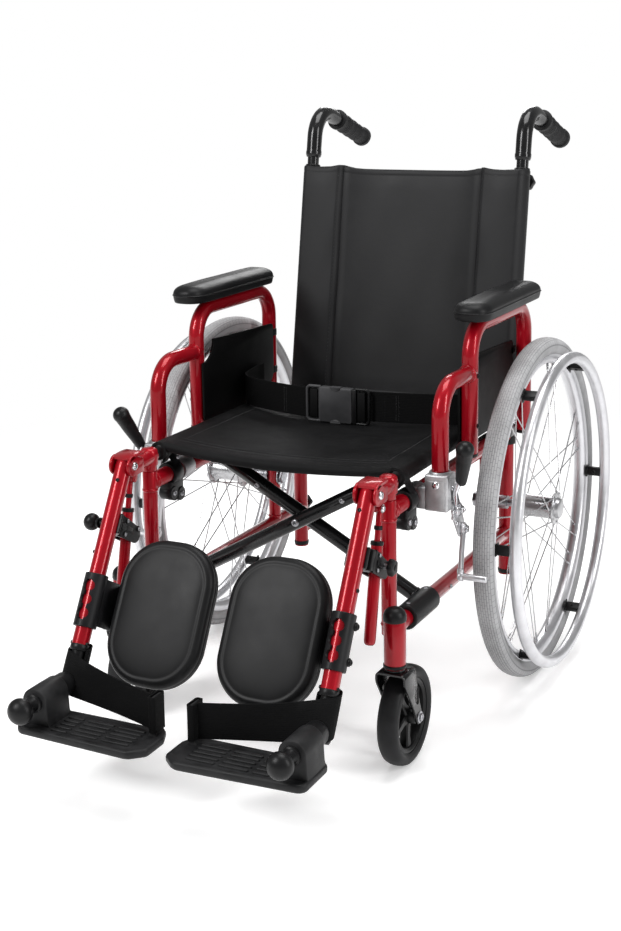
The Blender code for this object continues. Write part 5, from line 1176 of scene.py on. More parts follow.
def shoe_shape(mesh):
    x = LEVER_X
    eye, end = spot(x, *PIVOT_SHOE), spot(x, SHOE_Y, SHOE_Z)
    eye_ring(mesh, eye, 0.0095)
    bend = eye.lerp(end, 0.45) + Vector((0, -0.002, 0))
    path = resampled(rounded([eye + (bend - eye).normalized() * 0.008, bend, end], 0.05), 0.0025)
    span = len(path) - 1
    flattened(mesh, path, [0.013 - 0.003 * i / span for i in range(span + 1)], [0.0062] * (span + 1))
    bar = [spot(x, SHOE_Y, SHOE_Z + 0.012), end, spot(WHEEL_X + 0.014, SHOE_Y, SHOE_Z)]
    soft_pipe(mesh, rounded(bar, 0.0052), SHOE_R, 24)
    collar = [(0, -0.003), (0.0064, -0.003), (0.0072, -0.002), (0.0072, 0.0034), (0.0064, 0.0044),
        (0, 0.0044)]
    lathe(mesh, collar, frame_of(end, (1, 0, 0)), 28)


def brake_grip_shape(mesh):
    way = GRIP_HIGH - GRIP_LOW
    profile = [(0, -0.006), (0.0066, -0.006), (0.0078, -0.0048), (0.0086, 0.001), (0.0098, 0.018),
        (0.0113, 0.036)]
    profile += [(0.0117, 0.044), (0.0116, 0.0456), (0.0118, 0.0472)]
    profile += [(0.0134 * a, way.length - 0.0075 + 0.0128 * b) for a, b in around((0, 0), 1, -20, 90, 11)]
    profile[-1] = (0, profile[-1][1])
    lathe(mesh, profile, frame_of(GRIP_LOW, way), 40)


both_sides(lever_shape, "lock_lever", polished, "brake_lever", "silver", ["brake_lever"])
both_sides(shoe_shape, "lock_shoe", silver, "brake_shoe", "silver", ["brake_shoe"])
both_sides(brake_grip_shape, "lock_grip", plastic, "brake_lever", "black_plastic", sharp=50)

# %% [markdown]
# ## Scissor brace
# Two enamelled bars cross under the seat. A sleeve at each bar's foot turns on a lower rail, a bright
# bolt joins the bars where they cross, and each bar's head is welded to the tube that carries the seat.

# %% Brace bars
BRACE_R = 0.0115
SLEEVE_R = 0.019
SLEEVE_FRONT, SLEEVE_BACK = -0.352, -0.258
BRACE_PLANE, BRACE_STEP = -0.302, 0.026
RAIL_Z, RAIL_R = 0.414, 0.011
RAIL_FRONT, RAIL_BACK = -0.382, 0.048


def brace_bar(name, foot_side, plane, body, node):
    foot_x, head_x = foot_side * FRAME_X, -foot_side * FRAME_X
    foot, head = spot(foot_x, plane, LOWER_Z), spot(head_x, plane, RAIL_Z)
    way = (head - foot).normalized()
    mesh = bmesh.new()
    soft_pipe(mesh, [foot + way * 0.016, head - way * 0.008], BRACE_R, 32)
    soft_pipe(mesh, [spot(head_x, RAIL_FRONT, RAIL_Z), spot(head_x, RAIL_BACK, RAIL_Z)], RAIL_R, 32)
    weld(mesh, foot + way * (SLEEVE_R - 0.0004), way, BRACE_R)
    weld(mesh, head - way * (RAIL_R + 0.0002), way, BRACE_R)
    settle(name, mesh, black_gloss, body, "black_paint", [node], sharp=45)
    mesh = bmesh.new()
    half = (SLEEVE_BACK - SLEEVE_FRONT) / 2
    tube = [(TUBE + 0.0006, half), (SLEEVE_R - 0.0014, half), (SLEEVE_R, half - 0.0014)]
    lathe(mesh, hoop_of(tube), facing(foot_x, (SLEEVE_BACK + SLEEVE_FRONT) / 2, LOWER_Z, 0, 1, 0), 44)
    cap = [(0, 0.0036), (0.0085, 0.0034), (0.0108, 0.002), (0.0114, 0), (0.0114, -0.005), (0.01, -0.0056),
        (0, -0.0056)]
    for y, out in ((RAIL_FRONT, -1), (RAIL_BACK, 1)):
        lathe(mesh, cap, facing(head_x, y, RAIL_Z, 0, out, 0), 32)
    settle(name + "_sleeve", mesh, plastic, body, "black_paint")
    mesh = bmesh.new()
    place, middle = foot.lerp(head, 0.7), foot.lerp(head, 0.5)
    button_head(mesh, frame_of(place + Vector((0, 0.0006 - BRACE_R, 0)), (0, -1, 0)), 0.0046, 0.0028)
    if body == "brace_front":
        rear = middle + Vector((0, BRACE_STEP + BRACE_R + 0.0016, 0))
        button_head(mesh, frame_of(middle + Vector((0, 0.0004 - BRACE_R, 0)), (0, -1, 0)), 0.0062, 0.0036)
        hex_head(mesh, frame_of(rear, (0, 1, 0)), 0.0058, 0.0046)
    for y in (SLEEVE_FRONT + 0.012, SLEEVE_BACK - 0.012):
        button_head(mesh, facing(foot_x, y, LOWER_Z + SLEEVE_R - 0.0005, 0, 0, 1), 0.0032, 0.0018)
    settle(name + "_bolts", mesh, zinc, body, "black_paint")


brace_bar("brace_bar_front", -1, BRACE_PLANE, "brace_front", "brace_front_bar")
brace_bar("brace_bar_rear", 1, BRACE_PLANE + BRACE_STEP, "brace_rear", "brace_rear_bar")
print("brace bars ready")

# %% [markdown]
# ### Caster forks
# The fork is one steel strap bent to a U over the tyre: it is wide where it is bolted under the stem's
# flange and narrows to the axle bolt. The slot in each leg is a thin near-black plate on each face, painted
# shade in place of the opening. A lathe makes the flange and the bolts.

# %% Caster forks
FORK_INNER, FORK_THICK, FORK_BEND = CASTER_HALF + 0.0035, 0.004, 0.007
FORK_OUTER = FORK_INNER + FORK_THICK
CROWN_Z = 2 * CASTER_RADIUS + 0.0035


def caster_fork_shape(mesh):
    front, back = STEM_Y - 0.0185, STEM_Y + 0.023
    middle_y, half_y = (front + back) / 2, (back - front) / 2
    # half of the strap's run, up one leg and round its bend: x, z, half width and centre in y, and normal
    run = []
    for index in range(13):
        z = CASTER_Z - 0.0085 + (CROWN_Z - FORK_BEND - CASTER_Z + 0.0085) * index / 12
        fade = max(0.0, (z - CASTER_Z) / (CROWN_Z - CASTER_Z))
        centre = CASTER_Y + (middle_y - CASTER_Y) * min(fade * 1.18, 1.0)
        half = 0.0105 + (half_y - 0.0105) * min(max(fade * 1.25 - 0.1, 0.0), 1.0) ** 1.3
        half = 0.0062 if index == 0 else half * (0.98 if index == 1 else 1)
        run.append((FORK_OUTER, z, half, centre, 1, 0))
    corner = (FORK_OUTER - FORK_BEND, CROWN_Z + FORK_THICK - FORK_BEND)
    bend = around(corner, FORK_BEND, 15, 90, 5)
    run += [(x, z, half_y, middle_y, a, b) for (x, z), (a, b) in zip(bend, around((0, 0), 1, 15, 90, 5))]
    run += [(-x, z, half, centre, -a, b) for x, z, half, centre, a, b in reversed(run)]
    edge = [(-1, -0.2), (-0.94, 0), (0.94, 0), (1, -0.2), (1, -0.8), (0.94, -1), (-0.94, -1), (-1, -0.8)]
    sections = []
    for x, z, half, centre, a, b in run:
        x += STEM_X
        ring = [(x + a * d * FORK_THICK, centre + dy * half, z + b * d * FORK_THICK) for dy, d in edge]
        sections.append([spot(*point) for point in ring])
    loft(mesh, sections)
    top = at(STEM_X, STEM_Y, CROWN_Z + FORK_THICK)
    flange = [(0, -0.001), (0.0138, -0.001), (0.0146, 0.0004), (0.0146, 0.003), (0.0132, 0.0044), (0, 0.0044)]
    lathe(mesh, flange, top, 40)
    rod(mesh, top, 0.006, -0.004, 0.06, 24)


def caster_slot_shade_shape(mesh):
    """The slot of each leg, a thin near-black plate on both of its faces: painted shade where the slot opens.
    """
    outline = link_outline((0, 0), (0, 0.02), 0.0036, 0.0036, 10)
    for side in (-1, 1):
        for face in (0.0002, -0.0042):
            place = at(STEM_X + side * (FORK_OUTER + face), (CASTER_Y + STEM_Y) / 2 + 0.01, CASTER_Z + 0.026)
            stand = Matrix(((0, 0, side, 0), (1, 0, 0, 0), (0, 1, 0, 0), (0, 0, 0, 1)))
            stood_plate(mesh, outline, 0.0004, 0.0001, place @ stand)


def caster_bolts_shape(mesh):
    washer = [(0, 0), (0.0088, 0), (0.0088, 0.0009), (0.0082, 0.0013), (0, 0.0013)]
    for side in (-1, 1):
        head = facing(STEM_X + side * FORK_OUTER, CASTER_Y, CASTER_Z, side, 0, 0)
        lathe(mesh, washer, head, 28)
        hex_head(mesh, head @ shift(0, 0, 0.0012), 0.0062, 0.003)
        button_head(mesh, head @ shift(0, 0, 0.004), 0.0034, 0.0012)
    spacer = [(0, FORK_INNER), (0.006, FORK_INNER), (0.006, FORK_INNER - 0.002), (0.0042, FORK_INNER - 0.002)]
    lathe(mesh, both_ends(spacer), facing(STEM_X, CASTER_Y, CASTER_Z, 1, 0, 0), 24)


both_sides(caster_fork_shape, "fork_strap", black_gloss, "caster_swivel", "black_paint", ["caster_fork"],
    sharp=45)
both_sides(caster_slot_shade_shape, "fork_slot_painted_shade", painted_slot_shade, "caster_swivel", "black_paint", sharp=45)
both_sides(caster_bolts_shape, "fork_bolts", zinc, "caster_swivel", "black_paint")

# %% [markdown]
# ## Legrests
# A red hanger turns on the front post. Its ears hold the top of the leg tube, which swings up about the
# bolt between them. Beside it a slim strut hangs from a lug and slides through a black lock block. The
# leg tube's own frame is used for all that sits on it: local Z goes up the tube and local Y to its rear.

# %% Legrest measures
LEG_LEAN = radians(29.4)
CLEVIS_Y, CLEVIS_Z = -0.482, 0.416
HANGER_Z = 0.412
LEG_END = 0.274
EXTENSION_R, EXTENSION_END = 0.01, 0.338
STRUT_Y, STRUT_Z, STRUT_X = -0.457, 0.3895, 0.205
STRUT_LEAN, STRUT_R = radians(12.0), 0.0085
BLOCK_DISTANCE = 0.087
CALF_DISTANCE = 0.205


def leg_frame(distance, x=FRAME_X):
    drop = Vector((0, -sin(LEG_LEAN), -cos(LEG_LEAN))) * distance
    return Matrix.Translation(spot(x, CLEVIS_Y, CLEVIS_Z) + drop) @ Matrix.Rotation(-LEG_LEAN, 4, "X")


def leg_spot(distance):
    return leg_frame(distance).translation


def strut_frame(distance):
    place = spot(STRUT_X, STRUT_Y - distance * sin(STRUT_LEAN), STRUT_Z - distance * cos(STRUT_LEAN))
    return frame_of(place, (0, -sin(STRUT_LEAN), -cos(STRUT_LEAN)))


# %% Hanger
def hanger_shape(mesh):
    x = FRAME_X
    inner, outer = TUBE + 0.0006, TUBE + 0.0048
    end_y = CLEVIS_Y + 0.027
    soft_pipe(mesh, [spot(x, POST_Y + 0.01, HANGER_Z), spot(x, end_y - 0.004, HANGER_Z)], TUBE, 32, 0.003)
    cap = [(0, 0.0148), (0.009, 0.014), (0.0124, 0.0116), (0.0135, 0.008), (0.0135, -0.0108),
        (0.0126, -0.013)]
    lathe(mesh, cap + [(0, -0.013)], at(x, POST_Y, HANGER_Z), 36)
    neck = [(0, 0), (0.0104, 0), (0.0112, 0.001), (0.0112, 0.012), (0, 0.012)]
    lathe(mesh, neck, at(x, POST_Y, POST_TOP + 0.0004), 32)
    # the fork of the clevis: a strap that comes out of the tube, with a round ear on each side
    ear = around((CLEVIS_Y, CLEVIS_Z), 0.0158, 92, 262, 14)
    ear += [(end_y - 0.006, HANGER_Z - 0.0108), (end_y + 0.001, HANGER_Z - 0.0086)]
    ear += [(end_y + 0.001, HANGER_Z + 0.0098), (end_y - 0.006, HANGER_Z + 0.0124)]
    for side in (-1, 1):
        upright_plate(mesh, ear, outer - inner, x + inner if side > 0 else x - outer, 0.0012)
        boss = facing(x + side * (outer - 0.0006), CLEVIS_Y, CLEVIS_Z, side, 0, 0)
        lathe(mesh, [(0, 0), (0.0092, 0), (0.0088, 0.001), (0, 0.0012)], boss, 28)
    # the bridge between the ears, and the folded top of the clevis from ear to ear
    bridge, crown = [], []
    brim = [(-outer, -0.005), (-outer, -0.0016), (0.003 - outer, 0), (outer - 0.003, 0)]
    brim += [(outer, -0.0016), (outer, -0.005), (outer - 0.0034, -0.0036), (0.0034 - outer, -0.0036)]
    oval = circle_points(1, 24)
    for t in (step / 8 for step in range(9)):
        half = outer - 0.0016 * (2 * t - 1) ** 2 - 0.0012 * t
        tall = 0.0118 - 0.001 * t
        y, z = end_y - 0.0075 + 0.0125 * t, HANGER_Z + 0.0006
        bridge.append([spot(x + half * fuller(a, 0.5), y, z + tall * fuller(b, 0.55)) for a, b in oval])
        y = CLEVIS_Y - 0.0075 + (end_y + 0.0085 - CLEVIS_Y) * t
        z = CLEVIS_Z + 0.0186 - 0.0052 * (1 - t) ** 3 - 0.0016 * t
        crown.append([spot(x + a, y, z + b) for a, b in brim])
    loft(mesh, bridge)
    loft(mesh, crown)
    lug = [(STRUT_Y + 0.0085, HANGER_Z - 0.01), (STRUT_Y - 0.0015, HANGER_Z - 0.01)]
    lug += around((STRUT_Y, STRUT_Z), 0.0065, 180, 360, 10)
    upright_plate(mesh, lug, 0.0045, STRUT_X - 0.0089, 0.0008)


def hanger_bolts_shape(mesh):
    for side in (-1, 1):
        head = facing(FRAME_X + side * (TUBE + 0.0054), CLEVIS_Y, CLEVIS_Z, side, 0, 0)
        button_head(mesh, head, 0.0062, 0.0034)
    head = facing(STRUT_X + 0.0044, STRUT_Y, STRUT_Z, 1, 0, 0)
    rod(mesh, head, 0.0062, 0, 0.0008, 20)
    button_head(mesh, head @ shift(0, 0, 0.0006), 0.005, 0.0024)
    head = facing(FRAME_X + TUBE * 0.8, POST_Y, HANGER_Z + TUBE * 0.62, 0.8, 0, 0.62)
    button_head(mesh, head, 0.0036, 0.002)


both_sides(hanger_shape, "hanger_tube", red, "legrest_swing", "red_paint", ["hanger"], sharp=48)
both_sides(hanger_bolts_shape, "hanger_bolts", polished, "legrest_swing", "red_paint")


# %% Leg tube and strut
def leg_tube_shape(mesh):
    """The tube's head is pressed a little flat and rounded over between the ears."""
    place = leg_frame(0.0)
    rows = [(0.0122, 0.2), (0.0116, 0.42), (0.0098, 0.66), (0.007, 0.86), (0.003, 0.97), (-0.001, 1),
        (-0.012, 1)]
    rings = []
    for lift, share in rows:
        wide = 0.0125 if lift > -0.012 else TUBE
        rings.append((lift, wide * (0.86 + 0.14 * share), TUBE * share))
    straight = (0.03, 0.06, 0.12, 0.18, 0.24, LEG_END - 0.0012, LEG_END - 0.0004)
    rings += [(-distance, TUBE, TUBE) for distance in straight]
    rings.append((-LEG_END, TUBE - 0.0008, TUBE - 0.0008))
    turn = circle_points(1, 36)
    loft(mesh, [[place @ Vector((wide * a, deep * b, z)) for a, b in turn] for z, wide, deep in rings])


def leg_fittings_shape(mesh):
    plug = [(EXTENSION_R, -0.005), (0.0128, -0.005), (0.0136, -0.0036), (0.0136, 0.003), (0.0128, 0.0042)]
    lathe(mesh, plug + [(EXTENSION_R, 0.0042), plug[0]], leg_frame(LEG_END - 0.0012), 36)
    button_head(mesh, leg_frame(0.026) @ shift(-0.003, 0.0004 - TUBE, 0) @ turned(90, "X"), 0.003, 0.0026)
    for distance, side in ((0.134, 1), (0.2674, 1), (0.2674, -1)):
        head = leg_frame(distance) @ shift(side * (TUBE - 0.0004), -0.002, 0) @ turned(90 * side, "Y")
        button_head(mesh, head, 0.003, 0.0026)


def strut_shape(mesh):
    ring = [(0.0029, 0), (0.0058, 0), (0.0065, 0.0008), (0.0065, 0.0072), (0.0058, 0.008), (0.0029, 0.008),
        (0.0029, 0)]
    lathe(mesh, ring, facing(STRUT_X - 0.004, STRUT_Y, STRUT_Z, 1, 0, 0), 28)
    soft_pipe(mesh, [strut_frame(0.0045).translation, strut_frame(0.06).translation], 0.0045, 20)
    profile = [(0, 0), (0.0062, 0), (0.008, 0.0012), (0.0085, 0.0034), (0.0085, 0.138), (0.008, 0.142),
        (0.006, 0.1446)]
    lathe(mesh, profile + [(0, 0.1456)], strut_frame(0.046), 28)


def strut_fittings_shape(mesh):
    for distance, r, sides in ((0.024, 0.0066, 6), (0.0455, 0.0094, 28)):
        nut = [(0, 0), (r - 0.0008, 0), (r, 0.0008), (r, 0.0052), (r - 0.0008, 0.006), (0, 0.006)]
        lathe(mesh, nut, strut_frame(distance), sides)


both_sides(leg_tube_shape, "leg_pipe", red, "leg", "red_paint", ["leg_tube"], sharp=50)
both_sides(leg_fittings_shape, "leg_fittings", plastic, "leg", "black_plastic")
both_sides(strut_shape, "strut_rod", red, "strut", "red_paint", ["strut"], sharp=45)
both_sides(strut_fittings_shape, "strut_nuts", plastic, "strut", "black_plastic", sharp=35)

# %% Lock block
LOCK_PLACE = leg_frame(BLOCK_DISTANCE)
CHEEK = 0.004
CHEEK_IN = STRUT_R + 0.0012
CHEEK_OUT = CHEEK_IN + CHEEK
STRUT_SIDE = STRUT_X - FRAME_X
LOCK_SCREWS = ((0.033, 0.0105), (0.0345, -0.01), (0.068, 0.0065))


def lock_block_shape(mesh):
    part = bmesh.new()
    saddle = []
    for step in range(25):
        a = radians(8 + 164 * step / 24)
        thin = 0.001 if step in (0, 24) else 0.0
        half = [(TUBE + 0.0004, 0.015 - thin), (TUBE + 0.0038 - thin, 0.015 - thin),
            (TUBE + 0.0048 - thin, 0.0138 - thin)]
        saddle.append([Vector((r * cos(a), r * sin(a), z)) for r, z in both_ends(half)])
    loft(part, saddle)
    low, high = STRUT_SIDE - CHEEK_OUT + 0.0006, STRUT_SIDE + CHEEK_OUT - 0.0006
    block(part, (low, 0.013, -0.015), (high, 0.034, 0.015), 0.0022, 3)
    outline = [(0.022, -0.016)] + around((0.066, -0.003), 0.013, -80, 80, 10) + [(0.022, 0.016)]
    for side in (-1, 1):
        low = STRUT_SIDE + (CHEEK_IN if side > 0 else -CHEEK_OUT)
        stood_plate(part, outline, CHEEK, 0.001, shift(low, 0, 0) @ UPRIGHT)
        rib = STRUT_SIDE + side * (CHEEK_OUT - 0.0004)
        low, high = sorted((rib, rib + side * 0.0024))
        block(part, (low, 0.03, -0.0035), (high, 0.052, 0.0035), 0.0009)
        for y, z in LOCK_SCREWS:
            boss = shift(rib, y, z) @ turned(90 * side, "Y")
            lathe(part, [(0, 0.0022), (0.0034, 0.0022), (0.0042, 0.0014), (0.0044, 0), (0, 0)], boss, 20)
    post = shift(STRUT_SIDE - CHEEK_OUT, 0.024, -0.0005) @ turned(-90, "Y")
    lathe(part, [(0, 0.004), (0.0056, 0.0038), (0.0066, 0.0024), (0.0066, 0), (0, 0)], post, 24)
    merge_in(mesh, part, LOCK_PLACE)


def lock_screws_shape(mesh):
    for side in (-1, 1):
        for y, z in LOCK_SCREWS:
            head = shift(STRUT_SIDE + side * (CHEEK_OUT + 0.0016), y, z) @ turned(90 * side, "Y")
            button_head(mesh, LOCK_PLACE @ head, 0.0028, 0.0016)
    pin = shift(STRUT_SIDE + CHEEK_OUT - 0.001, 0.056, 0) @ turned(90, "Y")
    rod(mesh, LOCK_PLACE @ pin, 0.0042, 0, 0.011, 20)


def left_lock_knob(mesh):
    place = shift(STRUT_SIDE + CHEEK_OUT + 0.0085, 0.056, 0) @ turned(90, "Y")
    lobed_knob(mesh, LOCK_PLACE @ place, 0.0128, 0.0092)


def right_lock_knob(mesh):
    place = LOCK_PLACE @ shift(0.031, 0.0222, 0) @ turned(90, "Y")
    rod(mesh, place, 0.0042, -0.017, 0.004, 20)
    radius, neck = 0.0132, 0.0132 * 0.55
    profile = [(0, 0), (neck * 1.15, 0), (neck, 0.0014), (neck * 1.02, 0.004)]
    lathe(mesh, profile + ball_profile(radius, radius * 0.94, 0.004 + radius * 0.82, 16), place, 36)


both_sides(lock_block_shape, "lock_block", plastic, "leg", "black_plastic", ["strut_lock"], sharp=38)
both_sides(lock_screws_shape, "lock_screws", zinc, "leg", "black_plastic")
# The left lock has a lobed knob behind it, the right one a ball out at its side.
for (side, sign), shape in zip(SIDES, (left_lock_knob, right_lock_knob)):
    mesh = bmesh.new()
    shape(mesh)
    settle(f"{side}_lock_knob", mesh, plastic, f"{side}_leg", "black_plastic", mirror=sign < 0, sharp=45)

# %% [markdown]
# ### Calf bracket
# A plate bent round the leg tube slides on it. Its front is cut open in a slot with three pairs of
# scallops, which show the red tube, and its inner edge runs out to a flat arm behind the calf pad's tray.
# It is lofted along the tube from open rings, and the slot's outline says how far each ring stays open.

# %% Calf bracket
SLEEVE_HALF = 0.039
SLEEVE_INNER, SLEEVE_THICK = TUBE + 0.0008, 0.0036
SLOT_HALF, SLOT_WIDTH = 0.029, 0.004
SCALLOPS = (0.02, 0.0, -0.02)
CALF_X, CALF_BACK = 0.0905, 0.032
CALF_PLACE = leg_frame(CALF_DISTANCE)
TO_PAD = CALF_X - FRAME_X


def slot_half_width(z):
    """Half the slot's width at a height: a straight slot with three scallops on each edge."""
    if abs(z) > SLOT_HALF:
        return 0.00004
    width = SLOT_WIDTH
    for centre in SCALLOPS:
        off = (z - centre) / 0.0066
        if abs(off) < 1:
            width = max(width, SLOT_WIDTH + 0.0052 * sqrt(1 - off * off))
    return width


def calf_bracket_shape(mesh):
    outer = SLEEVE_INNER + SLEEVE_THICK
    heights = [-SLEEVE_HALF, -SLEEVE_HALF + 0.0008, -0.0292]
    heights += [2 * SLOT_HALF * index / 72 - SLOT_HALF for index in range(73)]
    heights += [0.0292, SLEEVE_HALF - 0.0008, SLEEVE_HALF]
    sections = []
    for z in heights:
        trim = 0.0008 if abs(z) > SLEEVE_HALF - 0.0002 else 0.0
        start = slot_half_width(z) / (SLEEVE_INNER + 0.0018)
        ring = []
        for radius, turns in ((outer - trim, range(49)), (SLEEVE_INNER, range(48, -1, -1))):
            for step in turns:
                a = -pi / 2 + start + (2 * pi - 2 * start) * step / 48
                ring.append(CALF_PLACE @ Vector((radius * cos(a), radius * sin(a), z)))
        sections.append(ring)
    loft(mesh, sections)
    back = CALF_BACK + 0.0083
    arm = [(TO_PAD - 0.03, -0.014), (TO_PAD - 0.03, 0.014), (TO_PAD - 0.02, 0.019), (-0.03, 0.03)]
    arm += [(-0.006, 0.034), (-0.006, -0.034), (-0.03, -0.03), (TO_PAD - 0.02, -0.019)]
    lying = Matrix(((1, 0, 0, 0), (0, 0, 1, back), (0, 1, 0, 0), (0, 0, 0, 1)))
    stood_plate(mesh, arm, 0.004, 0.001, CALF_PLACE @ lying)
    part = bmesh.new()
    block(part, (-0.0172, 0.004, -0.0345), (-0.0134, back + 0.0036, 0.0345), 0.0012)
    block(part, (-0.008, 0.0125, -0.03), (-0.004, back + 0.003, 0.03), 0.0012)
    merge_in(mesh, part, CALF_PLACE)


def calf_screws_shape(mesh):
    for z in (0.024, -0.024):
        head = CALF_PLACE @ shift(0.0158, 0.006, z) @ turned(90, "Y")
        lathe(mesh, [(0, 0), (0.006, 0), (0.006, 0.0022), (0.0052, 0.003), (0, 0.003)], head, 24)
        button_head(mesh, head @ shift(0, 0, 0.0028), 0.0044, 0.003)
    for x in (TO_PAD - 0.016, -0.05):
        button_head(mesh, CALF_PLACE @ shift(x, CALF_BACK + 0.0123, 0) @ turned(-90, "X"), 0.0048, 0.0028)


both_sides(calf_bracket_shape, "calf_sleeve", enamel_matt, "calf", "black_paint", ["calf_bracket"])
both_sides(calf_screws_shape, "calf_screws", plastic, "calf", "black_plastic")

# %% [markdown]
# ## Feet
# An inner tube slides out of the leg tube and ends in a moulded elbow. The footplate's barrel turns on
# the elbow's spindle between a collar and a round end knob, and the plate has rows of raised treads, a
# rolled edge and an upright post for the heel strap.

# %% Foot extension and end knob
FOOT_Z = 0.138
BARREL_R = 0.02
BARREL_BACK = CLEVIS_Y - EXTENSION_END * sin(LEG_LEAN) - 0.0265
BARREL_FRONT = BARREL_BACK - 0.054


def foot_elbow_shape(mesh):
    soft_pipe(mesh, [leg_spot(EXTENSION_END - 0.15), leg_spot(EXTENSION_END)], EXTENSION_R)
    cone = [(0, 0), (0.016, 0), (0.0175, 0.0014), (0.0175, 0.018), (0.0158, 0.023), (0.0125, 0.0262),
        (0, 0.027)]
    lathe(mesh, cone, facing(FRAME_X, BARREL_BACK + 0.0004, FOOT_Z, 0, 1, 0), 36)
    sock = [(0, 0.019), (0.0112, 0.019), (0.0124, 0.0176), (0.0128, 0.014), (0.014, -0.002), (0.0148, -0.011)]
    lathe(mesh, sock + [(0.0128, -0.015), (0, -0.0158)], leg_frame(EXTENSION_END - 0.014), 36)
    knob_place = facing(FRAME_X, BARREL_FRONT - 0.0004, FOOT_Z, 0, -1, 0)
    neck = [(0, 0), (0.0128, 0), (0.0134, 0.001), (0.0134, 0.0036), (0.0112, 0.005), (0.01, 0.011),
        (0.0102, 0.018)]
    lathe(mesh, neck + [(0, 0.018)], knob_place, 36)
    ball = ball_profile(0.0186, 0.016, 0.0316, 24)
    lathe(mesh, [(0, ball[0][1] + 0.001)] + ball, knob_place, 44)


both_sides(foot_elbow_shape, "foot_elbow", plastic, "foot", "black_plastic", ["foot_extension"], sharp=45)

# %% Footplate
PLATE_TOP = FOOT_Z - 0.031
PLATE_LOW = PLATE_TOP - 0.012
PLATE_IN, PLATE_OUT = 0.014, 0.224
PLATE_FRONT, PLATE_BACK = BARREL_FRONT - 0.024, BARREL_BACK + 0.006
POST_X, POST_THICK = PLATE_IN + 0.014, 0.004
TREAD_ROWS, TREAD_PITCH, TREAD_HALF = 5, 0.0108, 0.0026
TREAD_FIELDS = ((0.03, 0.074), (0.08, 0.124), (0.13, 0.156))


def filleted(corners, radii, steps=6):
    """A closed outline whose corners are rounded, each by its own radius."""
    points = []
    for index, (corner, radius) in enumerate(zip(corners, radii)):
        here = Vector(corner)
        into = (Vector(corners[index - 1]) - here).normalized()
        out = (Vector(corners[(index + 1) % len(corners)]) - here).normalized()
        half = into.angle(out) / 2
        start, stop = here + into * radius / tan(half), here + out * radius / tan(half)
        middle = here + (into + out).normalized() * radius / sin(half)
        a0 = atan2(start.y - middle.y, start.x - middle.x)
        a1 = atan2(stop.y - middle.y, stop.x - middle.x)
        if abs(a1 - a0) > pi:
            a1 -= copysign(2 * pi, a1 - a0)
        points += around(middle, radius, degrees(a0), degrees(a1), steps)
    return points


def box_corners(low_x, high_x, low_y, high_y):
    return [(low_x, low_y), (high_x, low_y), (high_x, high_y), (low_x, high_y)]


def plate_outline(inset):
    f, b = PLATE_FRONT + inset, PLATE_BACK - inset
    left, right = PLATE_IN + inset, PLATE_OUT - inset
    corners = [(left + 0.02, f), (right, f + 0.008), (right, b), (left + 0.01, b), (left, b - 0.022),
        (left, f + 0.018)]
    r = max(0.01 - inset, 0.003)
    return filleted(corners, [0.016, r + 0.004, r, 0.006, 0.006, 0.01])


def outline_loft(mesh, layers):
    """A loft of flat outlines, each with its height."""
    loft(mesh, [[spot(x, y, z) for x, y in outline] for outline, z in layers])


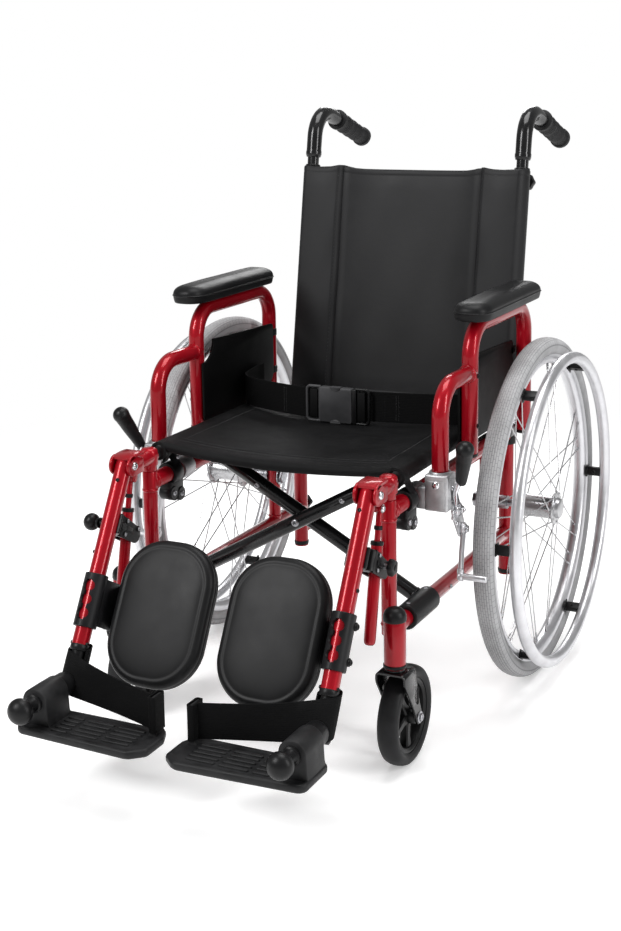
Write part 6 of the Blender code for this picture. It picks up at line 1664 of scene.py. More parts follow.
def footplate_shape(mesh):
    layers = [(0.006, PLATE_LOW), (0.0022, PLATE_LOW + 0.0004), (0.0006, PLATE_LOW + 0.0022),
        (0, PLATE_LOW + 0.0046)]
    layers += [(0, PLATE_TOP - 0.003), (0.0008, PLATE_TOP - 0.001), (0.0022, PLATE_TOP - 0.0001),
        (0.0044, PLATE_TOP)]
    layers += [(0.006, PLATE_TOP - 0.0002), (0.0072, PLATE_TOP - 0.0012), (0.009, PLATE_TOP - 0.0014)]
    outline_loft(mesh, [(plate_outline(inset), z) for inset, z in layers])
    # treads: long ribs with round ends, in three fields
    for row in range(TREAD_ROWS):
        y = PLATE_FRONT + 0.02 + TREAD_PITCH * row
        for x0, x1 in TREAD_FIELDS:
            rib = []
            for inset, rise in ((0, -0.002), (0.0002, 0.0002), (0.0008, 0.001), (0.0016, 0.0012)):
                half = TREAD_HALF - inset
                corners = box_corners(PLATE_IN + x0 + inset, PLATE_IN + x1 - inset, y - half, y + half)
                rib.append((filleted(corners, [max(0.0024 - inset, 0.0004)] * 4, 3), PLATE_TOP + rise))
            outline_loft(mesh, rib)
    # the barrel: a rounded housing that grows out of the plate
    x, low = FRAME_X, PLATE_TOP - 0.004
    ends = ((0, -0.0016), (0.0006, -0.0005), (0.0018, 0.0))
    rows = [(BARREL_FRONT + along, grow) for along, grow in ends] + [(BARREL_FRONT + 0.03, 0.0002)]
    rows += [(BARREL_BACK - along, grow) for along, grow in reversed(ends)]
    sections = []
    for y, grow in rows:
        r = BARREL_R + grow
        ring = [(x + r + 0.0036, low), (x + r + 0.0014, PLATE_TOP + 0.006)]
        ring += around((x, FOOT_Z), r, 0, 180, 22)
        ring += [(x - r - 0.0014, PLATE_TOP + 0.006), (x - r - 0.0036, low)]
        sections.append([spot(px, y, pz) for px, pz in ring])
    loft(mesh, sections)
    # the post of the heel strap, with its flared foot
    near = spot(POST_X, PLATE_BACK - 0.024, PLATE_TOP - 0.002)
    far = spot(POST_X + POST_THICK, PLATE_BACK - 0.002, PLATE_TOP + 0.054)
    block(mesh, near, far, 0.0014, 3)
    foot = []
    for grow, rise in ((0.006, -0.0012), (0.0034, 0.0014), (0.0012, 0.005), (0, 0.01)):
        left, right = POST_X - 0.0002 - grow * 0.6, POST_X + POST_THICK + 0.0002 + grow
        corners = box_corners(left, right, PLATE_BACK - 0.0242 - grow * 0.2, PLATE_BACK - 0.0018)
        foot.append((filleted(corners, [0.0012] * 4, 3), PLATE_TOP + rise))
    outline_loft(mesh, foot)
    for x in (PLATE_IN + 0.03, PLATE_IN + 0.11):
        for y in (PLATE_FRONT + 0.016, PLATE_FRONT + 0.056):
            low = spot(x, y, PLATE_LOW - 0.0006)
            block(mesh, low, low + Vector((0.066, 0.003, 0.0022)), 0.0006)


both_sides(footplate_shape, "footrest", tread_plastic, "footplate", "black_plastic", ["footplate"], sharp=42)

# %% [markdown]
# ## Back
# The back is a sling of coated fabric between the two canes. Its middle panel hangs back a little, and
# the two side panels are padded, wrap round the canes and meet the middle in a sewn seam. When the
# chair folds, the real middle crumples; here it is a piece of its own that rides on the right frame,
# while each side panel stays on its cane.

# %% Back measures
BACK_LOW, BACK_HIGH = 0.412, 0.816
SEAM_X = 0.13
BACK_EDGE = 0.2133
BACK_FRONT = -0.0172
BACK_THICK = 0.0042


def bell(offset, width):
    return exp(-((offset / width) ** 2))


def back_point(x, depth, z):
    """A point of the back: depth counts from the cane's axis, to the rear."""
    return cane_spot(z, depth, x)


def back_share(z):
    return (z - BACK_LOW) / (BACK_HIGH - BACK_LOW)


def top_wave(x, share):
    """The top hem stands in a small peak at each seam and each outer edge, and dips between them."""
    peak = 0.0042 * bell(abs(x) - SEAM_X, 0.016) + 0.003 * bell(abs(x) - BACK_EDGE, 0.016)
    return (peak - 0.0026) * share**10


def rows_of(low, high, inner=14):
    """Heights of the rows, close together at the hems, with how far each one pulls in."""
    ends = ((0, 0.0022), (0.001, 0.0009), (0.003, 0), (0.01, 0), (0.0108, 0.0003), (0.0125, 0))
    rows = [(low + up, pull) for up, pull in ends]
    span = high - low - 0.025
    rows += [(low + 0.0125 + span * i / (inner + 1), 0) for i in range(1, inner + 1)]
    return rows + [(high - up, pull) for up, pull in reversed(ends)]


def ripple(x, z):
    """Slow waves of slack cloth, a few tenths of a millimetre high."""
    return 0.0007 * sin(31 * x + 9 * z) * sin(17 * z + 4) + 0.0004 * sin(64 * x - 23 * z)


def back_middle_shape(mesh):
    sections = []
    for z, pull in rows_of(BACK_LOW + 0.001, BACK_HIGH - 0.001):
        front, rear = [], []
        for x in (SEAM_X * (2 * i / 36 - 1) for i in range(37)):
            sling = BACK_FRONT + 0.015 * (1 - abs(x / SEAM_X) ** 3.2)
            depth = sling + ripple(x, z) + 0.0042 * bell(abs(x) - SEAM_X, 0.004)
            height = z + top_wave(x, back_share(z))
            front.append(back_point(x, depth + pull, height))
            rear.append(back_point(x, depth + BACK_THICK - pull, height))
        sections.append(front + rear[::-1])
    loft(mesh, sections)


mesh = bmesh.new()
back_middle_shape(mesh)
back_middle = settle("back_middle", mesh, vinyl, "right_frame", "black_vinyl", ["back_upholstery"], sharp=60)
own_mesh(back_middle)
print("back middle:", len(back_middle.data.polygons), "faces")


# %% Side panels
def wing_front(x, z):
    """The padded face: it rises from the seam, is full at the middle and rolls over the cane."""
    share = (x - SEAM_X) / (BACK_EDGE - SEAM_X)
    swell = sin(pi * min(share * 0.84 + 0.08, 1.0)) ** 0.42
    fill = 1.0 - 0.3 * exp(-min(z - BACK_LOW, BACK_HIGH - z) / 0.014)
    swing = 0.0011 * sin(47 * z + 60 * x) * bell(x - SEAM_X, 0.02)
    return BACK_FRONT - 0.01 * swell * fill + swing + 0.4 * ripple(x, z)


def back_side_shape(mesh):
    rear = [(0.2095, -0.0138), (0.2126, -0.0085), (BACK_EDGE, -0.002), (0.2122, 0.006), (0.2075, 0.0118)]
    rear += [(0.199, 0.0142), (0.19, 0.0138), (0.183, 0.0105), (0.176, 0.006), (0.15, 0.0046)]
    sections = []
    for z, pull in rows_of(BACK_LOW, BACK_HIGH):
        xs = [SEAM_X + (0.2035 - SEAM_X) * i / 14 for i in range(1, 15)]
        points = [(SEAM_X, BACK_THICK), (SEAM_X, -0.0125)] + [(x, wing_front(x, z)) for x in xs] + rear
        loop = []
        for x, depth in points:
            inward = Vector((x - 0.172, depth + 0.006)).normalized() * pull
            if x == SEAM_X:
                inward.x = 0
            loop.append(back_point(x - inward.x, depth - inward.y, z + top_wave(x, back_share(z))))
        sections.append(loop)
    loft(mesh, sections)


for wing in both_sides(back_side_shape, "back_wing", vinyl, "frame", "black_vinyl", sharp=60):
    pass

# %% [markdown]
# ### Stitches
# A sewn line is a row of short raised threads. One small lofted bead is laid every four millimetres
# along a line, beside the seams and along the hems.


# %% A row of stitches
def stitch_row(mesh, points, pitch=0.0042, size=0.00042):
    """Beads of thread along a row of points."""
    points = [Vector(p) for p in points]
    left_over = 0.0
    for start, end in zip(points, points[1:]):
        way = end - start
        length = way.length
        way.normalize()
        along = left_over
        while along + pitch * 0.7 < length:
            a, b = start + way * along, start + way * (along + pitch * 0.68)
            pipe(mesh, [a, a.lerp(b, 0.2), a.lerp(b, 0.8), b], [size * 0.4, size, size, size * 0.4], 5)
            along += pitch
        left_over = max(along - length, 0.0)


def back_side_stitches(mesh):
    x = SEAM_X + 0.0062
    rows = [BACK_LOW + 0.014 + (BACK_HIGH - BACK_LOW - 0.028) * i / 60 for i in range(61)]
    stitch_row(mesh, [back_point(x, wing_front(x, z) - 0.0002, z) for z in rows])
    xs = [SEAM_X + 0.008 + (0.202 - SEAM_X - 0.008) * i / 12 for i in range(13)]
    for z in (BACK_LOW + 0.011, BACK_HIGH - 0.011):
        stitch_row(mesh, [back_point(x, wing_front(x, z) + 0.0002, z + top_wave(x, back_share(z)))
            for x in xs])


both_sides(back_side_stitches, "back_wing_stitches", thread, "frame", "black_vinyl", sharp=0)

# %% [markdown]
# ## Seat
# The seat sling lies on the two seat rails and is drawn down round their outer sides. Between the
# rails it is padded and sags. The two rails belong to the two bars of the brace; the sling itself is
# one fixed piece, and only its two hem sleeves ride on the bars.

# %% Seat sling
SEAT_FRONT, SEAT_BACK = -0.386, 0.04
SEAT_TONGUE = 0.034
SEAT_TOP = RAIL_Z + RAIL_R + 0.004


def seat_top_at(x, share):
    across = min(abs(x) / (FRAME_X - RAIL_R), 1.0)
    sag = 0.0092 * (1 - across**2)
    near_front = 0.0034 * exp(-share / 0.035) * (1 - across**4)
    crease = 0.0012 * bell(share - 0.075, 0.01) * (1 - across**6)
    quilt = 0.0005 * sin(23 * x + 11 * share) * sin(13 * share + 2)
    return SEAT_TOP - sag - near_front - crease + quilt


def seat_y(x, share):
    """Between the canes the seat reaches further back than on its rails."""
    inside = min(max((0.1895 - abs(x)) / 0.006, 0.0), 1.0)
    back = SEAT_BACK + SEAT_TONGUE * inside * inside * (3 - 2 * inside)
    droop = 0.0035 * cos(pi * min(abs(x) / 0.19, 1.0) / 2) * exp(-share / 0.04)
    return SEAT_FRONT + droop + (back - SEAT_FRONT) * share


def seat_shape(mesh):
    ends = {0: 0.0072, 0.002: 0.0042, 0.006: 0.0018, 0.014: 0.0005, 0.986: 0.0006, 0.996: 0.003, 1: 0.0055}
    shares = [0, 0.002, 0.006, 0.014, 0.03, 0.05, 0.062, 0.069, 0.075, 0.081, 0.088, 0.1]
    shares += [0.13 + 0.81 * i / 16 for i in range(17)] + [0.97, 0.986, 0.996, 1]
    wrap = [(0.193, 0.4288), (0.199, 0.4291), (0.206, 0.4272), (0.211, 0.4215), (0.2132, 0.415),
        (0.2128, 0.4098)]
    wrap_back = [(0.2106, 0.4098), (0.2108, 0.415), (0.2087, 0.4205), (0.204, 0.4248), (0.199, 0.4256)]
    wrap_back += [(0.1938, 0.4246), (0.19, 0.4196)]
    right_wrap, right_back = ([(-x, z) for x, z in reversed(part)] for part in (wrap, wrap_back))
    xs = [-0.1885 + 0.377 * i / 48 for i in range(49)]
    sections = []
    for share in shares:
        pull = ends.get(share, 0)
        top = [(x, seat_top_at(x, share) - pull) for x in xs]
        low = 0.003 * exp(-share / 0.1)
        under = [(x, seat_top_at(x, 0.5) - 0.0165 - low * cos(pi * x / 0.4) + pull) for x in reversed(xs)]
        outline = right_wrap + top + wrap + wrap_back + under + right_back
        sections.append([spot(x, seat_y(x, share), z) for x, z in outline])
    loft(mesh, sections)


mesh = bmesh.new()
seat_shape(mesh)
seat = settle("seat_sling", mesh, nylon, None, "black_vinyl", ["seat_upholstery"], sharp=60)
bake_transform(seat)
print("seat:", len(seat.data.polygons), "faces")

# %% Hem sleeves at the front of the rails
# At its front end the sling is sewn into a closed sleeve round each rail, with a turned hem.
hem = [(0.0112, 0), (0.0131, 0), (0.0143, 0.0012), (0.0143, 0.005), (0.0136, 0.0056), (0.0141, 0.0064)]
hem += [(0.0139, 0.0205), (0.013, 0.0218), (0.0112, 0.0218), (0.0112, 0)]
for side, sign, body in (("left", 1, "brace_front"), ("right", -1, "brace_rear")):
    mesh = bmesh.new()
    lathe(mesh, hem, at(sign * FRAME_X, SEAT_FRONT - 0.0006, RAIL_Z) @ turned(-90, "X"), 40)
    settle(f"{side}_seat_sleeve", mesh, nylon, body, "black_vinyl")
print("seat sleeves made")

# %% Seat stitches
# Two rows follow the crease behind the front hem, and one runs down beside each rail.
mesh = bmesh.new()
lines = [[(-0.176 + 0.352 * i / 40, share) for i in range(41)] for share in (0.06, 0.086)]
lines += [[(x, 0.09 + 0.88 * i / 30) for i in range(31)] for x in (-0.172, 0.172)]
for line in lines:
    stitch_row(mesh, [spot(x, seat_y(x, share), seat_top_at(x, share) + 0.0002) for x, share in line])
stitches = settle("seat_stitches", mesh, thread, None, "black_vinyl", sharp=0)
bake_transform(stitches)
print("seat stitches:", len(stitches.data.polygons), "faces")

# %% [markdown]
# ## Pads
# An armrest pad is foam under vinyl: a domed top, a welt where its cover meets the skirt, an upright
# skirt, and a flat underside on the tube. Its plan is round at the front and square at the back. It is
# lofted through stacked outlines and one level of subdivision rounds it off.

# %% Armrest pads
PAD_LOW = ARM_TOP + TUBE + 0.0003
PAD_FRONT, PAD_BACK = -0.222, 0.054
PAD_WIDTH = 0.062
PAD_X = ARM_X + 0.0065


def pad_plan(inset, back_inset):
    """Outline of the pad seen from above, pulled in by an inset."""
    w, nose = PAD_WIDTH / 2 - inset, 0.034 - inset
    start, back = PAD_FRONT + inset + nose, PAD_BACK - back_inset
    corner = max(0.011 - inset * 0.5, 0.004)
    points = [(w * fuller(a, 0.78), start + nose * b) for a, b in around((0, 0), 1, 180, 360, 16)]
    shares = (0.2, 0.4, 0.6, 0.8)
    points += [(w, start + (back - corner - start) * share) for share in shares]
    for side, turn in ((1, 0), (-1, 90)):
        points += around((side * (w - corner), back - corner), corner, turn, turn + 90, 5)
    return points + [(-w, start + (back - corner - start) * share) for share in reversed(shares)]


def arm_pad_shape(mesh):
    layers = [(0, 0.0062), (0.0004, 0.0042), (0.0016, 0.003), (0.006, 0.002), (0.0106, 0.0012),
        (0.0117, 0.0012)]
    layers += [(0.0122, 0.0002), (0.013, -0.0002), (0.0138, 0.0003), (0.0142, 0.0014), (0.0155, 0.001),
        (0.019, 0.0014)]
    layers += [(0.0226, 0.0034), (0.0258, 0.007), (0.0281, 0.0118), (0.0296, 0.0172), (0.0303, 0.0232)]
    sections = []
    for rise, inset in layers:
        loop = []
        for x, y in pad_plan(inset, inset * 0.75 if rise > 0.012 else inset):
            lift = rise
            if rise > 0.0145:
                lift += 0.0012 * sin(pi * (y - PAD_FRONT) / (PAD_BACK - PAD_FRONT)) - 0.001
                lift += 0.0004 * sin(41 * y + 60 * x)
            loop.append(spot(PAD_X + x, y, PAD_LOW + lift))
        sections.append(loop)
    loft(mesh, sections)


cushion = {"finish": pad_vinyl, "slot": "black_vinyl", "sharp": 0, "levels": 1}
for pad in both_sides(arm_pad_shape, "armrest_cushion", body="armrest", replaced=["armrest_pad"], **cushion):
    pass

# %% [markdown]
# ### Calf pads
# The calf pad is an upright oblong with full corners: a crowned, smooth face, a welt round its edge, a
# thin border, and a hard tray that holds it from behind. It lies square to the leg tube, so its shape
# is made in the tube's own frame, in which local Z goes up the tube and local Y to its rear.

# %% Calf pads and trays
CALF_WIDTH, CALF_LENGTH = 0.153, 0.212
CALF_PAD_PLACE = leg_frame(CALF_DISTANCE, CALF_X)
CALF_CORNER, DEEPEST_INSET, SHRINK_REACH = 0.066, 0.0166, 0.0599


def calf_loop(inset, depth):
    """An upright oblong whose ends are nearly half circles; far in, it shrinks towards its middle."""
    shrink = 1.0 - max(inset - DEEPEST_INSET, 0) / SHRINK_REACH
    inset = min(inset, DEEPEST_INSET)
    corner = CALF_CORNER - inset * 0.95
    across, along = CALF_WIDTH / 2 - inset - corner, CALF_LENGTH / 2 - inset - corner
    loop = []
    for turn, (side, end) in enumerate(((1, 1), (-1, 1), (-1, -1), (1, -1))):
        loop += around((side * across, end * along), corner, 90 * turn, 90 * turn + 90, 16)
    return [CALF_PAD_PLACE @ Vector((x * shrink, depth, z * shrink)) for x, z in loop]


def calf_pad_shape(mesh):
    layers = [(0.0034, 0.0002), (0.001, 0.001), (0.0002, 0.003), (0.0002, 0.0078), (0.0012, 0.0086),
        (0.0004, 0.0094)]
    layers += [(0, 0.0124), (0.0008, 0.0166), (0.003, 0.02), (0.0064, 0.0223), (0.0098, 0.0232),
        (0.0118, 0.0228)]
    layers += [(0.0138, 0.0226), (0.0166, 0.0235), (0.025, 0.0247), (0.038, 0.0255), (0.052, 0.0259),
        (0.064, 0.026)]
    loft(mesh, [calf_loop(inset, CALF_BACK - rise) for inset, rise in layers + [(0.072, 0.026)]])


def calf_tray_shape(mesh):
    layers = [(0.0138, 0.008), (0.0083, 0.0078), (0.0038, 0.006), (0.0016, 0.0024), (0.0006, -0.0006)]
    layers += [(0.0014, -0.001), (0.0038, -0.0004)]
    loft(mesh, [calf_loop(inset, CALF_BACK + depth) for inset, depth in layers])
    socket = [(0, 0), (0.0075, 0), (0.007, 0.0024), (0.0042, 0.0024), (0.0038, 0.0006), (0, 0.0006)]
    for z in (0.034, -0.034):
        for x in (-0.03, 0.03):
            lathe(mesh, socket, CALF_PAD_PLACE @ shift(x, CALF_BACK + 0.007, z) @ turned(-90, "X"), 18)


for pad in both_sides(calf_pad_shape, "calf_cushion", body="calf", replaced=["calf_pad"], **cushion):
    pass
both_sides(calf_tray_shape, "calf_tray", plastic, "calf", "black_plastic")

# %% [markdown]
# ## Lap belt
# The belt is flat webbing, two lengths with a buckle between them. A band is a loft of a thin rounded
# section along a path, and its UV map is laid on it as it is made: one unit a metre along and across,
# so that the weave runs with the band. Each length rides on its own side frame.


# %% A band of webbing
def band_sections(path, width, thickness):
    """Sections of a band that stands upright: path points carry (x, y, z)."""
    half, edge, crown = width / 2, thickness / 2, 0.0002
    ring = [(-half, 0), (-half + edge * 0.5, -edge), (-half * 0.5, -edge - crown),
        (half * 0.5, -edge - crown)]
    ring += [(half - edge * 0.5, -edge), (half, 0), (half - edge * 0.5, edge), (half * 0.5, edge - crown)]
    ring += [(-half * 0.5, edge - crown), (-half + edge * 0.5, edge)]
    sections = []
    for index, point in enumerate(path):
        way = path[min(index + 1, len(path) - 1)] - path[max(index - 1, 0)]
        flat_way = Vector((way.x, way.y, 0)).normalized()
        out = Vector((flat_way.y, -flat_way.x, 0))
        sections.append([point + Vector((0, 0, a)) + out * b for a, b in ring])
    return sections


def weave_map(made, path):
    """UV map 'weave': u along the path and v up the band, in metres."""
    layer = made.data.uv_layers.new(name="weave")
    lengths = lengths_along(path)
    for face in made.data.polygons:
        for corner in face.loop_indices:
            co = made.data.vertices[made.data.loops[corner].vertex_index].co
            nearest = min(range(len(path)), key=lambda i: (path[i].xy - co.xy).length_squared)
            layer.data[corner].uv = (lengths[nearest], co.z - path[nearest].z)


def smooth_path(points, per_leg=10):
    """A soft curve through points, by Catmull and Rom's rule."""
    points = [Vector(p) for p in points]
    more = [points[0] * 2 - points[1]] + points + [points[-1] * 2 - points[-2]]
    path = []
    for a, b, c, d in zip(more, more[1:], more[2:], more[3:]):
        for t in (step / per_leg for step in range(per_leg)):
            square, cube = 2 * a - 5 * b + 4 * c - d, 3 * b - a - 3 * c + d
            path.append(0.5 * (2 * b + (c - a) * t + square * t**2 + cube * t**3))
    return path + [points[-1]]


# %% Belt lengths
BELT_Z, BELT_Y = 0.454, -0.13
BELT_WIDTH = 0.05
BELT_END_X, BELT_END_Y = ARM_X - TUBE - 0.0052, 0.01
BUCKLE_LOW_X, BUCKLE_HIGH_X = -0.068, 0.048
BUCKLE_DROP = 0.0035


def belt_route(sign, buckle_x, behind):
    """From the buckle to the side board; behind is how far the band starts behind the buckle's middle."""
    start_y = BELT_Y + behind
    route = [(buckle_x, start_y, BELT_Z - BUCKLE_DROP)]
    route.append((buckle_x + sign * 0.045, start_y + 0.0008, BELT_Z - BUCKLE_DROP * 0.7))
    ends = ((0.046, BELT_Y + 0.02), (0.013, BELT_Y + 0.052), (0.0015, BELT_END_Y - 0.03),
        (0.0012, BELT_END_Y))
    route += [(sign * (BELT_END_X - inner), y, BELT_Z) for inner, y in ends]
    return smooth_path([spot(*point) for point in route])


# The left band lies behind the tongue's bars, so that the tongue slides along it as the buckle opens.
BELT_ENDS = (("left", 1, 0.031, 0.0078, 0.381, 0.222), ("right", -1, -0.051, 0.001, 0.306, -0.222))
for side, sign, buckle_x, behind, keep, anchor_x in BELT_ENDS:
    frame_body = f"{side}_frame"
    route = belt_route(sign, buckle_x, behind)
    mesh = bmesh.new()
    loft(mesh, band_sections(route, BELT_WIDTH, 0.0022))
    band = settle(f"belt_{side}_webbing", mesh, webbing, frame_body, "black_webbing", [f"belt_{side}"],
        sharp=50)
    weave_map(band, route)
    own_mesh(band)
    mesh = bmesh.new()
    for share in (0.55, 0.62, 0.93, 1.0):
        foot = route[0].lerp(route[12], share)
        stitch_row(mesh, [foot + Vector((0, -0.0016, z)) for z in (-0.0215, 0.0215)], 0.003)
    thread_rows = settle(f"belt_{side}_stitches", mesh, thread, frame_body, "black_webbing", sharp=0)
    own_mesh(thread_rows)


# %% Buckle
BUCKLE_PLACE = at(0, BELT_Y, BELT_Z - BUCKLE_DROP)


def slab(mesh, outline, low, high, edge):
    """A flat piece with softened edges, from its outline in the buckle's XZ and its two depths in Y."""
    middle = Vector((sum(p[0] for p in outline), 0, sum(p[1] for p in outline))) / len(outline)
    front = ((low, edge), (low + edge * 0.4, edge * 0.35), (low + edge, 0))
    sections = []
    for depth, inset in (*front, (high - edge, 0), (high - edge * 0.4, edge * 0.35), (high, edge)):
        loop = []
        for px, pz in outline:
            away = Vector((px - middle.x, 0, pz - middle.z))
            point = middle + away * max(away.length - inset, 0.0) / away.length
            loop.append(BUCKLE_PLACE @ Vector((point.x, depth, point.z)))
        sections.append(loop)
    loft(mesh, sections)


def corners(points, radius, steps=5):
    """A closed outline with its corners rounded."""
    out = []
    for index, point in enumerate(points):
        here = Vector(point)
        before, after = Vector(points[index - 1]) - here, Vector(points[(index + 1) % len(points)]) - here
        r = min(radius, before.length * 0.45, after.length * 0.45)
        a, b = here + before.normalized() * r, here + after.normalized() * r
        for t in (step / steps for step in range(steps + 1)):
            out.append(tuple(a * (1 - t) ** 2 + here * 2 * t * (1 - t) + b * t * t))
    return out


def upright_box(low, high, left_half, right_half):
    """The outline of a part whose two ends have their own half heights."""
    return [(low, -left_half), (low, left_half), (high, right_half), (high, -right_half)]


def ladder(mesh, root, end):
    """The frame that takes the webbing: a rounded hoop and a cross bar inside it."""
    way = 1 if end > root else -1
    rim = end - way * 0.0024
    hoop = [(root, 0.0286), (rim - way * 0.004, 0.0286), (rim, 0.0246)]
    hoop += [(x, -z) for x, z in reversed(hoop)]
    path = rounded([BUCKLE_PLACE @ Vector((x, -0.002, z)) for x, z in hoop], 0.004, 4)
    pipe(mesh, path, [0.0024] * len(path), 14)
    middle = (root + rim) / 2 + way * 0.002
    for x, y, high, radius in ((middle, 0.001, 0.0286, 0.0026), (root + way * 0.0035, 0.0, 0.0288, 0.003)):
        pipe(mesh, [BUCKLE_PLACE @ Vector((x, y, z)) for z in (-high, high)], [radius, radius], 12)


mesh = bmesh.new()
slab(mesh, corners(upright_box(-0.042, 0.0165, 0.029, 0.029), 0.0035), -0.0072, 0.0066, 0.0012)
for level in (-1, 1):
    thumb = [(-0.0125 + 0.0095 * a, level * (0.0302 - 0.0062 * b)) for a, b in around((0, 0), 1, 0, 180, 12)]
    slab(mesh, thumb, -0.0086, 0.003, 0.0006)
ladder(mesh, -0.0405, BUCKLE_LOW_X)
housing = settle("buckle_body", mesh, buckle_grey, "buckle", "black_plastic", ["buckle_housing"])

mesh = bmesh.new()
slab(mesh, corners(upright_box(-0.022, 0.0235, 0.014, 0.0165), 0.003), -0.003, 0.0024, 0.0006)
slab(mesh, corners(upright_box(0.0172, 0.024, 0.0286, 0.0286), 0.0018), -0.0056, 0.0052, 0.001)
ladder(mesh, 0.023, BUCKLE_HIGH_X)
tongue = settle("buckle_tongue", mesh, plastic, "buckle_insert", "black_plastic", ["buckle_insert"])
for name, body, middle in (("belt_turn_right", "buckle", -0.052), ("belt_turn_left", "buckle_insert", 0.033)):
    mesh = bmesh.new()
    slab(mesh, upright_box(middle - 0.0068, middle + 0.0068, 0.0246, 0.0246), -0.0052, 0.0052, 0.0022)
    settle(name, mesh, webbing_plain, body, "black_webbing", sharp=50)
print("buckle:", len(housing.data.polygons), "and", len(tongue.data.polygons), "faces")

# %% [markdown]
# ## Heel straps
# A wide strap is looped round the foot tube, runs behind the heel and is folded round the post at the
# footplate's inner edge. It is one fixed piece that rides on no body of the chair.

# %% Heel straps
STRAP_HEIGHT, STRAP_THICK = 0.052, 0.0024
STRAP_Z = PLATE_TOP + 0.0295
LOOP_R = EXTENSION_R + 0.0058
LOOP_STEPS = 18


def strap_loop():
    """The strap's way round the foot tube, from its inner side round the back to its front."""
    centre = leg_spot(EXTENSION_END - 0.041)
    turn = around((0, 0), LOOP_R, 200, -76, LOOP_STEPS)
    return [centre + Vector((a, b / cos(LEG_LEAN), -0.006)) for a, b in turn]


def strap_fold():
    """The strap's way round the post."""
    low, high = (POST_X - 0.0022, PLATE_BACK - 0.0264), (POST_X + 0.007, PLATE_BACK + 0.0004)
    outline = corners([(high[0], low[1]), high, (low[0], high[1]), low], 0.003, 4)
    return [spot(px, py, STRAP_Z) for px, py in outline + outline[:1]]


for side, sign in SIDES:
    loop, fold = strap_loop(), strap_fold()
    low = spot(POST_X + 0.0086, PLATE_BACK - 0.015, STRAP_Z)
    lead = [loop[-1].lerp(low, share) + Vector((0, sag, -sag)) for share,
        sag in ((0.3, 0.0026), (0.62, 0.003))]
    path = loop + smooth_path([loop[-1]] + lead + [low], 8)[1:]
    sections = band_sections(path, STRAP_HEIGHT, STRAP_THICK)
    for index, section in enumerate(sections):
        near_tube = max(0.0, 1 - max(0, index - LOOP_STEPS) / 20)
        for point in section:
            point.y += (point.z - loop[0].z) * tan(LEG_LEAN) * near_tube**2
    mesh = bmesh.new()
    loft(mesh, sections)
    loft(mesh, band_sections(fold, STRAP_HEIGHT, STRAP_THICK))
    bmesh.ops.scale(mesh, vec=(sign, 1, 1), verts=mesh.verts)
    name = f"{side}_heel_webbing"
    strap = settle(name, mesh, webbing, None, "black_webbing", [f"{side}_heel_strap"], sharp=50)
    route = [Vector((p.x * sign, p.y, p.z)) for p in path + fold]
    weave_map(strap, route)
    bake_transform(strap)

# %% [markdown]
# ## Push grips
# The push handle is a bent black tube. A glossy sleeve covers its bend. From the bend on it carries a
# long rubber grip: a collar at its front, finger swells, fine ribs and a domed cap.

# %% Grips
GRIP_START_Z = 0.832
GRIP_SLEEVE = 0.0135
GRIP_LENGTH = 0.128
HANDLE_BEND, HANDLE_END = cane_spot(0.925), spot(FRAME_X, 0.392, 0.86)


def grip_path():
    end = HANDLE_END + (HANDLE_END - HANDLE_BEND).normalized() * 0.0105
    return resampled(rounded([cane_spot(GRIP_START_Z), HANDLE_BEND, end], 0.05, 12), 0.0015)


def handle_sleeve_shape(mesh):
    path = grip_path()
    lengths = lengths_along(path)
    kept, radii = [], []
    for point, length in zip(path, lengths):
        if lengths[-1] - length > 0.02:
            kept.append(point)
            ring = 0.0007 if 0.004 < length < 0.011 else 0.0
            radii.append(GRIP_SLEEVE - 0.0012 * (1 - min(length / 0.0018, 1.0)) + ring)
    pipe(mesh, kept, radii, 32)


def grip_radius(left):
    """The grip's radius at a distance from its end: a collar, ribs on slow swells, a neck and a cap."""
    if left > GRIP_LENGTH - 0.002:
        return 0.0168
    if left > GRIP_LENGTH - 0.0085:
        return 0.019
    if left > 0.0125:
        share = (left - 0.0125) / (GRIP_LENGTH - 0.021)
        ridge = 0.5 + 0.5 * cos(2 * pi * left / 0.0058)
        return 0.0153 + 0.0014 * share + 0.0009 * ridge**2 + 0.0006 * cos(2 * pi * share * 4)
    if left > 0.0045:
        return 0.0183
    return 0.0183 - 0.006 * (1 - left / 0.0045) ** 2


def grip_shape(mesh):
    path = grip_path()
    lengths = lengths_along(path)
    rows = [(point, lengths[-1] - length) for point, length in zip(path, lengths)]
    rows = [(point, left) for point, left in rows if left <= GRIP_LENGTH]
    pipe(mesh, [point for point, left in rows], [grip_radius(left) for point, left in rows], 32)


both_sides(handle_sleeve_shape, "handle_sleeve", black_gloss, "push_handle", "black_rubber", sharp=45)
both_sides(grip_shape, "push_grip", rubber, "push_handle", "black_rubber", ["handle_grip"], sharp=45)

# %% Push handle tubes and their knobs
HANDLE_R = 0.0104
KNOB_R = 0.0145


def push_tube_shape(mesh):
    soft_pipe(mesh, rounded([cane_spot(CANE_TOP - 0.1), HANDLE_BEND, HANDLE_END], 0.05, 12), HANDLE_R, 32)


def cane_ring_shape(mesh):
    bore = HANDLE_R + 0.0004
    ring = [(bore, 0), (TUBE, 0), (TUBE + 0.0007, 0.001), (TUBE + 0.0007, 0.0056), (TUBE - 0.0004, 0.0068)]
    way = cane_spot(0.9) - cane_spot(0.8)
    lathe(mesh, ring + [(bore, 0.0068), (bore, 0)], frame_of(cane_spot(CANE_TOP + 0.0002), way), 36)


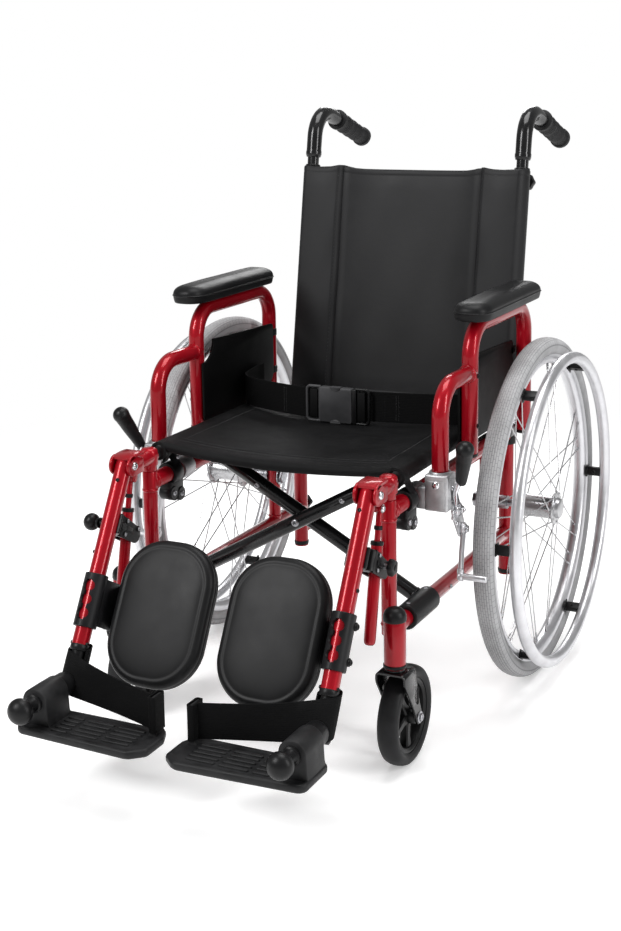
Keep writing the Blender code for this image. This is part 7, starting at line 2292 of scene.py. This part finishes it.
def handle_knob_shape(mesh):
    base = CANE_TOP - 0.014
    place = frame_of(cane_spot(base, TUBE + 0.0003), cane_spot(base, 0.1) - cane_spot(base, 0.0))
    rod(mesh, place, 0.0034, 0, 0.01, 20)
    lathe(mesh, [(0, 0.0064), (0.0062, 0.0064), (0.007, 0.0074), (0.0074, 0.0104), (0, 0.0104)], place, 28)
    lobed_knob(mesh, place @ shift(0, 0, 0.01), KNOB_R, 0.0168, 6, 0.12)


both_sides(push_tube_shape, "push_tube", black_gloss, "push_handle", "black_paint", ["push_handle"], sharp=50)
both_sides(cane_ring_shape, "cane_ring", plastic, "frame", "black_plastic")
both_sides(handle_knob_shape, "height_knob", plastic, "handle_knob", "black_plastic", ["handle_knob"],
    sharp=45)

# %% [markdown]
# ## Floor
# The floor is plain white and takes the chair's soft shadow. A little light of its own, seen only by
# the camera and in mirrors, lifts it, and further out it fades into the white of the backdrop.

# %% Floor
grid = bmesh.new()
bmesh.ops.create_grid(grid, x_segments=1, y_segments=1, size=14)
floor_data = bpy.data.meshes.new("floor")
grid.to_mesh(floor_data)
grid.free()
floor = linked("floor", floor_data)
floor_finish = bpy.data.materials.new("floor_white")
floor_finish.use_nodes = True
tree = floor_finish.node_tree
coat = tree.nodes["Principled BSDF"]
coat.inputs["Base Color"].default_value = (0.93, 0.93, 0.93, 1)
coat.inputs["Roughness"].default_value = 0.9
coat.inputs["Specular IOR Level"].default_value = 0.0
glow = add_node(tree, "Emission", Color=WHITE, Strength=0.3).outputs[0]
backdrop = add_node(tree, "Emission", Color=WHITE, Strength=1.0).outputs[0]
dark = add_node(tree, "Emission", Strength=0.0).outputs[0]
rays = add_node(tree, "LightPath").outputs
either = add_node(tree, "Math")
either.operation = "MAXIMUM"
tree.links.new(rays["Is Camera Ray"], either.inputs[0])
tree.links.new(rays["Is Glossy Ray"], either.inputs[1])
both = add_node(tree, "AddShader")
tree.links.new(coat.outputs[0], both.inputs[0])
tree.links.new(mixed(tree, either.outputs[0], dark, glow), both.inputs[1])
reach = add_node(tree, "VectorMath")
reach.operation = "LENGTH"
tree.links.new(add_node(tree, "TexCoord").outputs["Object"], reach.inputs[0])
fade = add_node(tree, "MapRange", From_Min=0.9, From_Max=2.0)
fade.interpolation_type = "SMOOTHSTEP"
tree.links.new(reach.outputs["Value"], fade.inputs["Value"])
surface = mixed(tree, fade.outputs["Result"], both.outputs[0], backdrop)
tree.links.new(surface, tree.nodes["Material Output"].inputs["Surface"])
floor_data.materials.append(floor_finish)
floor.location.z = -0.0002
floor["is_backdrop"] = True
print("floor ready")

# %% [markdown]
# ## Sizes
# The dressed chair should stay within the solids' box, apart from a few millimetres of soft cover.

# %% Measure the box of the dressed chair
low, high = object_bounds()
